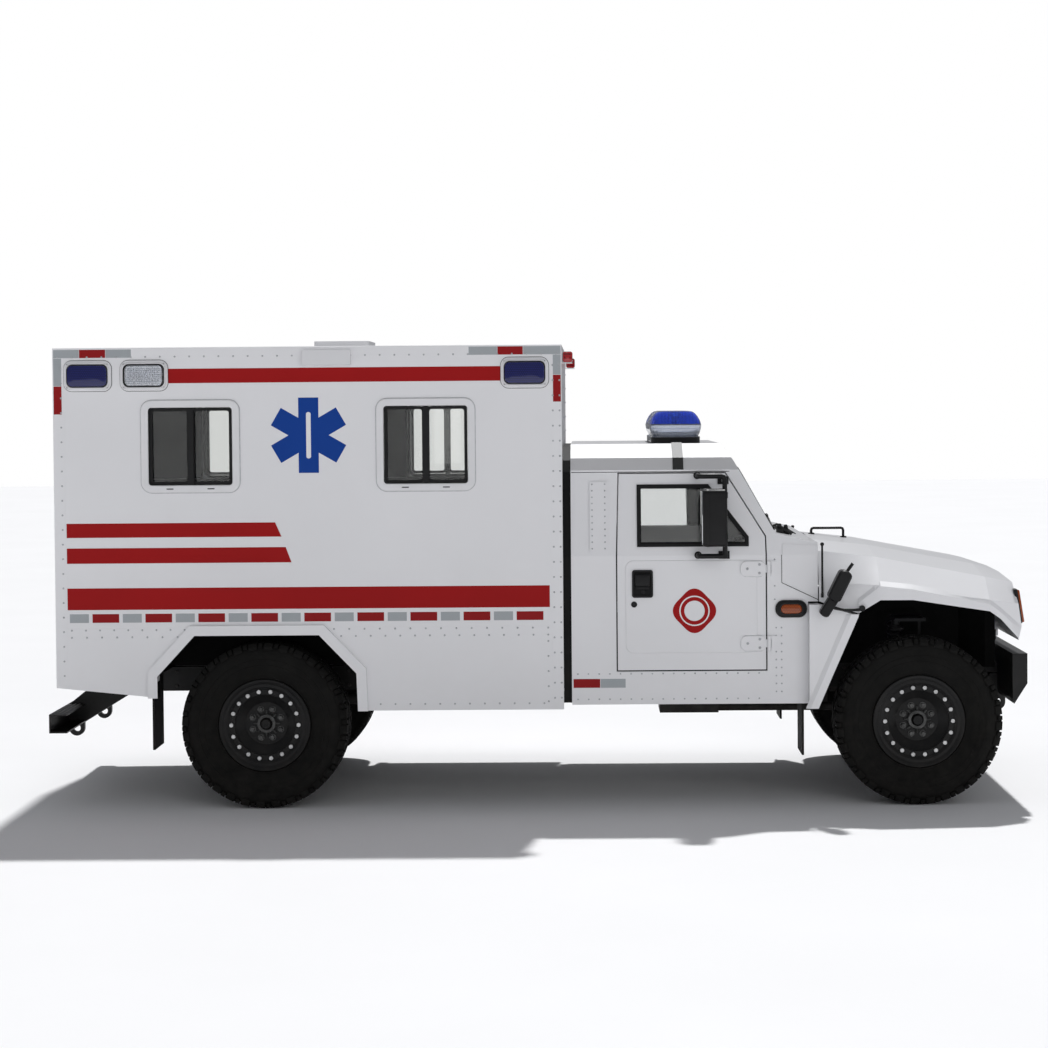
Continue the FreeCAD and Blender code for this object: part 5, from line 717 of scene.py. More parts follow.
def make_finishes():
    """Every material of the vehicle, by name."""
    paint = bpy.context.scene.ambulance_paint
    white = tuple(paint.body)
    dust = paint.dust
    made = {}

    def add(name, colour, roughness, metallic=0.0, **sockets):
        made[name] = Finish(name, colour, roughness, metallic, **sockets)
        return made[name]

    add("white_paint", white, 0.32, coat_weight=0.5, coat_roughness=0.08).tone(1.6, 0.018).dust(
        dust * 0.5, 1.0, 0.45).bump("grain", 0.05, 0.0006, Scale=140.0)
    add("white_plastic", tuple(c * 0.99 for c in white), 0.30, coat_weight=0.35, coat_roughness=0.1).tone(
        2.2, 0.02).dust(dust * 0.3, 1.0, 0.5).bump("grain", 0.06, 0.0006, Scale=180.0)
    # The cab's roof faces the main lamp, so its white is painted a little darker and duller than the sides': painted
    # shade that keeps the roof from washing out.
    add("roof_white_painted_shade", tuple(c * 0.62 for c in white), 0.40, coat_weight=0.15, coat_roughness=0.15).tone(1.6, 0.018)
    # Near-black panels inside the load box: painted shade for the dim inside seen through the windows.
    add("lining_painted_shade", (0.020, 0.021, 0.022), 0.80, specular_ior_level=0.2).tone(8.0, 0.2).bump(
        "grain", 0.4, 0.0006, Scale=260.0)
    add("trim_white", tuple(c * 0.96 for c in white), 0.36, coat_weight=0.3).tone(6.0, 0.03).bump(
        "grain", 0.05, 0.0005, Scale=260.0)
    add("inner_white", (0.72, 0.72, 0.71), 0.55).tone(4.0, 0.03).bump("grain", 0.12, 0.0008, Scale=320.0)
    add("black_steel", (0.007, 0.007, 0.0075), 0.42, specular_ior_level=0.35).tone(9.0, 0.25).dust(
        dust * 0.5, 0.9, 0.1, 8.0).bump("grain", 0.25, 0.0008, Scale=420.0)
    add("wheel_black", (0.0035, 0.0035, 0.0038), 0.40, specular_ior_level=0.3).tone(12.0, 0.2).dust(
        dust * 0.25, 1.0, 0.2, 14.0).bump("grain", 0.15, 0.0005, Scale=500.0)
    add("wheel_grey", (0.10, 0.10, 0.098), 0.45, 0.7).tone(26.0, 0.5).bump("grain", 0.4, 0.0008, Scale=300.0)
    add("cast_steel", (0.045, 0.043, 0.042), 0.62, 0.55).tone(14.0, 0.35).dust(
        dust * 0.8, 1.0, 0.1, 9.0).bump("grain", 0.5, 0.0012, Scale=260.0)
    add("bare_steel", (0.30, 0.29, 0.28), 0.42, 0.9).tone(10.0, 0.25).dust(
        dust * 0.6, 1.0, 0.1, 9.0).bump("grain", 0.25, 0.0008, Scale=320.0, Stretch=(0.15, 1, 1))
    add("bright_steel", (0.55, 0.55, 0.55), 0.28, 0.95).tone(30.0, 0.2).bump("grain", 0.2, 0.0004, Scale=600.0)
    add("bare_aluminium", (0.52, 0.53, 0.54), 0.38, 0.85).tone(9.0, 0.14).dust(
        dust * 0.7, 1.0, 0.5, 7.0).bump("grain", 0.2, 0.0006, Scale=300.0, Stretch=(0.1, 1, 1))
    add("black_plastic", (0.006, 0.006, 0.0065), 0.46, specular_ior_level=0.35).tone(12.0, 0.2).bump(
        "grain", 0.4, 0.0006, Scale=700.0)
    add("soft_black", (0.018, 0.018, 0.019), 0.62).tone(10.0, 0.2).bump("grain", 0.4, 0.0008, Scale=520.0)
    add("black_rubber", (0.006, 0.006, 0.006), 0.68, specular_ior_level=0.25).tone(8.0, 0.25).dust(
        dust * 0.7, 1.0, 0.1, 10.0).bump("grain", 0.35, 0.0008, Scale=380.0)
    add("tyre_rubber", (0.0065, 0.0064, 0.0060), 0.78, specular_ior_level=0.18).tone(7.0, 0.25).dust(
        dust * 0.45, 1.1, -0.1, 16.0, (0.20, 0.175, 0.15, 1), 0.85).bump("grain", 0.45, 0.0012, Scale=260.0)
    add("clear_glass", (0.80, 0.81, 0.80), 0.0, transmission_weight=1.0, ior=1.45)
    add("clear_lens", (0.86, 0.88, 0.92), 0.06, transmission_weight=0.75, ior=1.49).cells(
        (0.55, 0.58, 0.64), 0.03, 0.012, 0.10)
    add("blue_lens", tuple(paint.lens), 0.12, coat_weight=0.3, coat_roughness=0.04).cells(
        (0.004, 0.006, 0.05), 0.012, 0.010, 0.18)
    add("beacon_blue", (0.015, 0.10, 0.85), 0.03, transmission_weight=0.65, ior=1.49, coat_weight=0.6).cells(
        (0.004, 0.04, 0.5), 0.020, 0.5, 0.004)
    add("beacon_clear", (0.80, 0.84, 0.92), 0.05, transmission_weight=0.8, ior=1.49).cells(
        (0.30, 0.36, 0.50), 0.010, 0.020, 0.10)
    add("red_lens", (0.42, 0.006, 0.010), 0.08, coat_weight=1.0).cells((0.18, 0.002, 0.004), 0.010, 0.010, 0.14, 1.0)
    add("amber_lens", (0.36, 0.070, 0.007), 0.15, coat_weight=0.3).cells((0.18, 0.028, 0.003), 0.009, 0.009, 0.14)
    add("red_film", tuple(paint.stripe), 0.50, specular_ior_level=0.2).tone(2.0, 0.05).dust(
        dust * 0.2, 1.2, 0.5).bump("grain", 0.05, 0.0004, Scale=200.0)
    add("blue_film", tuple(paint.star), 0.50, specular_ior_level=0.2).tone(2.0, 0.05).bump(
        "grain", 0.05, 0.0004, Scale=200.0)
    add("white_film", (0.82, 0.82, 0.83), 0.38).tone(3.0, 0.02).bump("grain", 0.05, 0.0004, Scale=200.0)
    add("silver_tape", (0.40, 0.43, 0.45), 0.40, 0.2, specular_ior_level=0.4).cells(
        (0.36, 0.38, 0.40), 0.006, 0.006, 0.12)
    add("red_tape", (0.30, 0.004, 0.006), 0.45, specular_ior_level=0.25).cells(
        (0.26, 0.004, 0.006), 0.006, 0.006, 0.12)
    add("mirror_glass", (0.85, 0.87, 0.88), 0.02, 1.0).tone(5.0, 0.01)
    add("seat_cloth", (0.030, 0.032, 0.040), 0.85, sheen_weight=0.4).tone(9.0, 0.15).bump("weave", 0.5, 0.0012)
    add("bench_vinyl", (0.05, 0.10, 0.20), 0.45, coat_weight=0.1).tone(6.0, 0.1).bump("grain", 0.5, 0.0008, Scale=420.0)
    # Black underseal for the box floor and the bay liners, also used as painted shade on the rear arches' edges.
    add("underseal_and_painted_shade", (0.006, 0.006, 0.006), 0.85, specular_ior_level=0.15).tone(5.0, 0.3).bump(
        "grain", 0.6, 0.0015, Scale=160.0)
    # Grey for rivet and bolt heads, hinge rims and window gaskets on the white paint: painted shade that stands for the
    # shading round them.
    add("painted_shade_grey", (0.46, 0.47, 0.49), 0.40, 0.3).tone(40.0, 0.2).bump("grain", 0.2, 0.0003, Scale=600.0)
    add("dark_gap", (0.004, 0.004, 0.004), 0.85).tone(6.0, 0.2).bump("grain", 0.2, 0.0005, Scale=300.0)
    return {name: item.material for name, item in made.items()}


FINISHES = {}


def finish(name):
    """The material of that name."""
    if not FINISHES:
        FINISHES.update(make_finishes())
    return FINISHES[name]


NODE_FINISHES = {
    "chassis_frame": "black_steel", "wishbones": "black_steel", "spring_struts": "black_steel",
    "rear_hub_carriers": "cast_steel", "engine_block": "cast_steel", "drive_line": "cast_steel",
    "fuel_tank": "black_steel", "exhaust": "bare_steel", "radiator": "bare_aluminium",
    "box_side_walls": "white_paint", "box_window_frames": "trim_white", "box_window_sashes": "black_plastic",
    "box_window_panes": "clear_glass", "box_roof": "white_paint", "box_front_wall": "white_paint",
    "box_rear_frame": "white_paint", "box_floor": "underseal_and_painted_shade", "lamp_bezels": "trim_white",
    "light_bar_base": "black_plastic", "blue_lamp_lenses": "blue_lens", "clear_lamp_lenses": "clear_lens",
    "roof_vents": "white_plastic", "marker_lamps": "red_lens", "arch_panels": "white_paint",
    "cab_body": "white_paint", "cab_roof": "roof_white_painted_shade", "windscreen": "clear_glass",
    "cab_floor": "soft_black", "seat_cushions": "seat_cloth", "gap_seal": "black_rubber",
    "dashboard": "soft_black", "front_bumper": "black_steel", "rear_beam": "black_steel",
    "mud_flaps": "black_rubber", "interior_cabinets": "inner_white", "bonnet": "white_plastic",
    "grille": "black_plastic", "head_lamps": "clear_lens", "bonnet_fittings": "black_plastic",
}
for word, side in SIDES:
    NODE_FINISHES.update({
        "door_" + word: "white_paint", "door_pane_" + word: "clear_glass", "door_fittings_" + word: "black_plastic",
        "rear_door_" + word: "white_paint", "rear_door_pane_" + word: "clear_glass", "knuckle_" + word: "cast_steel",
        "rim_front_" + word: "wheel_black", "rim_rear_" + word: "wheel_black",
        "tyre_front_" + word: "tyre_rubber", "tyre_rear_" + word: "tyre_rubber",
    })


# ---------------------------------------------------------------- films on the load box


STRIPES = (
    ((-0.515, 2.400), (1.352, 2.400), (1.352, 2.481), (-0.515, 2.481)),
    ((-1.097, 1.536), (0.111, 1.536), (0.076, 1.616), (-1.097, 1.616)),
    ((-1.097, 1.391), (0.166, 1.391), (0.134, 1.477), (-1.097, 1.477)),
    ((-1.097, 1.130), (1.613, 1.130), (1.613, 1.252), (-1.097, 1.252)),
)
TAPE_LOW, TAPE_HIGH = 1.058, 1.107
TAPE_START, TAPE_END = -1.085, 1.600
RED_TAPE, SILVER_TAPE, TAPE_GAP = 0.150, 0.107, 0.0205
# Corner tapes on the side walls: silver and red pieces as (rear, front, low, high).
CORNER_TAPES = {
    "silver_tape": (
        (-1.160, -1.016, 2.545, 2.591), (-0.865, -0.722, 2.545, 2.591), (1.170, 1.329, 2.545, 2.591),
        (1.475, 1.684, 2.545, 2.591), (-1.160, -1.115, 2.389, 2.543), (1.640, 1.684, 2.432, 2.543),
    ),
    "red_tape": (
        (-1.014, -0.867, 2.545, 2.591), (1.331, 1.473, 2.545, 2.591),
        (-1.160, -1.115, 2.230, 2.387), (1.640, 1.684, 2.280, 2.430),
    ),
}
STAR_CENTRE, STAR_REACH, STAR_ARM = (0.269, 2.103), 0.211, 0.113
BADGE_CENTRE, BADGE_HALF = (2.425, 1.098), 0.122


def row_corners(corners):
    """Flat corners with their stations turned into X."""
    return [(station(x), z) for x, z in corners]


def rectangle(rear, front, low, high):
    """Corners of an upright rectangle between two stations."""
    return row_corners(((rear, low), (front, low), (front, high), (rear, high)))


def film_piece(name, outlines, material, thickness, body="vehicle", base=None, mirror=True):
    """Thin film laid on the right-hand side, and on the left as well."""
    base = -WALL_Y if base is None else base
    bm = bmesh.new()
    for corners in outlines:
        add_prism(bm, corners, base, base - thickness)
    return make_piece(name, bm, material, body, smooth=False, mirror=mirror)


def star_corners(centre, reach, arm):
    """A plain six-armed star of three crossed bars."""
    corners = []
    for k in range(6):
        angle = math.pi / 2 + k * math.pi / 3
        way = Vector((math.cos(angle), math.sin(angle)))
        across = Vector((-way.y, way.x)) * arm / 2
        tip = Vector(centre) + way * reach
        corners += [tuple(tip - across), tuple(tip + across)]
        notch = angle + math.pi / 6
        corners.append(tuple(Vector(centre) + Vector((math.cos(notch), math.sin(notch))) * arm))
    return corners


class AMBULANCE_OT_films(Operator):
    """Lays the stripes, the star and the reflective tapes on the load box and cab"""

    bl_idname = "ambulance.films"
    bl_label = "Films and Tapes"

    def execute(self, context):
        film = context.scene.ambulance_details.film
        film_piece("side_stripes", [row_corners(c) for c in STRIPES], "red_film", film)
        star = row_corners(star_corners(STAR_CENTRE, STAR_REACH, STAR_ARM))
        film_piece("side_stars", [star], "blue_film", film)
        x, z = STAR_CENTRE
        bar = rounded((station(x - 0.013), z - 0.130), (station(x + 0.013), z + 0.130), 0.012)
        film_piece("star_bars", [bar], "white_film", film, base=-WALL_Y - film)
        tapes = {"silver_tape": [], "red_tape": []}
        place, red = TAPE_START, False
        while place < TAPE_END - 0.05:
            length = RED_TAPE if red else SILVER_TAPE
            kind = "red_tape" if red else "silver_tape"
            tapes[kind].append(rectangle(place, min(place + length, TAPE_END), TAPE_LOW, TAPE_HIGH))
            place += length + TAPE_GAP
            red = not red
        for kind, places in CORNER_TAPES.items():
            tapes[kind] += [rectangle(*p) for p in places]
        for kind, outlines in tapes.items():
            film_piece("side_" + kind, outlines, kind, film)
        sill_x, sill_z = station(1.742), 0.667
        film_piece("sill_red_tape", [[(sill_x, sill_z), (sill_x + 0.150, sill_z), (sill_x + 0.150, sill_z + 0.050),
                   (sill_x, sill_z + 0.050)]], "red_tape", film, base=-CAB_HALF)
        film_piece("sill_silver_tape", [[(sill_x + 0.153, sill_z), (sill_x + 0.293, sill_z),
                   (sill_x + 0.293, sill_z + 0.050), (sill_x + 0.153, sill_z + 0.050)]], "silver_tape", film,
                   base=-CAB_HALF)
        self.rear_tapes(film)
        self.door_badges(film)
        return {"FINISHED"}

    def rear_tapes(self, film):
        """Tapes on the rear frame's corners."""
        rear = BOX_LOW.x
        for kind, rows in (
            ("silver_tape", ((0.905, 1.020, 2.500, 2.538), (0.650, 0.770, 2.500, 2.538), (0.970, 1.020, 2.350, 2.460))),
            ("red_tape", ((0.775, 0.900, 2.500, 2.538), (0.970, 1.020, 2.190, 2.346))),
        ):
            bm = bmesh.new()
            for near, far, low, high in rows:
                add_prism(bm, [(-far, low), (-near, low), (-near, high), (-far, high)], rear, rear - film, "X")
            make_piece("rear_" + kind, bm, kind, "vehicle", smooth=False, mirror=True)

    def door_badges(self, film):
        """A red rounded ring with a plain white middle on each cab door."""
        x, z = station(BADGE_CENTRE[0]), BADGE_CENTRE[1]
        steps = 64
        outer = []
        inner = []
        for k in range(steps):
            angle = 2 * math.pi * k / steps
            lobe = BADGE_HALF * (0.93 + 0.07 * math.cos(4 * angle))
            outer.append((x + lobe * math.cos(angle), z + lobe * 1.03 * math.sin(angle)))
            inner.append((x + BADGE_HALF * 0.47 * math.cos(angle), z + BADGE_HALF * 0.47 * math.sin(angle)))
        for word, side in SIDES:
            bm = bmesh.new()
            add_ring(bm, outer, inner, side * DOOR_FACE, side * (DOOR_FACE + film))
            make_piece("door_badge_" + word, bm, "red_film", "door_" + word, smooth=False)
            bm = bmesh.new()
            ring_out = circle((x, z), BADGE_HALF * 0.70, 48)
            ring_in = circle((x, z), BADGE_HALF * 0.64, 48)
            add_ring(bm, ring_out, ring_in, side * (DOOR_FACE + film), side * (DOOR_FACE + film * 1.5))
            make_piece("door_badge_line_" + word, bm, "white_film", "door_" + word, smooth=False)


# ---------------------------------------------------------------- load box details


class AMBULANCE_OT_box_trim(Operator):
    """Adds rails, corner trims and rivets to the load box"""

    bl_idname = "ambulance.box_trim"
    bl_label = "Box Trim and Rivets"

    def execute(self, context):
        details = context.scene.ambulance_details
        rear, front = BOX_LOW.x, BOX_HIGH.x
        top = BOX_HIGH.z
        thin = 0.0022
        bm = bmesh.new()
        # Roof-edge rail, two corner trims and the level rail above the wheel.
        outlines = [
            [(rear, top - 0.056), (front, top - 0.056), (front, top), (rear, top)],
            [(rear, 0.700), (rear + 0.064, 0.693), (rear + 0.064, top - 0.057), (rear, top - 0.057)],
            [(front - 0.062, 0.556), (front, 0.556), (front, top - 0.057), (front - 0.062, top - 0.057)],
            [(rear + 0.065, 0.966), (station(-0.470), 0.966), (station(-0.415), 1.026), (rear + 0.065, 1.026)],
            [(station(0.360), 1.026), (station(0.414), 0.966), (front - 0.064, 0.966), (front - 0.064, 1.026)],
        ]
        for corners in outlines:
            add_prism(bm, corners, -WALL_Y, -WALL_Y - thin * 0.35)
        soften(bm, 0.0006, 1)
        make_piece("box_side_rails", bm, "white_paint", "vehicle", mirror=True)
        self.roof_edges(rear, front, top)
        self.rivets(details, rear, front, top)
        return {"FINISHED"}

    def roof_edges(self, rear, front, top):
        """Rolled roof edges, which stand a little over the roof."""
        bm = bmesh.new()
        for low_x, high_x in ((rear, rear + 0.030), (front - 0.030, front)):
            add_block(bm, (low_x, -WALL_Y + 0.030, top), (high_x, WALL_Y - 0.030, top + 0.004))
        for side in (-1, 1):
            edge = [(side * (WALL_Y - 0.030), top), (side * WALL_Y, top), (side * WALL_Y, top + 0.003),
                    (side * (WALL_Y - 0.004), top + 0.006), (side * (WALL_Y - 0.030), top + 0.006)]
            add_prism(bm, edge, rear, front, "X")
        for k in range(1, 6):
            x = rear + (front - rear) * k / 6
            add_block(bm, (x - 0.012, -WALL_Y + 0.032, top), (x + 0.012, WALL_Y - 0.032, top + 0.003))
        make_piece("roof_edges", bm, "white_paint", "vehicle")

    def rivets(self, details, rear, front, top):
        """Rivets along every rail and trim, front wall and rear frame."""
        pitch = details.rivet_pitch
        face = -WALL_Y - 0.0008
        lines = [
            ((rear + 0.030, face, top - 0.046), (front - 0.030, face, top - 0.046)),
            ((rear + 0.046, face, 0.760), (rear + 0.046, face, top - 0.110)),
            ((front - 0.050, face, 0.620), (front - 0.050, face, top - 0.110)),
            ((front - 0.012, face, 0.620), (front - 0.012, face, top - 0.110)),
            ((rear + 0.090, face, 1.033 - 0.018), (station(-0.440), face, 1.015)),
            ((rear + 0.090, face, 0.975), (station(-0.480), face, 0.975)),
            ((station(0.400), face, 1.015), (front - 0.085, face, 1.015)),
            ((station(0.440), face, 0.975), (front - 0.085, face, 0.975)),
            ((front - 0.085, face, 0.600), (front - 0.085, face, 0.940)),
            ((station(0.575), face, 0.590), (front - 0.110, face, 0.590)),
        ]
        points = []
        for start, end in lines:
            for p in line_points(start, end, pitch):
                points.append((tuple(p), (0, -1, 0)))
                points.append(((p.x, -p.y, p.z), (0, 1, 0)))
        for z_low, z_high, y in ((0.82, top - 0.09, 1.045), (0.82, top - 0.09, 0.990)):
            for p in line_points((rear, y, z_low), (rear, y, z_high), pitch * 1.2):
                points += [((p.x, s * p.y, p.z), (-1, 0, 0)) for s in (-1, 1)]
        for y in (1.040, 0.52, 0.0):
            for p in line_points((front, y, 2.10), (front, y, top - 0.05), pitch):
                points += [((p.x, s * p.y, p.z), (1, 0, 0)) for s in (-1, 1)]
        # The heads are painted grey: painted shade that makes them show on the white walls.
        heads("box_rivets", points, details.rivet_radius, 0.0032, "painted_shade_grey", "vehicle", "white_paint", 0.5, 8)


# ---------------------------------------------------------------- wheels


def tread_block(bm, reaches, radii, angles, centre_y, skew=0.0):
    """Adds one tread block between reaches along Y, radii and angles about the axle."""
    corners = []
    for radius_share in (0, 1):
        for reach_share in (0, 1):
            for angle_share in (0, 1):
                reach = reaches[reach_share]
                radius = radii[reach_share][radius_share]
                inset = 0.10 * radius_share
                low, high = angles
                mid = (low + high) / 2
                angle = low if angle_share == 0 else high
                angle = angle + (mid - angle) * inset + skew * reach_share
                corners.append(bm.verts.new((radius * math.sin(angle), centre_y + reach, radius * math.cos(angle))))
    c = corners
    for face in ((0, 1, 3, 2), (4, 6, 7, 5), (0, 4, 5, 1), (2, 3, 7, 6), (0, 2, 6, 4), (1, 5, 7, 3)):
        bm.faces.new([c[i] for i in face])


class AMBULANCE_OT_tyres(Operator):
    """Replaces the plain tyres by lugged ones with moulded side walls"""

    bl_idname = "ambulance.tyres"
    bl_label = "Tyres"

    def execute(self, context):
        for end, word, axle, side in WHEELS:
            self.tyre(end, word, axle, side, context.scene.ambulance_details)
        return {"FINISHED"}

    def tyre(self, end, word, axle, side, details):
        low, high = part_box("tyre_%s_%s" % (end, word))
        half = (high.y - low.y) / 2
        outer = (high.z - low.z) / 2
        centre = (axle, side * WHEEL_HALF, HUB)
        deep = outer - details.groove
        bead = 0.2175
        profile = [
            (-0.1055, bead), (-0.1075, 0.238), (-0.1180, 0.262), (-0.1350, 0.292), (-0.1480, 0.325),
            (-half + 0.0025, 0.362), (-half + 0.0010, 0.385), (-half + 0.006, 0.412), (-half + 0.016, 0.436),
            (-half + 0.034, deep), (-0.06, deep + 0.001), (0.06, deep + 0.001), (half - 0.034, deep),
            (half - 0.016, 0.436), (half - 0.006, 0.412), (half - 0.0010, 0.385), (half - 0.0025, 0.362),
            (0.1480, 0.325), (0.1350, 0.292), (0.1180, 0.262), (0.1075, 0.238), (0.1055, bead),
        ]
        bm = bmesh.new()
        add_lathe(bm, profile, centre, 96)
        # Moulded rings on both side walls.
        for mirror in (-1, 1):
            for radius, rise, width in ((0.268, 0.0022, 0.005), (0.340, 0.0015, 0.003), (0.372, 0.0018, 0.004)):
                reach = self.wall_reach(profile, radius) * mirror
                lift = rise * mirror
                ring = [(reach - lift, radius - width), (reach + lift, radius - width * 0.5),
                        (reach + lift, radius + width * 0.5), (reach - lift, radius + width)]
                add_lathe(bm, ring, centre, 96)
        piece = make_piece("tyre_carcass_%s_%s" % (end, word), bm, "tyre_rubber",
                           "wheel_%s_%s" % (end, word), angle=50)
        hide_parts("tyre_%s_%s" % (end, word))
        self.tread(end, word, centre, half, outer, deep, details)

    def wall_reach(self, profile, radius):
        """How far the side wall stands out at a radius."""
        wall = [(r, reach) for reach, r in profile if reach > 0.1]
        wall.sort()
        for (r0, a), (r1, b) in zip(wall, wall[1:]):
            if r0 <= radius <= r1:
                return a + (b - a) * (radius - r0) / (r1 - r0)
        return wall[-1][1]

    def tread(self, end, word, centre, half, outer, deep, details):
        """Two shoulder lugs and four inner blocks, repeated round the tyre."""
        pitch = 2 * math.pi / details.tread_pitches
        bm = bmesh.new()
        edge = outer - 0.004
        wall = half - 0.0012
        for side in (-1, 1):
            shift = 0 if side < 0 else pitch / 2
            for part, (width, foot) in enumerate(((0.60, 0.428), (0.28, 0.440))):
                start = shift + (0.0 if part == 0 else 0.66) * pitch
                span = (start, start + width * pitch)
                reaches = (side * (half - 0.020), side * 0.098)
                tread_block(bm, reaches, ((deep - 0.02, edge), (deep - 0.004, outer)), span, 0.0, 0.05 * pitch)
                # The lug runs down the side wall.
                wall_reaches = (side * (wall - 0.004), side * (half - 0.021))
                tread_block(bm, wall_reaches, ((foot, outer - 0.026), (foot, edge)), span, 0.0)
            for k, (near, far, start, width) in enumerate((
                (0.056, 0.091, 0.05, 0.62), (0.008, 0.048, 0.38, 0.66),
            )):
                span = (shift + start * pitch, shift + (start + width) * pitch)
                tread_block(bm, (side * near, side * far), ((deep - 0.004, outer), (deep - 0.004, outer)),
                            span, 0.0, 0.22 * pitch * (1 if k else -1))
        bmesh.ops.recalc_face_normals(bm, faces=bm.faces)
        soften(bm, 0.0022, 1)
        mesh = bpy.data.meshes.new("tread_pitch")
        bm.to_mesh(mesh)
        bm.free()
        sizes = {"Count": details.tread_pitches, "Centre": centre, "Start": 0.0}
        growth("wheel").grow("tread_%s_%s" % (end, word), mesh, sizes, "tyre_rubber",
                             "wheel_%s_%s" % (end, word), "tyre_rubber", 40)


class AMBULANCE_OT_wheel_bolts(Operator):
    """Bolts the rims: eighteen ring bolts, eight nuts, the hub cap and its valve"""

    bl_idname = "ambulance.wheel_bolts"
    bl_label = "Wheel Bolts"

    def execute(self, context):
        for end, word, axle, side in WHEELS:
            centre = Vector((axle, side * WHEEL_HALF, HUB))
            body = "wheel_%s_%s" % (end, word)
            self.bolts(end, word, centre, side, body)
            self.hub(end, word, centre, side, body)
        return {"FINISHED"}

    def bolts(self, end, word, centre, side, body):
        """The ring's bolts as one head repeated round the axle, then the nuts."""
        for label, count, radius, reach, head, rise, corners, material in (
            ("ring_bolts", 18, 0.190, 0.1135, 0.0132, 0.010, 8, "bright_steel"),
            ("wheel_nuts", 8, 0.0865, 0.034, 0.0145, 0.024, 6, "wheel_grey"),
            ("nut_washers", 8, 0.0865, 0.034, 0.019, 0.004, 16, "wheel_grey"),
        ):
            bm = bmesh.new()
            profile = circle((0, radius), head, corners)
            top = circle((0, radius), head * 0.86, corners)
            near = side * reach
            lip = side * (reach + rise * 0.8)
            far = side * (reach + rise)
            rings = [
                [bm.verts.new((x, level, z)) for x, z in shape]
                for level, shape in ((near, profile), (lip, profile), (far, top))
            ]
            for first, second in zip(rings, rings[1:]):
                for k in range(corners):
                    j = (k + 1) % corners
                    bm.faces.new([first[k], first[j], second[j], second[k]])
            bm.faces.new(rings[0])
            bm.faces.new(list(reversed(rings[-1])))
            bmesh.ops.recalc_face_normals(bm, faces=bm.faces)
            mesh = bpy.data.meshes.new(label)
            bm.to_mesh(mesh)
            bm.free()
            sizes = {"Count": count, "Centre": centre, "Start": math.pi / count}
            growth("wheel").grow("%s_%s_%s" % (label, end, word), mesh, sizes, material, body, "black_steel", 25)

    def hub(self, end, word, centre, side, body):
        """A stepped hub cap, a beadlock ring and a valve."""
        bm = bmesh.new()
        cap = [(0.034, 0.056), (0.052, 0.055), (0.057, 0.051), (0.059, 0.034), (0.066, 0.031), (0.069, 0.026),
               (0.069, 0.0005)]
        add_lathe(bm, [(side * reach, radius) for reach, radius in cap], centre, 40, closed=False)
        for k in range(8):
            angle = 2 * math.pi * k / 8
            way = Vector((math.cos(angle), 0, math.sin(angle)))
            start = centre + way * 0.052 + Vector((0, side * 0.046, 0))
            add_tube(bm, [start, start + way * 0.022 - Vector((0, side * 0.008, 0))], 0.0065, 8)
        make_piece("hub_cap_%s_%s" % (end, word), bm, "wheel_grey", body, angle=30)
        bm = bmesh.new()
        ring = [(0.092, 0.1995), (0.110, 0.2005), (0.1135, 0.2000), (0.1135, 0.1720), (0.110, 0.1685), (0.100, 0.1685)]
        add_lathe(bm, [(side * reach, radius) for reach, radius in ring], centre, 72)
        rim = [(0.1060, 0.2325), (0.1275, 0.2590), (0.1310, 0.2590), (0.1335, 0.2560), (0.1335, 0.2510),
               (0.1290, 0.2380), (0.1240, 0.2290), (0.1240, 0.2210), (0.1180, 0.2030), (0.1080, 0.2010)]
        add_lathe(bm, [(side * reach, radius) for reach, radius in rim], centre, 72)
        make_piece("rim_rings_%s_%s" % (end, word), bm, "wheel_black", body, angle=30)
        bm = bmesh.new()
        base = centre + Vector((0.150, side * 0.060, 0.095))
        add_tube(bm, [base, base + Vector((0, side * 0.030, 0)), base + Vector((0, side * 0.046, 0))], 0.0055, 10)
        make_piece("valve_%s_%s" % (end, word), bm, "black_rubber", body)


# ---------------------------------------------------------------- plates with soft edges


def add_stack(bm, loops, cap=True):
    """Joins loops of equal length into a shell, closed at both ends."""
    rings = [[bm.verts.new(p) for p in loop] for loop in loops]
    count = len(rings[0])
    for first, second in zip(rings, rings[1:]):
        for i in range(count):
            j = (i + 1) % count
            bm.faces.new([first[i], first[j], second[j], second[i]])
    if cap:
        bm.faces.new(list(reversed(rings[0])))
        bm.faces.new(rings[-1])
    else:
        for i in range(count):
            j = (i + 1) % count
            bm.faces.new([rings[-1][i], rings[-1][j], rings[0][j], rings[0][i]])


def add_pad(bm, low, high, radius, start, rise, edge=0.003, axis="Y", side=-1, crown=0.0):
    """A plate with round corners and a soft outer edge; crown raises its middle."""
    levels = [(0.0, 0.0), (rise - edge, 0.0), (rise - edge * 0.3, edge * 0.35), (rise, edge)]
    if crown:
        reach = min(high[0] - low[0], high[1] - low[1]) * 0.25
        levels += [(rise + crown * 0.6, edge + reach * 0.5), (rise + crown, edge + reach)]
    loops = []
    for lift, inset in levels:
        points = rounded(
            (low[0] + inset, low[1] + inset), (high[0] - inset, high[1] - inset), max(radius - inset, 0.0008)
        )
        loops.append([along(axis, p, start + side * lift) for p in points])
    add_stack(bm, loops)


def add_frame(bm, low, high, radius, width, start, rise, edge=0.002, axis="Y", side=-1):
    """A frame with round corners and soft outer edges."""
    loops = []
    for inset, lift in ((0, 0), (0, rise - edge), (edge, rise), (width - edge, rise), (width, rise - edge), (width, 0)):
        points = rounded(
            (low[0] + inset, low[1] + inset), (high[0] - inset, high[1] - inset), max(radius - inset, 0.0008)
        )
        loops.append([along(axis, p, start + side * lift) for p in points])
    add_stack(bm, loops, cap=False)


def about(centre, half_width, half_height):
    """Low and high corners about a centre."""
    return ((centre[0] - half_width, centre[1] - half_height), (centre[0] + half_width, centre[1] + half_height))


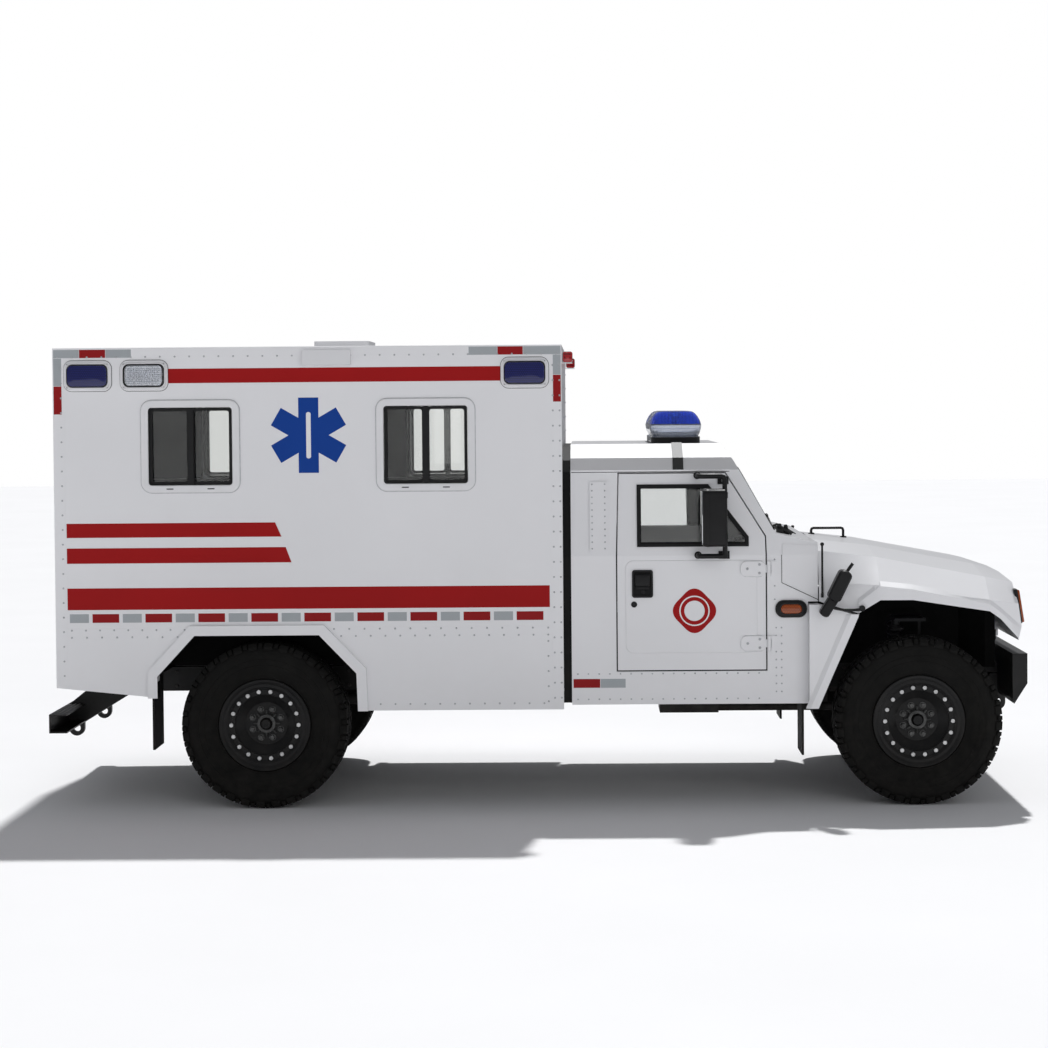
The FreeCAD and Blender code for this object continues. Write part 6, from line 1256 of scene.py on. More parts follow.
def follow_cab(bm):
    """Leans what was built on the cab's flat side so that it follows the cab's skin."""
    for vert in bm.verts:
        shift = CAB_HALF - cab_skin(vert.co.z)
        vert.co.y += shift if vert.co.y < 0 else -shift


def flip_side(bm, side):
    """Turns a right-hand shape into the left-hand one."""
    if side > 0:
        bmesh.ops.scale(bm, vec=(1, -1, 1), verts=bm.verts)


def on_each_side(name, build, material, body, angle=35):
    """Builds a right-hand shape once for each side; body may hold %s for the side's word."""
    for word, side in SIDES:
        bm = bmesh.new()
        build(bm)
        flip_side(bm, side)
        make_piece(name + "_" + word, bm, material, body % word if "%s" in body else body, angle=angle)


def heads_on_each_side(name, points, radius, rise, material, body, slot, share=0.6, corners=8):
    """Places right-hand heads, and left-hand ones on the left-hand body."""
    for word, side in SIDES:
        placed = [((x, -side * y, z), (a, -side * b, c)) for (x, y, z), (a, b, c) in points]
        heads(name + "_" + word, placed, radius, rise, material, body % word if "%s" in body else body, slot,
              share, corners)


# ---------------------------------------------------------------- windows and lamps of the load box


WINDOW_CENTRES = ((-1.9265, 2.0455), (-0.6065, 2.0455))
LAMP_HEIGHT = 2.444
BLUE_LAMPS = (station(-0.967), station(1.482))
SCENE_LAMP = station(-0.650)


class AMBULANCE_OT_box_windows(Operator):
    """Gives the load box's windows their frames, sliding sashes and latches"""

    bl_idname = "ambulance.box_windows"
    bl_label = "Load Box Windows"

    def execute(self, context):
        bm = bmesh.new()
        for centre in WINDOW_CENTRES:
            add_frame(bm, *about(centre, 0.277, 0.2595), 0.060, 0.0415, -WALL_Y, 0.012, 0.004)
        surrounds = make_piece("window_surrounds", bm, "trim_white", "vehicle", mirror=True)
        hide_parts("box_window_frames")
        bm = bmesh.new()
        for centre in WINDOW_CENTRES:
            add_frame(bm, *about(centre, 0.2805, 0.263), 0.0635, 0.006, -WALL_Y + 0.0005, 0.0025, 0.0008)
        self.shade_linings()
        # Grey rings at the window surrounds' feet: gaskets painted grey as painted shade along the surrounds' edges.
        make_piece("window_shade_gaskets", bm, "painted_shade_grey", "vehicle", mirror=True)
        self.sliders()
        self.latches()
        return {"FINISHED"}

    def shade_linings(self):
        """Dark panels on the side walls' inner faces, with openings for the windows: painted shade that darkens the
        inside seen through the windows.
        """
        bm = bmesh.new()
        wall, seat, thick, corner, end = 0.050, 0.0008, 0.003, 0.006, 0.060
        floor, ceiling, half_width, half_height, joint = 1.050, 2.530, 0.257, 0.240, 0.002
        face = -WALL_Y + wall + seat
        z = WINDOW_CENTRES[0][1]
        rear, front = BOX_LOW.x + end, BOX_HIGH.x - end
        boards = [((rear, floor), (front, z - half_height)), ((rear, z + half_height), (front, ceiling))]
        edges = [rear] + [x + shift for x, _ in WINDOW_CENTRES for shift in (-half_width, half_width)] + [front]
        for low_x, high_x in zip(edges[::2], edges[1::2]):
            boards.append(((low_x, z - half_height + joint), (high_x, z + half_height - joint)))
        for low, high in boards:
            add_prism(bm, rounded(low, high, corner, 2), face, face + thick)
        make_piece("wall_shade_linings", bm, "lining_painted_shade", "vehicle", mirror=True)

    def sliders(self):
        """The two sliding sashes' rails, which meet in the middle as a double bar."""
        bm = bmesh.new()
        for x, z in WINDOW_CENTRES:
            for near, far, out in ((-0.233, -0.004, 0.0100), (0.004, 0.233, 0.0145)):
                add_frame(bm, (x + near, z - 0.2155), (x + far, z + 0.2155), 0.030, 0.017,
                          -WALL_Y + 0.022 - out + 0.0095, 0.009, 0.0015)
        make_piece("window_sliders", bm, "black_plastic", "vehicle", mirror=True)

    def latches(self):
        """Latches on the middle bars, and two drain slots in each lower frame."""
        bm = bmesh.new()
        for x, z in WINDOW_CENTRES:
            add_pad(bm, (x - 0.020, z - 0.040), (x - 0.005, z + 0.022), 0.004, -WALL_Y + 0.014, 0.010, 0.002)
            add_pad(bm, (x + 0.007, z - 0.030), (x + 0.019, z + 0.014), 0.004, -WALL_Y + 0.010, 0.009, 0.002)
        make_piece("window_latches", bm, "black_plastic", "vehicle", mirror=True)
        bm = bmesh.new()
        for x, z in WINDOW_CENTRES:
            for shift in (-0.115, 0.115):
                add_prism(bm, rounded((x + shift - 0.020, z - 0.2410), (x + shift + 0.020, z - 0.2350), 0.0029, 4),
                          -WALL_Y - 0.0110, -WALL_Y - 0.0124)
        make_piece("drain_slots", bm, "dark_gap", "vehicle", mirror=True)


class AMBULANCE_OT_side_lamps(Operator):
    """Makes the side lamps with bezels, gaskets, screws and ribbed or celled lenses"""

    bl_idname = "ambulance.side_lamps"
    bl_label = "Side Lamps"

    def execute(self, context):
        centres = [(x, LAMP_HEIGHT) for x in (*BLUE_LAMPS, SCENE_LAMP)]
        bm = bmesh.new()
        for centre in centres:
            add_frame(bm, *about(centre, 0.134, 0.086), 0.045, 0.0165, -WALL_Y, 0.014, 0.006)
            add_frame(bm, *about(centre, 0.1230, 0.0750), 0.038, 0.0110, -WALL_Y, 0.022, 0.004)
        bezels = make_piece("side_lamp_bezels", bm, "trim_white", "vehicle", mirror=True)
        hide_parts("lamp_bezels")
        bm = bmesh.new()
        for centre in centres:
            add_frame(bm, *about(centre, 0.1365, 0.0885), 0.0475, 0.005, -WALL_Y + 0.0005, 0.0022, 0.0008)
            add_frame(bm, *about(centre, 0.1165, 0.0640), 0.034, 0.0050, -WALL_Y - 0.004, 0.0195, 0.0008)
            add_pad(bm, *about(centre, 0.1055, 0.0575), 0.024, -WALL_Y, 0.006, 0.002)
        make_piece("side_lamp_gaskets", bm, "dark_gap", "vehicle", mirror=True)
        bm = bmesh.new()
        for x in BLUE_LAMPS:
            add_pad(bm, *about((x, LAMP_HEIGHT), 0.1115, 0.0595), 0.030, -WALL_Y - 0.007, 0.028, 0.007, crown=0.004)
        make_piece("side_blue_lenses", bm, "blue_lens", "vehicle", mirror=True)
        self.scene_lamps()
        self.screws(centres)
        return {"FINISHED"}

    def scene_lamps(self):
        """The clear scene lamp: a bright tray, a ribbed lens and its frame."""
        centre = (SCENE_LAMP, LAMP_HEIGHT)
        bm = bmesh.new()
        add_pad(bm, *about(centre, 0.1030, 0.0550), 0.022, -WALL_Y - 0.007, 0.008, 0.002)
        make_piece("scene_lamp_trays", bm, "bright_steel", "vehicle", mirror=True)
        bm = bmesh.new()
        add_pad(bm, *about(centre, 0.1045, 0.0565), 0.024, -WALL_Y - 0.016, 0.017, 0.006, crown=0.003)
        make_piece("scene_lenses", bm, "clear_lens", "vehicle", mirror=True)
        rows = []
        for side in (-1, 1):
            for k in range(-8, 9):
                rows.append(((centre[0] + k * 0.0105, side * (WALL_Y + 0.0345), LAMP_HEIGHT),
                             (0.0045, 0.0024, 0.078), (0, 0, 0)))
        bars("scene_lens_ribs", rows, "clear_lens", "vehicle", "clear_lens")

    def screws(self, centres):
        """Four screws in each bezel."""
        points = []
        for x, z in centres:
            for a in (-1, 1):
                for b in (-1, 1):
                    spot = (x + a * 0.1135, z + b * 0.0655)
                    points += [((spot[0], side * (WALL_Y + 0.0215), spot[1]), (0, side, 0)) for side in (-1, 1)]
        heads("side_lamp_screws", points, 0.0042, 0.0030, "bright_steel", "vehicle", "bare_steel", 0.6, 10)


def bar_outline(rear, front, low, high, radius, ribs):
    """A rounded plan whose edge carries small upright ribs."""
    plain = rounded((rear, low), (front, high), radius, 8)
    points = []
    for i, point in enumerate(plain):
        a, b = Vector(point), Vector(plain[(i + 1) % len(plain)])
        count = max(1, round((b - a).length / ribs))
        points += [a.lerp(b, k / count) for k in range(count)]
    return points


class AMBULANCE_OT_light_bar(Operator):
    """Makes the light bar's ribbed clear base and middle, its blue domes and what shows through them"""

    bl_idname = "ambulance.light_bar"
    bl_label = "Light Bar"

    def execute(self, context):
        base_low, base_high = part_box("light_bar_base")
        rear, front = base_low.x - 0.009, base_high.x + 0.009
        half = 0.560
        floor = base_high.z + 0.0003
        split = floor + 0.0760
        top = floor + 0.1520
        bm = bmesh.new()
        self.ribbed(bm, rear, front, -half, half, (
            (floor - 0.030, 0.0088), (floor + 0.002, 0.0085), (floor + 0.004, 0.020), (floor + 0.024, 0.009),
            (floor + 0.044, 0.003), (split - 0.006, 0.0), (split, 0.003),
        ))
        clear = make_piece("beacon_lower_lens", bm, "beacon_clear", "vehicle", angle=20)
        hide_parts("clear_lamp_lenses")
        bm = bmesh.new()
        levels = (
            (split + 0.0006, 0.002), (split + 0.020, 0.008), (split + 0.044, 0.021), (top - 0.014, 0.036),
            (top - 0.004, 0.051), (top, 0.074),
        )
        for near, far in ((-half, -0.230), (0.230, half)):
            self.ribbed(bm, rear, front, near, far, levels)
        blue = make_piece("beacon_domes", bm, "beacon_blue", "vehicle", angle=20)
        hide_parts("blue_lamp_lenses")
        bm = bmesh.new()
        self.ribbed(bm, rear, front, -0.2285, 0.2285, levels)
        make_piece("beacon_middle", bm, "beacon_clear", "vehicle", angle=20)
        self.inside(rear, front, split)
        return {"FINISHED"}

    def ribbed(self, bm, rear, front, low, high, levels):
        """A shell whose side is folded into small upright ribs."""
        plan = bar_outline(rear, front, low, high, 0.058, 0.009)
        middle = Vector(((rear + front) / 2, (low + high) / 2))
        half_x, half_y = (front - rear) / 2, (high - low) / 2
        loops = []
        for height, inset in levels:
            loop = []
            for i, point in enumerate(plan):
                fold = 0.0010 if i % 2 else 0.0
                x = middle.x + (point.x - middle.x) * (half_x - inset - fold) / half_x
                y = middle.y + (point.y - middle.y) * (half_y - inset - fold) / half_y
                loop.append(Vector((x, y, height)))
            loops.append(loop)
        add_stack(bm, loops)

    def inside(self, rear, front, split):
        """Reflectors that show through the domes and a plate between them."""
        bm = bmesh.new()
        for side in (-1, 1):
            for y in (0.300, 0.390, 0.480):
                centre = ((rear + front) / 2, side * y, split + 0.006)
                add_lathe(bm, [(0.0, 0.020), (0.006, 0.024), (0.034, 0.040), (0.034, 0.0385), (0.008, 0.0225),
                               (0.004, 0.010)], centre, 24, "Z", closed=False)
        make_piece("beacon_reflectors", bm, "bright_steel", "vehicle")
        bm = bmesh.new()
        add_pad(bm, (rear + 0.050, -0.180), (front - 0.050, 0.180), 0.030, split + 0.0030, 0.030, 0.008, "Z", 1)
        make_piece("beacon_covers", bm, "white_plastic", "vehicle")


# ---------------------------------------------------------------- cab and doors


DOOR_REAR, DOOR_FRONT = 0.4595, 1.2965
DOOR_BASE, DOOR_TOP = 0.763, 1.883
DOOR_RAKE = (1.0805, 1.515)
DOOR_OUTLINE = (
    (DOOR_REAR, DOOR_BASE), (DOOR_FRONT, DOOR_BASE), (DOOR_FRONT, BELT), (DOOR_FRONT, DOOR_RAKE[1]),
    (DOOR_RAKE[0], DOOR_TOP), (DOOR_REAR, DOOR_TOP), (DOOR_REAR, BELT),
)
HINGES = ((1.3115, 1.3325), (1.3115, 0.9125))
SCREEN_FOOT, SCREEN_HEAD = (1.3535, 1.530), (1.1225, 1.942)


def grown_outline(corners, distance):
    """Moves every edge of an outline outward by a distance."""
    grown = []
    count = len(corners)
    for i in range(count):
        before, here, after = Vector(corners[i - 1]), Vector(corners[i]), Vector(corners[(i + 1) % count])
        first = (here - before).normalized()
        second = (after - here).normalized()
        out_first = Vector((first.y, -first.x))
        out_second = Vector((second.y, -second.x))
        way = out_first + out_second
        way = way / way.length
        grown.append(tuple(here + way * distance / max(way.dot(out_first), 0.3)))
    return grown


def screen_point(y, share, lift=0.0):
    """A point on the windscreen's plane; share runs from its foot to its head."""
    foot = Vector((SCREEN_FOOT[0], 0, SCREEN_FOOT[1]))
    head = Vector((SCREEN_HEAD[0], 0, SCREEN_HEAD[1]))
    run = (head - foot).normalized()
    out = Vector((run.z, 0, -run.x))
    return foot.lerp(head, share) + out * lift + Vector((0, y, 0))


class AMBULANCE_OT_cab_trim(Operator):
    """Adds the cab's gutter, seals, vent plate rivets, sill rivets, wipers and cowl details"""

    bl_idname = "ambulance.cab_trim"
    bl_label = "Cab Trim"

    def execute(self, context):
        self.gutters()
        self.door_seals()
        self.plate_rivets()
        self.screen_rubber()
        self.wipers()
        self.cowl_slats()
        self.cowl_panels()
        return {"FINISHED"}

    def cowl_panels(self):
        """The raised side panels of the cowl and the seams below and behind them."""
        rear, front, seam_rear, seam_front = 1.389, 1.586, 1.383, 1.589
        sunk, panel_rise, seam_rise = 0.001, 0.006, 0.0012
        panel_rows = (
            [(rear, 1.265), (front, 1.170), (front, BELT), (rear, BELT)],
            [(rear, BELT), (front, BELT), (front, 1.462), (rear, 1.470)],
        )
        seam_rows = (
            [(seam_rear, 1.252), (seam_front, 1.154), (seam_front, 1.158), (seam_rear, 1.256)],
            [(seam_rear, 1.256), (1.3855, 1.258), (1.3855, BELT), (seam_rear, BELT)],
        )

        def panel(bm):
            for corners in panel_rows:
                add_prism(bm, corners, -CAB_HALF + sunk, -CAB_HALF - panel_rise)
            follow_cab(bm)

        def seam(bm):
            for corners in seam_rows:
                add_prism(bm, corners, -CAB_HALF + sunk, -CAB_HALF - seam_rise)

        on_each_side("cowl_panel", panel, "white_paint", "vehicle")
        on_each_side("cowl_seam", seam, "dark_gap", "vehicle")

    def gutters(self):
        """Drip rails over the doors, with a dark seam below."""
        def rail(bm):
            y = -GUTTER_HALF
            points = [(y + 0.004, 1.8805), (y - 0.010, 1.8825), (y - 0.012, 1.8905), (y - 0.0085, 1.8905),
                      (y - 0.0075, 1.8865), (y + 0.004, 1.8865)]
            add_prism(bm, points, 0.206, 1.098, "X")

        def seam(bm):
            y = -GUTTER_HALF
            add_prism(bm, [(y + 0.004, 1.8775), (y - 0.0022, 1.8775), (y - 0.0022, 1.8805), (y + 0.004, 1.8805)],
                      0.206, 1.098, "X")

        on_each_side("roof_gutter", rail, "white_paint", "vehicle")
        on_each_side("gutter_seam", seam, "dark_gap", "vehicle")

    def door_seals(self):
        """Dark seals that close the gap round each door, a little behind the skin."""
        outer = grown_outline(DOOR_OUTLINE, 0.0078)

        def seal(bm):
            add_ring(bm, outer, DOOR_OUTLINE, lambda c: -cab_skin(c[1]) + 0.006, lambda c: -cab_skin(c[1]) + 0.026)

        on_each_side("door_seal", seal, "dark_gap", "vehicle")

    def plate_rivets(self):
        """Rivets in the rear pillar's plate, on the sill and on the cowl."""
        points = []
        for x in (0.3215, 0.3935):
            for p in line_points((x, 0, 1.452), (x, 0, 1.812), 0.036):
                points.append(((p.x, -cab_skin(p.z) - 0.012, p.z), (0, -1, 0.15)))
        for z in (0.745, 0.602):
            for p in line_points((0.235, 0, z), (1.255, 0, z), 0.060):
                points.append(((p.x, -CAB_HALF, p.z), (0, -1, 0)))
        for x in (1.352, 1.382):
            for p in line_points((x, 0, 0.640), (x, 0, 1.000), 0.045):
                points.append(((p.x, -CAB_HALF, p.z), (0, -1, 0)))
        for p in line_points((1.345, 0, 1.160), (1.345, 0, 1.385), 0.075):
            points.append(((p.x, -CAB_HALF, p.z), (0, -1, 0)))
        # The heads are painted grey: painted shade that makes them show on the white cab.
        heads_on_each_side("cab_rivets", points, 0.0050, 0.0028, "painted_shade_grey", "vehicle", "white_paint", 0.5)

    def screen_rubber(self):
        """A black rubber frame round the windscreen."""
        bm = bmesh.new()
        loops = []
        for inset, lift in ((-0.006, -0.004), (-0.006, 0.005), (-0.002, 0.009), (0.026, 0.009), (0.030, 0.004),
                            (0.030, -0.004)):
            half = 0.806 - inset
            length = (Vector(SCREEN_HEAD) - Vector(SCREEN_FOOT)).length
            share = (0.036 + inset) / length
            plan = rounded((-half, share * length), (half, (1 - 0.118) * length - inset), max(0.045 - inset, 0.004), 5)
            loops.append([screen_point(y, run / length, lift) for y, run in plan])
        add_stack(bm, loops, cap=False)
        make_piece("screen_rubber", bm, "black_rubber", "vehicle")

    def wipers(self):
        """Two wipers parked along the foot of the windscreen."""
        bm = bmesh.new()
        blades = bmesh.new()
        for pivot, tip in ((-0.70, -0.16), (0.06, 0.60)):
            foot = screen_point(pivot, 0.035, 0.012)
            middle = screen_point((pivot * 0.45 + tip * 0.55), 0.165, 0.030)
            add_tube(bm, [foot - Vector((0, 0, 0.012)), foot, middle], 0.0065, 8)
            add_lathe(bm, [(-0.016, 0.014), (0.006, 0.014), (0.010, 0.010)], foot, 16, "Z", closed=False)
            start, end = screen_point(pivot - 0.02, 0.190, 0.015), screen_point(tip, 0.135, 0.015)
            add_tube(blades, [start, start.lerp(end, 0.5), end], 0.0075, 8)
        for x, y, z in ((1.392, -0.770, 1.523), (1.430, -0.735, 1.515), (1.420, 0.700, 1.516)):
            add_lathe(bm, [(-0.020, 0.020), (0.022, 0.020), (0.028, 0.014), (0.046, 0.011), (0.052, 0.006)],
                      (x, y, z), 14, "Z", closed=False)
        add_tube(bm, [(1.345, -0.800, 1.560), (1.375, -0.790, 1.572), (1.410, -0.775, 1.548), (1.460, -0.750, 1.512)],
                 0.0070, 8)
        make_piece("wiper_arms", bm, "black_steel", "vehicle")
        make_piece("wiper_blades", blades, "black_rubber", "vehicle")

    def cowl_slats(self):
        """An air intake of thin slats ahead of the windscreen."""
        rows = []
        slope = math.atan2(1.530 - 1.478, 0.240)
        for k in range(7):
            x = 1.410 + k * 0.017
            z = 1.530 - (x - 1.3535) * math.tan(slope) + 0.003
            rows.append(((x, 0, z), (0.010, 0.760, 0.004), (0, slope + 0.35, 0)))
        bars("cowl_slats", rows, "black_plastic", "vehicle", "black_plastic")


class AMBULANCE_OT_door_details(Operator):
    """Adds the doors' raised panels, handles, locks, hinge covers, window trims and mirrors"""

    bl_idname = "ambulance.door_details"
    bl_label = "Door Details"

    def execute(self, context):
        self.panels()
        self.handles()
        self.hinge_bolts()
        self.window_trims()
        self.mirrors()
        return {"FINISHED"}

    def panels(self):
        """The raised panel that stiffens each door."""
        low, high, corner, seat = (0.5065, 0.860), (1.2465, 1.383), 0.045, 0.0003

        def panel(bm):
            add_pad(bm, low, high, corner, -CAB_HALF + seat, DOOR_FACE - CAB_HALF + seat, 0.004)

        on_each_side("door_panel", panel, "white_paint", "door_%s", angle=12)

    def handles(self):
        """A raised frame, a dark bowl, a paddle and a key lock on each door."""
        x, z = 0.6025, 1.252
        face = -CAB_HALF - 0.010

        def border(bm):
            add_frame(bm, *about((x, z), 0.059, 0.078), 0.014, 0.012, face + 0.001, 0.006, 0.002)

        def bowl(bm):
            add_pad(bm, *about((x, z), 0.047, 0.066), 0.008, face + 0.0006, 0.0012, 0.0004)

        def paddle(bm):
            add_pad(bm, (x - 0.042, z - 0.012), (x + 0.042, z + 0.055), 0.010, face, 0.013, 0.004, crown=0.002)
            add_pad(bm, (x - 0.036, z - 0.030), (x + 0.036, z - 0.012), 0.004, face, 0.005, 0.002)

        def lock(bm):
            add_lathe(bm, [(0.0, 0.0120), (-0.006, 0.0120), (-0.008, 0.0095), (-0.007, 0.0045), (-0.007, 0.0005)],
                      (x + 0.004, face, z - 0.046), 20, closed=False)
            add_lathe(bm, [(0.0, 0.017), (-0.004, 0.017), (-0.007, 0.013), (-0.007, 0.0005)],
                      (0.5545, -DOOR_FACE, 1.136), 24, closed=False)

        on_each_side("handle_border", border, "black_plastic", "door_%s")
        on_each_side("handle_bowl", bowl, "dark_gap", "door_%s")
        on_each_side("handle_paddle", paddle, "black_plastic", "door_%s")
        on_each_side("door_lock", lock, "black_steel", "door_%s")

    def hinge_bolts(self):
        """Round-ended covers on the strap hinges' door leaves, with a thin grey rim below as painted shade round their
        edges, and three bolts each.
        """
        long_end, short_end, half, corner, lip = 0.160, 0.0165, 0.0440, 0.034, 0.0016
        bolts = ((0.120, 0.0), (0.052, 0.024), (0.052, -0.024))
        face = -CAB_HALF - 0.0125
        points = [((x - shift, face, z + rise), (0, -1, 0)) for x, z in HINGES for shift, rise in bolts]

        # A grey rim a little wider than each cover: painted shade round the cover's edge.
        def shade_rim(bm):
            for x, z in HINGES:
                plan = rounded((x - long_end - lip, z - half - lip), (x - short_end, z + half + lip), corner, 8)
                add_prism(bm, plan, -DOOR_FACE + 0.0005, -DOOR_FACE - 0.0006)

        def cover(bm):
            for x, z in HINGES:
                add_pad(bm, (x - long_end, z - half), (x - short_end, z + half), corner, -DOOR_FACE + 0.0003,
                        0.0088, 0.0045)

        on_each_side("hinge_shade_rim", shade_rim, "painted_shade_grey", "door_%s")
        on_each_side("hinge_cover", cover, "white_paint", "door_%s", angle=20)
        # Grey bolt heads: painted shade that makes them show on the white covers.
        heads_on_each_side("hinge_bolts", points, 0.0085, 0.0050, "painted_shade_grey", "door_%s", "white_paint", 0.75, 6)

    def window_trims(self):
        """The rubber lip along the foot of each door window, and its frame's screws."""
        def lip(bm):
            add_prism(bm, [(0.590, 1.474), (1.185, 1.474), (1.185, 1.486), (0.590, 1.486)],
                      -CAB_HALF - 0.0075, -CAB_HALF - 0.0115)
            follow_cab(bm)

        on_each_side("window_lip", lip, "black_rubber", "door_%s")
        points = []
        for x, z in ((0.592, 1.560), (0.592, 1.700), (0.640, 1.797), (0.800, 1.797), (0.920, 1.797)):
            points.append(((x, -cab_skin(z) - 0.008, z), (0, -1, 0.15)))
        heads_on_each_side("window_screws", points, 0.0042, 0.0022, "black_steel", "door_%s", "black_steel", 0.6)

    def mirrors(self):
        """Deep mirror shells with ribs and glass, and the tubes that carry them with their feet."""
        low_y, high_y = -1.230, -1.040
        foot_x, tube_x, half = 0.9155, 1.0615, 1.135
        high, low = 1.858, 1.412

        def shell(bm):
            add_pad(bm, (low_y - 0.0015, 1.4685), (high_y + 0.0015, 1.7865), 0.026, 1.0575, 0.1240, 0.012, "X", -1)

        def tube(bm):
            path = [(foot_x, cab_skin(high) - 0.004, high)]
            for z, order in ((high, 1), (low, -1)):
                bend = [(foot_x, half - 0.020, z), (foot_x + 0.006, half - 0.006, z), (foot_x + 0.020, half, z),
                        (tube_x - 0.022, half, z), (tube_x - 0.006, half, z - 0.006 * order),
                        (tube_x, half, z - 0.022 * order)]
                path += bend[::order]
            path.append((foot_x, cab_skin(low) - 0.004, low))
            add_tube(bm, [(x, -y, z) for x, y, z in path], 0.0140, 14)
            for z in (1.505, 1.735):
                add_block(bm, (1.030, -half - 0.017, z), (tube_x + 0.016, -half + 0.017, z + 0.034))

        def glass(bm):
            add_pad(bm, (low_y + 0.010, 1.480), (high_y - 0.010, 1.775), 0.020, 0.9335, 0.0030, 0.001, "X", -1)

        def rib(bm):
            add_frame(bm, (low_y - 0.003, 1.4670), (high_y + 0.003, 1.7880), 0.029, 0.0045, 0.9700, 0.016, 0.003,
                      "X", -1)
            for z in (low, high):
                skin = cab_skin(z) + 0.010
                add_lathe(bm, [(0.0, 0.021), (-0.012, 0.021), (-0.016, 0.017)], (foot_x, -skin, z), 20,
                          closed=False)

        on_each_side("mirror_shell", shell, "black_plastic", "door_%s")
        on_each_side("mirror_tube", tube, "black_plastic", "door_%s")
        on_each_side("mirror_glass", glass, "mirror_glass", "door_%s")
        on_each_side("mirror_rib", rib, "black_plastic", "door_%s")


# ---------------------------------------------------------------- marker lamps, front and rear


class AMBULANCE_OT_marker_lamps(Operator):
    """Makes the corner, turn and tail lamps"""

    bl_idname = "ambulance.marker_lamps"
    bl_label = "Marker Lamps"

    def execute(self, context):
        x, z = 1.4365, 1.106

        def housing(bm):
            add_pad(bm, *about((x, z), 0.089, 0.049), 0.046, -CAB_HALF - 0.0003, 0.020, 0.007)

        def rim(bm):
            add_frame(bm, *about((x, z), 0.066, 0.033), 0.031, 0.007, -CAB_HALF - 0.018, 0.007, 0.002)

        def amber(bm):
            add_pad(bm, *about((x, z), 0.0585, 0.0255), 0.024, -CAB_HALF - 0.018, 0.010, 0.004, crown=0.002)

        on_each_side("turn_housing", housing, "black_plastic", "vehicle")
        on_each_side("turn_rim", rim, "soft_black", "vehicle")
        on_each_side("turn_lens", amber, "amber_lens", "vehicle")
        self.corner_lamps()
        self.tail_lamps()
        return {"FINISHED"}

    def corner_lamps(self):
        """Red lamps on brackets at the load box's front corners."""
        front = BOX_HIGH.x + 0.0003

        def bracket(bm):
            add_block(bm, (front, -1.050, 2.494), (front + 0.003, -0.968, 2.566))
            add_block(bm, (front + 0.003, -1.050, 2.494), (front + 0.060, -0.968, 2.498))

        def lens(bm):
            add_pad(bm, (front + 0.006, 2.500), (front + 0.062, 2.560), 0.012, -0.970, 0.084, 0.008, crown=0.003)

        on_each_side("corner_bracket", bracket, "trim_white", "vehicle")
        on_each_side("corner_lens", lens, "red_lens", "vehicle")

    def tail_lamps(self):
        """Tail lamps in three colours, with their housing."""
        rear = BOX_LOW.x - 0.0003
        low_y, high_y, low_z, high_z = -1.000, -0.810, 0.704, 0.788

        def housing(bm):
            add_pad(bm, (low_y, low_z), (high_y, high_z), 0.010, rear, 0.010, 0.003, "X", -1)

        for label, start, end, material in (
            ("tail_red", 0.004, 0.074, "red_lens"), ("tail_amber", 0.077, 0.128, "amber_lens"),
            ("tail_clear", 0.131, 0.186, "clear_lens"),
        ):
            def lens(bm, start=start, end=end):
                add_pad(bm, (low_y + start, low_z + 0.004), (low_y + end, high_z - 0.004), 0.006, rear - 0.009,
                        0.0085, 0.003, "X", -1)

            on_each_side(label, lens, material, "vehicle")
        on_each_side("tail_housing", housing, "black_plastic", "vehicle")
        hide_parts("marker_lamps")


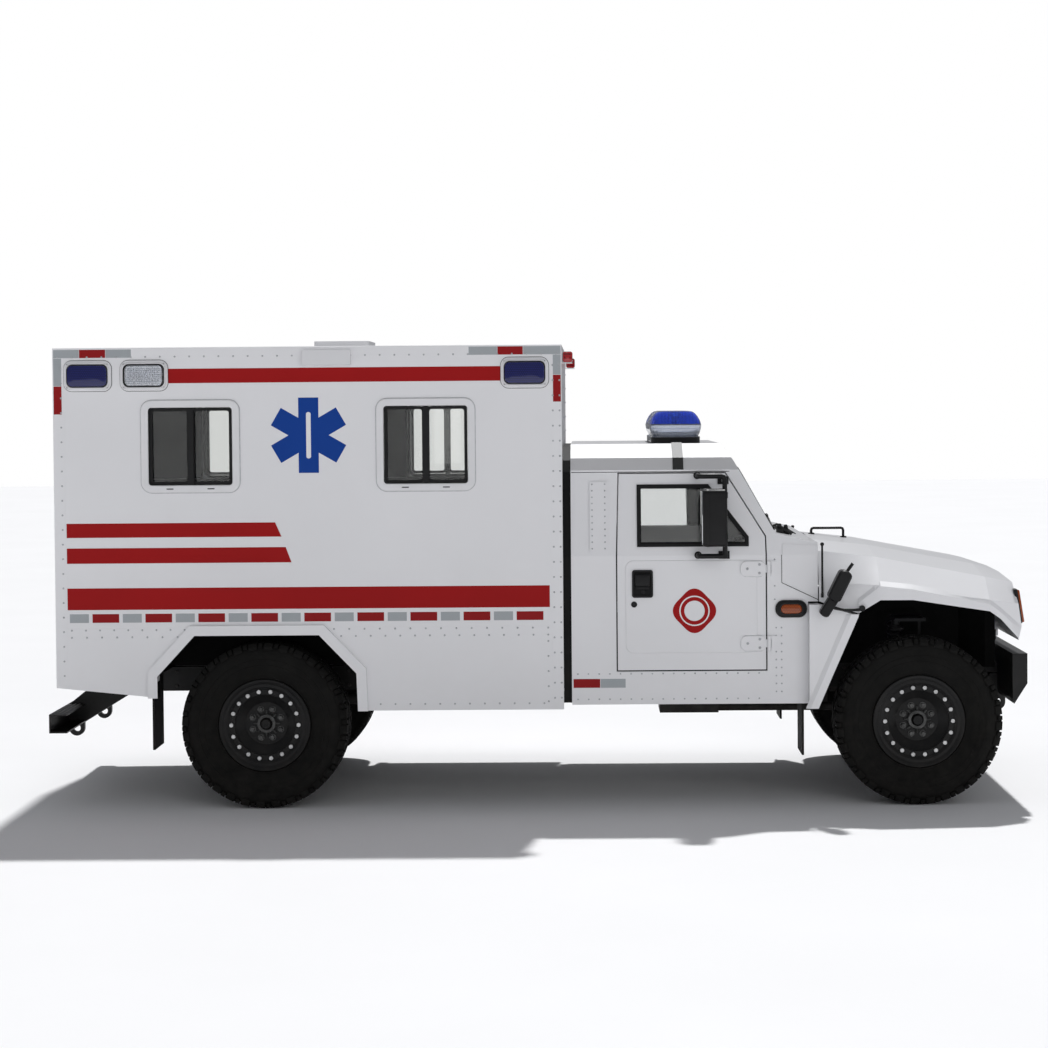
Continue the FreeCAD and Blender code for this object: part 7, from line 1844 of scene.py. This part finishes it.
class AMBULANCE_OT_front(Operator):
    """Fits the head lamps, the grille's mesh, the bumper's plate and bolts"""

    bl_idname = "ambulance.front"
    bl_label = "Front"

    def execute(self, context):
        low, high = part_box("head_lamps")
        face = high.x
        centre = (0.760, (low.z + high.z) / 2)

        def shell(bm):
            add_frame(bm, (-0.875, low.z), (-0.645, high.z), 0.030, 0.014, low.x + 0.004, face - low.x - 0.004, 0.004,
                      "X", 1)
            add_pad(bm, (-0.862, low.z + 0.013), (-0.658, high.z - 0.013), 0.018, low.x, 0.006, 0.002, "X", 1)

        def bowl(bm):
            for shift in (-0.050, 0.050):
                add_lathe(bm, [(0.002, 0.010), (0.006, 0.026), (0.022, 0.042), (0.044, 0.049), (0.044, 0.0475),
                               (0.0235, 0.0405), (0.0075, 0.0245), (0.004, 0.008)],
                          (low.x + 0.005, -centre[0] + shift, centre[1]), 32, "X", closed=True)

        def bulb(bm):
            for shift in (-0.050, 0.050):
                add_lathe(bm, [(0.0, 0.0095), (0.024, 0.0095), (0.030, 0.006), (0.031, 0.0005)],
                          (low.x + 0.006, -centre[0] + shift, centre[1]), 16, "X", closed=False)

        def lens(bm):
            add_pad(bm, (-0.8615, low.z + 0.0135), (-0.6585, high.z - 0.0135), 0.018, face - 0.012, 0.008, 0.003,
                    "X", 1, crown=0.003)

        on_each_side("head_lamp_shell", shell, "black_plastic", "bonnet")
        on_each_side("head_lamp_bowl", bowl, "mirror_glass", "bonnet")
        on_each_side("head_lamp_bulb", bulb, "clear_lens", "bonnet")
        on_each_side("head_lamp_lens", lens, "clear_glass", "bonnet")
        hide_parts("head_lamps")
        self.mesh()
        self.bumper()
        return {"FINISHED"}

    def mesh(self):
        """A fine mesh of wires behind the grille's bars."""
        low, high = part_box("grille")
        x = low.x + 0.004
        rows = []
        for k in range(-33, 34):
            rows.append(((x, k * 0.015, (low.z + high.z) / 2), (0.0022, 0.0022, high.z - low.z - 0.044), (0, 0, 0)))
        for k in range(-5, 6):
            rows.append(((x + 0.0022, 0, (low.z + high.z) / 2 + k * 0.014), (0.0022, 0.998, 0.0022), (0, 0, 0)))
        bars("grille_mesh", rows, "black_steel", "bonnet", "black_steel")

    def bumper(self):
        """Bolts, a blank number plate and its holder on the bumper."""
        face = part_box("front_bumper")[1].x
        bm = bmesh.new()
        add_pad(bm, (-0.260, 0.722), (0.260, 0.832), 0.008, face, 0.004, 0.0015, "X", 1)
        make_piece("plate_holder", bm, "black_plastic", "vehicle")
        bm = bmesh.new()
        add_pad(bm, (-0.255, 0.727), (0.255, 0.827), 0.006, face + 0.004, 0.0018, 0.0006, "X", 1)
        make_piece("front_number_plate", bm, "white_film", "vehicle")
        points = []
        for y in (0.33, 0.45, 0.60, 0.78, 0.90):
            for z in (0.700, 0.812):
                points += [((face, side * y, z), (1, 0, 0)) for side in (-1, 1)]
        heads("bumper_bolts", points, 0.011, 0.008, "cast_steel", "vehicle", "cast_steel", 0.8, 6)


# Lower and upper edge of the raised band over the front wheel, from the rear to the nose.
BAND_LOW = ((1.8075, 1.082), (1.9275, 1.158), (2.1075, 1.158), (2.5365, 1.092), (2.6045, 1.044), (2.7075, 0.935))
BAND_HIGH = ((1.8075, 1.167), (1.9275, 1.263), (2.1075, 1.243), (2.5365, 1.158), (2.6045, 1.108), (2.7320, 0.997))
REAR_ARCH = ((-0.592, 0.633), (-0.596, 0.755), (-0.381, 0.983), (0.318, 0.983), (0.526, 0.767), (0.537, 0.554))


def offset_line(line, distance):
    """Moves an open line of flat points to its right-hand side."""
    moved = []
    for i, point in enumerate(line):
        here = Vector(point)
        ways = [
            (Vector(line[j + 1]) - Vector(line[j])).normalized()
            for j in (i - 1, i) if 0 <= j < len(line) - 1
        ]
        normals = [Vector((way.y, -way.x)) for way in ways]
        total = sum(normals, Vector((0, 0)))
        total = total / total.length
        moved.append(tuple(here + total * distance / total.dot(normals[0])))
    return moved


def skin_half(tree, x, z):
    """Half width of a model piece's outer skin at a station and height."""
    spot = tree.ray_cast(Vector((x, -2.0, z)), Vector((0, 1, 0)))[0]
    if spot is None:
        raise RuntimeError("no skin at %.3f, %.3f" % (x, z))
    return -spot.y


class AMBULANCE_OT_arches(Operator):
    """Lines the wheel arches, the rear ones' edges in black as painted shade, and adds the raised bands round the front
    ones
    """

    bl_idname = "ambulance.arches"
    bl_label = "Wheel Arches"

    def execute(self, context):
        self.rear_shade_linings()
        self.bay_liners()
        self.bands()
        return {"FINISHED"}

    def rear_shade_linings(self):
        """Black linings on the cut edges of the rear arches: painted shade for the dark inside of the arches."""
        line = row_corners(REAR_ARCH)

        def shade_lining(bm):
            outer, inner = offset_line(line, 0.0004), offset_line(line, 0.0030)
            add_prism(bm, outer + inner[::-1], -1.1030, -1.0240)

        on_each_side("rear_arch_shade_lining", shade_lining, "underseal_and_painted_shade", "vehicle")

    def bay_liners(self):
        """Sheets between the engine and the front wheels, which bend outward ahead of them."""
        plan = [(1.6205, -0.425), (2.4600, -0.425), (2.5850, -0.620), (2.6400, -0.620)]

        def liner(bm):
            add_prism(bm, plan + offset_line(plan, 0.004)[::-1], 0.730, 1.120, "Z")

        on_each_side("bay_liner", liner, "underseal_and_painted_shade", "vehicle")

    def bands(self):
        """A raised band with a sloped upper edge over each front wheel and down the fixed leg."""
        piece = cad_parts["bonnet"]
        tree = BVHTree.FromPolygons(
            [piece.matrix_world @ v.co for v in piece.data.vertices], [tuple(p.vertices) for p in piece.data.polygons]
        )
        # The band's height over the skin, the width of its sloped upper edge, how far its ends sink into the
        # skin, and its width on the fixed leg.
        rise, slope, sunk, wide = 0.012, 0.026, 0.004, 0.070

        def band(bm):
            loops = []
            for low, high in zip(self.divided(BAND_LOW), self.divided(BAND_HIGH)):
                run = Vector(high) - Vector(low)
                length = run.length
                shares = (0.04, 1 - slope / length, 1.0)
                spots = [Vector(low) + run * share for share in shares]
                half = [skin_half(tree, spot.x, spot.y) for spot in spots]
                loops.append([
                    (low[0], -half[0] + sunk, low[1]), (low[0], -half[0] - rise, low[1]),
                    (spots[1].x, -max(half[1], half[0] - 0.020) - rise, spots[1].y),
                    (high[0], -half[2] - 0.0004, high[1]), (high[0], -half[2] + sunk, high[1]),
                ])
            add_stack(bm, loops)

        def leg_band(bm):
            half = 1.100
            rows = []
            for x, z in ((1.8075, 1.080), (1.5795, 0.553)):
                rows.append([(x, -half + 0.002, z), (x, -half - rise, z), (x - wide + slope, -half - rise, z),
                             (x - wide, -half - 0.0004, z), (x - wide, -half + 0.002, z)])
            add_stack(bm, rows)

        on_each_side("fender_band", band, "white_plastic", "bonnet", angle=20)
        on_each_side("leg_band", leg_band, "white_paint", "vehicle", angle=20)

    def divided(self, line):
        """Adds points between those of a line so that what follows a curved skin stays near it."""
        points = []
        for start, end in zip(line, line[1:]):
            points += [tuple(Vector(start).lerp(Vector(end), k / 4)) for k in range(4)]
        return points + [line[-1]]


class AMBULANCE_OT_bonnet_fittings(Operator):
    """Makes the grab handle, the fender mirrors, the marker poles and the nose's corner lamps"""

    bl_idname = "ambulance.bonnet_fittings"
    bl_label = "Bonnet Fittings"

    def execute(self, context):
        bm = bmesh.new()
        rear, front, top, bend, ease = 1.6395, 1.8315, 1.510, 0.014, 0.0035
        bar = [(rear, 1.474), (rear, top - bend), (rear + ease, top - ease), (rear + bend, top), (front - bend, top),
               (front - ease, top - ease), (front, top - bend), (front, 1.453)]
        add_tube(bm, [(x, 0, z) for x, z in bar], 0.008, 14)
        for x, z in ((rear, 1.4755), (front, 1.4545)):
            add_lathe(bm, [(-0.004, 0.020), (0.004, 0.020), (0.007, 0.015)], (x, 0, z), 20, "Z", closed=False)
        handle = make_piece("grab_hoop", bm, "black_steel", "bonnet")
        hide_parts("bonnet_fittings")
        on_each_side("fender_mirror", self.mirror, "black_plastic", "bonnet")
        on_each_side("fender_mirror_arm", self.arm, "black_steel", "bonnet")
        on_each_side("marker_pole", self.pole, "black_steel", "bonnet")
        on_each_side("corner_lamp_rim", self.corner_rim, "black_plastic", "bonnet")
        on_each_side("corner_lamp_lens", self.corner_lens, "amber_lens", "bonnet")
        return {"FINISHED"}

    def leaning(self, bm, foot, head, half, low_y, high_y, edge):
        """A plate with round ends that leans from a foot to a head, with soft edges."""
        foot, head = Vector(foot), Vector(head)
        way = (head - foot).normalized()
        across = Vector((-way.y, way.x))
        loops = []
        for y, inset in ((low_y, edge), (low_y + edge, 0.0), (high_y - edge, 0.0), (high_y, edge)):
            points = []
            for centre, start in ((head, 0.0), (foot, math.pi)):
                for k in range(9):
                    angle = start + math.pi * k / 8
                    reach = half - inset
                    spot = centre - across * math.cos(angle) * reach + way * math.sin(angle) * reach * 0.7
                    points.append((spot.x, y, spot.y))
            loops.append(points)
        add_stack(bm, loops)

    def mirror(self, bm):
        """The leaning lower pad, the mirror head above it and their joint."""
        self.leaning(bm, (1.609, 1.094), (1.660, 1.172), 0.028, -1.200, -1.122, 0.007)
        self.leaning(bm, (1.664, 1.186), (1.723, 1.305), 0.038, -1.222, -1.112, 0.010)
        add_tube(bm, [(1.650, -1.165, 1.150), (1.668, -1.165, 1.196)], 0.020, 14)
        add_tube(bm, [(1.722, -1.165, 1.300), (1.740, -1.165, 1.330), (1.768, -1.165, 1.368)], 0.0095, 12)

    def arm(self, bm):
        """The bent rod that carries the mirror on the band's edge."""
        add_tube(bm, [(1.640, -1.160, 1.136), (1.668, -1.160, 1.118), (1.720, -1.155, 1.108), (1.775, -1.135, 1.106),
                      (1.826, -1.096, 1.106)], 0.0080, 12)
        add_lathe(bm, [(0.010, 0.017), (-0.022, 0.017), (-0.026, 0.013)], (1.826, -1.088, 1.112), 18, closed=False)

    def pole(self, bm):
        """A thin upright pole with a ball on top and a foot on the bonnet's side."""
        x, y, ball, turns = 1.6105, -1.030, 0.011, 8
        add_tube(bm, [(x, y, 1.170), (x, y, 1.320), (x, y, 1.462)], 0.0060, 12)
        angles = [math.pi * k / turns for k in range(turns + 1)]
        profile = [(-ball * math.cos(angle), ball * math.sin(angle) + 0.0003) for angle in angles]
        add_lathe(bm, profile, (x, y, 1.469), 16, "Z", closed=False)
        add_block(bm, (x - 0.007, y, 1.169), (x + 0.007, -1.012, 1.192))

    def lean_back(self, bm):
        """Leans what was built upright to the nose's slope."""
        pivot_height, slope = 1.130, 0.158
        for vert in bm.verts:
            vert.co.x -= (vert.co.z - pivot_height) * slope

    def corner_rim(self, bm):
        add_pad(bm, (-0.968, 1.010), (-0.893, 1.205), 0.012, 2.7030, 0.021, 0.004, "X", 1)
        self.lean_back(bm)

    def corner_lens(self, bm):
        add_pad(bm, (-0.963, 1.016), (-0.899, 1.199), 0.009, 2.7200, 0.016, 0.005, "X", 1, crown=0.003)
        self.lean_back(bm)


class AMBULANCE_OT_rear(Operator):
    """Fits the rear doors' seals, bolts, lock rods, window rubbers and the beam's tread"""

    bl_idname = "ambulance.rear"
    bl_label = "Rear"

    def execute(self, context):
        rear = BOX_LOW.x
        self.seals(rear)
        self.locks(rear)
        self.windows(rear)
        self.tread()
        return {"FINISHED"}

    def seals(self, rear):
        """Dark rubber in the gaps round both doors."""
        bm = bmesh.new()
        outer = [(-0.8795, 0.8005), (0.8795, 0.8005), (0.8795, 2.4695), (-0.8795, 2.4695)]
        inner = [(-0.8745, 0.8055), (0.8745, 0.8055), (0.8745, 2.4645), (-0.8745, 2.4645)]
        add_ring(bm, outer, inner, rear + 0.012, rear + 0.030, "X")
        make_piece("rear_door_seal", bm, "dark_gap", "vehicle")
        bm = bmesh.new()
        add_block(bm, (rear + 0.014, -0.0050, 0.812), (rear + 0.040, 0.0050, 2.458))
        make_piece("rear_middle_seal", bm, "dark_gap", "rear_door_left")

    def locks(self, rear):
        """Grip rubbers, lock rods with their guides and hinge bolts on each door."""
        def rods(bm):
            add_tube(bm, [(rear - 0.009, -0.045, 0.830), (rear - 0.009, -0.045, 1.50), (rear - 0.009, -0.045, 2.445)],
                     0.008, 10)

        def guides(bm):
            for z in (0.86, 1.16, 1.72, 2.02, 2.40):
                add_pad(bm, (-0.067, z - 0.015), (-0.023, z + 0.015), 0.005, rear, 0.019, 0.003, "X", -1)

        def plate(bm):
            add_pad(bm, (-0.155, 1.300), (-0.022, 1.640), 0.012, rear, 0.003, 0.001, "X", -1)
            add_lathe(bm, [(0.0, 0.014), (-0.008, 0.014), (-0.010, 0.011), (-0.009, 0.0005)],
                      (rear - 0.003, -0.050, 1.470), 20, "X", closed=False)

        on_each_side("lock_rod", rods, "bare_aluminium", "rear_door_%s")
        on_each_side("lock_guides", guides, "black_plastic", "rear_door_%s")
        on_each_side("handle_plate", plate, "bare_aluminium", "rear_door_%s")
        points = []
        for p in line_points((rear, -0.852, 0.83), (rear, -0.852, 2.44), 0.115):
            points.append((tuple(p), (-1, 0, 0)))
        heads_on_each_side("rear_door_rivets", points, 0.0050, 0.0024, "trim_white", "rear_door_%s", "white_paint", 0.5)

    def windows(self, rear):
        """A rubber frame round each rear window."""
        def rubber(bm):
            add_frame(bm, (-0.6995, 1.7550), (-0.1800, 2.3250), 0.055, 0.0255, rear + 0.0005, 0.008, 0.003, "X", -1)

        on_each_side("rear_window_rubber", rubber, "black_rubber", "rear_door_%s")

    def tread(self):
        """Raised studs on top of the rear beam, and a blank number plate."""
        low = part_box("rear_beam")[0]
        points = []
        for row, x in enumerate((low.x + 0.020, low.x + 0.046, low.x + 0.072)):
            for k in range(-34, 35):
                points.append(((x, k * 0.026 + 0.013 * (row % 2), 0.527), (0, 0, 1)))
        heads("beam_studs", points, 0.0055, 0.0022, "bare_steel", "vehicle", "bare_steel", 0.6, 8)
        bm = bmesh.new()
        add_pad(bm, (-0.255, 0.424), (0.255, 0.524), 0.006, low.x, 0.0020, 0.0006, "X", -1)
        make_piece("rear_number_plate", bm, "white_film", "vehicle")


# ---------------------------------------------------------------- inside


# Frames of each cushion's simulation and solver steps in a frame.
CLOTH_STEPS, CLOTH_QUALITY = 20, 4


class AMBULANCE_OT_seats(Operator):
    """Simulates the seat and bench cushions as stuffed cloth"""

    bl_idname = "ambulance.seats"
    bl_label = "Seats and Bench"

    def execute(self, context):
        seat = [(-0.228, -0.225, 0.012), (0.228, 0.225, 0.105)]
        base = self.padded_mesh("seat_pad", *seat, 0.009, 0.024, (-0.14, 0.14))
        back = self.padded_mesh("back_pad", (-0.050, -0.225, 0.018), (0.050, 0.225, 0.590), 0.009, 0.024, (-0.14, 0.14),
                                lean=0.110)
        centre = Vector((0.7115, -0.470, 0.9503))
        for word, side in SIDES:
            place = Vector((centre.x, side * 0.470, centre.z))
            self.settle("seat_cushion_" + word, base, place, "seat_cloth", side)
            behind = Vector((0.5400, side * 0.470, centre.z + 0.118))
            self.settle("seat_back_" + word, back, behind, "seat_cloth", side)
        bench = self.padded_mesh("bench_pad", (-0.832, -0.190, 0.012), (0.832, 0.190, 0.072), 0.011, 0.022,
                                 (-0.42, 0.0, 0.42), across="X")
        self.settle("bench_cushion", bench, Vector((-1.2135, 0.8097, 1.2406)), "bench_vinyl", -1)
        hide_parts("seat_cushions")
        return {"FINISHED"}

    def padded_mesh(self, name, low, high, voxel, cap, channels, lean=0.0, across="Y"):
        """A block remeshed, blown up as cloth, capped, channelled and subdivided once."""
        bm = bmesh.new()
        add_block(bm, low, high)
        if lean:
            for vert in bm.verts:
                vert.co.x -= lean * (vert.co.z - low[2]) / (high[2] - low[2])
        bmesh.ops.recalc_face_normals(bm, faces=bm.faces)
        soften(bm, min(0.020, (high[2] - low[2]) * 0.3, (high[0] - low[0]) * 0.3), 3)
        mesh = bpy.data.meshes.new(name)
        bm.to_mesh(mesh)
        bm.free()
        holder = bpy.data.objects.new(name, mesh)
        bpy.context.scene.collection.objects.link(holder)
        remesh = holder.modifiers.new("Remesh", "REMESH")
        remesh.mode = "VOXEL"
        remesh.voxel_size = voxel
        start = self.applied(holder)
        holder.modifiers.clear()
        holder.data = start
        before = [v.co.copy() for v in start.vertices]
        cloth = holder.modifiers.new("Cloth", "CLOTH")
        cloth.settings.use_pressure = True
        cloth.settings.uniform_pressure_force = 4
        cloth.settings.effector_weights.gravity = 0
        cloth.settings.quality = CLOTH_QUALITY
        cloth.settings.tension_stiffness = 12
        cloth.settings.compression_stiffness = 12
        cloth.collision_settings.use_collision = False
        scene = bpy.context.scene
        for step in range(1, CLOTH_STEPS + 1):
            scene.frame_set(step)
            bpy.context.evaluated_depsgraph_get().update()
        blown = self.applied(holder)
        scene.frame_set(1)
        holder.modifiers.clear()
        for vert, old in zip(blown.vertices, before):
            shift = vert.co - old
            if shift.length > cap:
                vert.co = old + shift.normalized() * cap
        holder.data = blown
        self.channel(holder.data, channels, across)
        smooth = holder.modifiers.new("Subdivision", "SUBSURF")
        smooth.levels = 1
        smooth.render_levels = 1
        made = self.applied(holder)
        bpy.data.objects.remove(holder)
        return made

    def applied(self, holder):
        """The mesh that an object's modifiers give."""
        bpy.context.view_layer.update()
        graph = bpy.context.evaluated_depsgraph_get()
        return bpy.data.meshes.new_from_object(holder.evaluated_get(graph))

    def channel(self, mesh, channels, across):
        """Presses sewn channels into the cover."""
        for vert in mesh.vertices:
            along_seam = vert.co.y if across == "Y" else vert.co.x
            for seam in channels:
                depth = 0.007 * math.exp(-((along_seam - seam) / 0.011) ** 2)
                vert.co -= vert.normal * depth

    def settle(self, name, source, place, material, side):
        """Copies a cushion to its place."""
        mesh = source.copy()
        mesh.name = name
        turn = Matrix.Scale(-1, 4, (0, 1, 0)) if side > 0 else Matrix.Identity(4)
        mesh.transform(Matrix.Translation(place) @ turn)
        if side > 0:
            mesh.flip_normals()
        piece = finish_mesh(name, mesh, material, "vehicle", angle=60)
        return piece


class AMBULANCE_OT_cab_inside(Operator):
    """Adds dials, switches and pedals inside the cab"""

    bl_idname = "ambulance.cab_inside"
    bl_label = "Cab Inside"

    def execute(self, context):
        bm = bmesh.new()
        for y, radius in ((0.365, 0.050), (0.485, 0.050), (0.580, 0.030)):
            add_lathe(bm, [(0.0, radius), (-0.012, radius), (-0.014, radius - 0.006), (-0.006, radius - 0.010),
                           (-0.005, 0.0005)], (1.072, y, 1.360), 28, "X", closed=False)
        make_piece("dash_dials", bm, "black_plastic", "vehicle")
        rows = []
        for k in range(7):
            rows.append(((1.060, 0.10 - k * 0.045, 1.335), (0.012, 0.030, 0.018), (0, 0, 0)))
            rows.append(((1.050, 0.10 - k * 0.045, 1.285), (0.012, 0.030, 0.018), (0, 0, 0)))
        bars("dash_switches", rows, "soft_black", "vehicle", "black_plastic")
        bm = bmesh.new()
        for y in (0.33, 0.44, 0.55):
            add_tube(bm, [(1.44, y, 0.965), (1.36, y, 0.935), (1.330, y, 0.880)], 0.008, 8)
            add_pad(bm, (y - 0.028, 0.850), (y + 0.028, 0.915), 0.008, 1.330, 0.012, 0.003, "X", -1)
        make_piece("pedals", bm, "black_steel", "vehicle")
        return {"FINISHED"}


# ---------------------------------------------------------------- below


class AMBULANCE_OT_underbody(Operator):
    """Adds coil springs and frame bolts below the floor"""

    bl_idname = "ambulance.underbody"
    bl_label = "Underbody"

    def execute(self, context):
        strut_y = WHEEL_HALF - 0.340
        for end, axle, top in (("front", FRONT_AXLE, 0.9990), ("rear", REAR_AXLE, 0.7510)):
            foot = 0.3485
            seeds = [((axle - 0.075, side * strut_y, foot + 0.006)) for side in (-1, 1)]
            mesh = bpy.data.meshes.new("coil_seed")
            mesh.from_pydata(seeds, [], [])
            height = top - foot - 0.012
            sizes = {"Turns": height / 0.046, "Coil radius": 0.044, "Wire radius": 0.0075, "Height": height}
            growth("coils").grow("coil_springs_" + end, mesh, sizes, "black_steel", "vehicle", "bare_steel", 60)
        points = []
        for side in (-1, 1):
            for k in range(34):
                x = -2.56 + k * 0.145
                for z in (0.628, 0.712):
                    points.append(((x, side * 0.430, z), (0, side, 0)))
        heads("frame_bolts", points, 0.011, 0.008, "cast_steel", "vehicle", "cast_steel", 0.85, 6)
        return {"FINISHED"}


# ---------------------------------------------------------------- finishes of the model, stage and camera


class AMBULANCE_OT_node_finishes(Operator):
    """Gives every node of the model its own finish"""

    bl_idname = "ambulance.node_finishes"
    bl_label = "Model Finishes"

    def execute(self, context):
        for name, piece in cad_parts.items():
            if name not in NODE_FINISHES:
                raise RuntimeError("no finish is named for " + name)
            piece.data.materials.clear()
            piece.data.materials.append(finish(NODE_FINISHES[name]))
        return {"FINISHED"}


CAMERA = {
    "place": (0.318, -15.091, 2.247),
    "lens": 86.1,
    "yaw": 0.847,
    "pitch": -1.632,
    "roll": -0.46,
    "shift_x": -0.0287,
    "shift_y": -0.0430,
}


class AMBULANCE_OT_stage(Operator):
    """Lays the floor and sets the light and the camera"""

    bl_idname = "ambulance.stage"
    bl_label = "Stage"

    def execute(self, context):
        scene = context.scene
        stage = scene.ambulance_stage
        scene.view_settings.view_transform = "Standard"
        self.floor(stage)
        self.world(scene, stage)
        self.lamps(stage)
        self.camera(scene)
        return {"FINISHED"}

    def floor(self, stage):
        """A wide pale floor."""
        bm = bmesh.new()
        reach = 60
        corners = ((-reach, -reach), (reach, -reach), (reach, reach), (-reach, reach))
        bm.faces.new([bm.verts.new((x, y, 0)) for x, y in corners])
        mesh = bpy.data.meshes.new("floor")
        bm.to_mesh(mesh)
        bm.free()
        floor = bpy.data.objects.new("floor", mesh)
        bpy.context.scene.collection.objects.link(floor)
        shade = stage.floor
        item = Finish("floor_paint", (shade, shade, shade * 1.01), 0.7)
        item.tone(0.6, 0.012)
        mesh.materials.append(item.material)

    def world(self, scene, stage):
        """Even light from all round, and a white background where the camera looks past the vehicle."""
        world = bpy.data.worlds.new("sky")
        scene.world = world
        world.use_nodes = True
        tree = world.node_tree
        tree.nodes.clear()
        path = wire(tree, "ShaderNodeLightPath")
        seen = wire(tree, "ShaderNodeMath", {0: path.outputs["Is Camera Ray"], 1: path.outputs["Is Transmission Ray"]},
                    operation="MAXIMUM")
        point = wire(tree, "ShaderNodeTexCoord").outputs["Generated"]
        height = wire(tree, "ShaderNodeSeparateXYZ", {0: point}).outputs["Z"]
        sky = wire(tree, "ShaderNodeMapRange", {
            "Value": height, "From Min": -0.1, "From Max": 0.9, "To Min": 0.75, "To Max": 1.25,
        })
        strength = wire(tree, "ShaderNodeMath", {0: sky.outputs[0], 1: stage.fill}, operation="MULTIPLY")
        light = wire(tree, "ShaderNodeBackground", {"Color": (0.93, 0.95, 1.0, 1), "Strength": strength.outputs[0]})
        white = wire(tree, "ShaderNodeBackground", {"Color": (1, 1, 1, 1), "Strength": 1.0})
        mix = wire(tree, "ShaderNodeMixShader", {0: seen.outputs[0], 1: light.outputs[0], 2: white.outputs[0]})
        out = wire(tree, "ShaderNodeOutputWorld", {"Surface": mix.outputs[0]})
        out.is_active_output = True

    def lamps(self, stage):
        """A high sun behind the vehicle, which shades its near side, and a wide low light on that side."""
        for name, energy, spread, way in (
            ("sun", stage.key, 2.0, (-0.08, -0.607, -1.0)),
            ("front_light", stage.front, 60.0, (-0.25, 1.0, -0.10)),
        ):
            light = bpy.data.lights.new(name, "SUN")
            light.energy = energy
            light.angle = math.radians(spread)
            lamp = bpy.data.objects.new(name, light)
            bpy.context.scene.collection.objects.link(lamp)
            lamp.rotation_euler = Vector(way).to_track_quat("-Z", "Y").to_euler()
            lamp.visible_glossy = name == "sun"

    def camera(self, scene):
        """The photograph's view: a long lens, square to the right-hand side."""
        data = bpy.data.cameras.new("camera")
        camera = bpy.data.objects.new("camera", data)
        scene.collection.objects.link(camera)
        data.sensor_width = 36
        data.lens = CAMERA["lens"]
        data.shift_x = CAMERA["shift_x"]
        data.shift_y = CAMERA["shift_y"]
        data.clip_end = 200
        yaw, pitch, roll = (math.radians(CAMERA[k]) for k in ("yaw", "pitch", "roll"))
        turn = Matrix.Rotation(yaw, 4, "Z") @ Matrix.Rotation(math.pi / 2 + pitch, 4, "X")
        turn = turn @ Matrix.Rotation(roll, 4, "Z")
        camera.matrix_world = Matrix.Translation(CAMERA["place"]) @ turn
        scene.camera = camera


class AMBULANCE_PT_panel(Panel):
    """Lists the settings and the operators"""

    bl_idname = "AMBULANCE_PT_panel"
    bl_label = "Box Ambulance"
    bl_space_type = "VIEW_3D"
    bl_region_type = "UI"
    bl_category = "Ambulance"

    def draw(self, context):
        scene = context.scene
        for group in (scene.ambulance_paint, scene.ambulance_details, scene.ambulance_stage):
            box = self.layout.box()
            for label in group.__annotations__:
                box.prop(group, label)
        for operator in OPERATORS:
            self.layout.operator(operator.bl_idname)


OPERATORS = (
    AMBULANCE_OT_node_finishes,
    AMBULANCE_OT_films,
    AMBULANCE_OT_box_trim,
    AMBULANCE_OT_tyres,
    AMBULANCE_OT_wheel_bolts,
    AMBULANCE_OT_box_windows,
    AMBULANCE_OT_side_lamps,
    AMBULANCE_OT_light_bar,
    AMBULANCE_OT_cab_trim,
    AMBULANCE_OT_door_details,
    AMBULANCE_OT_marker_lamps,
    AMBULANCE_OT_front,
    AMBULANCE_OT_arches,
    AMBULANCE_OT_bonnet_fittings,
    AMBULANCE_OT_rear,
    AMBULANCE_OT_seats,
    AMBULANCE_OT_cab_inside,
    AMBULANCE_OT_underbody,
    AMBULANCE_OT_stage,
)
CLASSES = (AmbulancePaint, AmbulanceDetails, AmbulanceStage, *OPERATORS, AMBULANCE_PT_panel)


def register():
    for item in CLASSES:
        bpy.utils.register_class(item)
    bpy.types.Scene.ambulance_paint = PointerProperty(type=AmbulancePaint)
    bpy.types.Scene.ambulance_details = PointerProperty(type=AmbulanceDetails)
    bpy.types.Scene.ambulance_stage = PointerProperty(type=AmbulanceStage)


def unregister():
    del bpy.types.Scene.ambulance_stage
    del bpy.types.Scene.ambulance_details
    del bpy.types.Scene.ambulance_paint
    for item in reversed(CLASSES):
        bpy.utils.unregister_class(item)


def main():
    """Runs every operator in turn."""
    register()
    for operator in OPERATORS:
        group, name = operator.bl_idname.split(".")
        getattr(getattr(bpy.ops, group), name)()


if __name__ == "__main__":
    main()
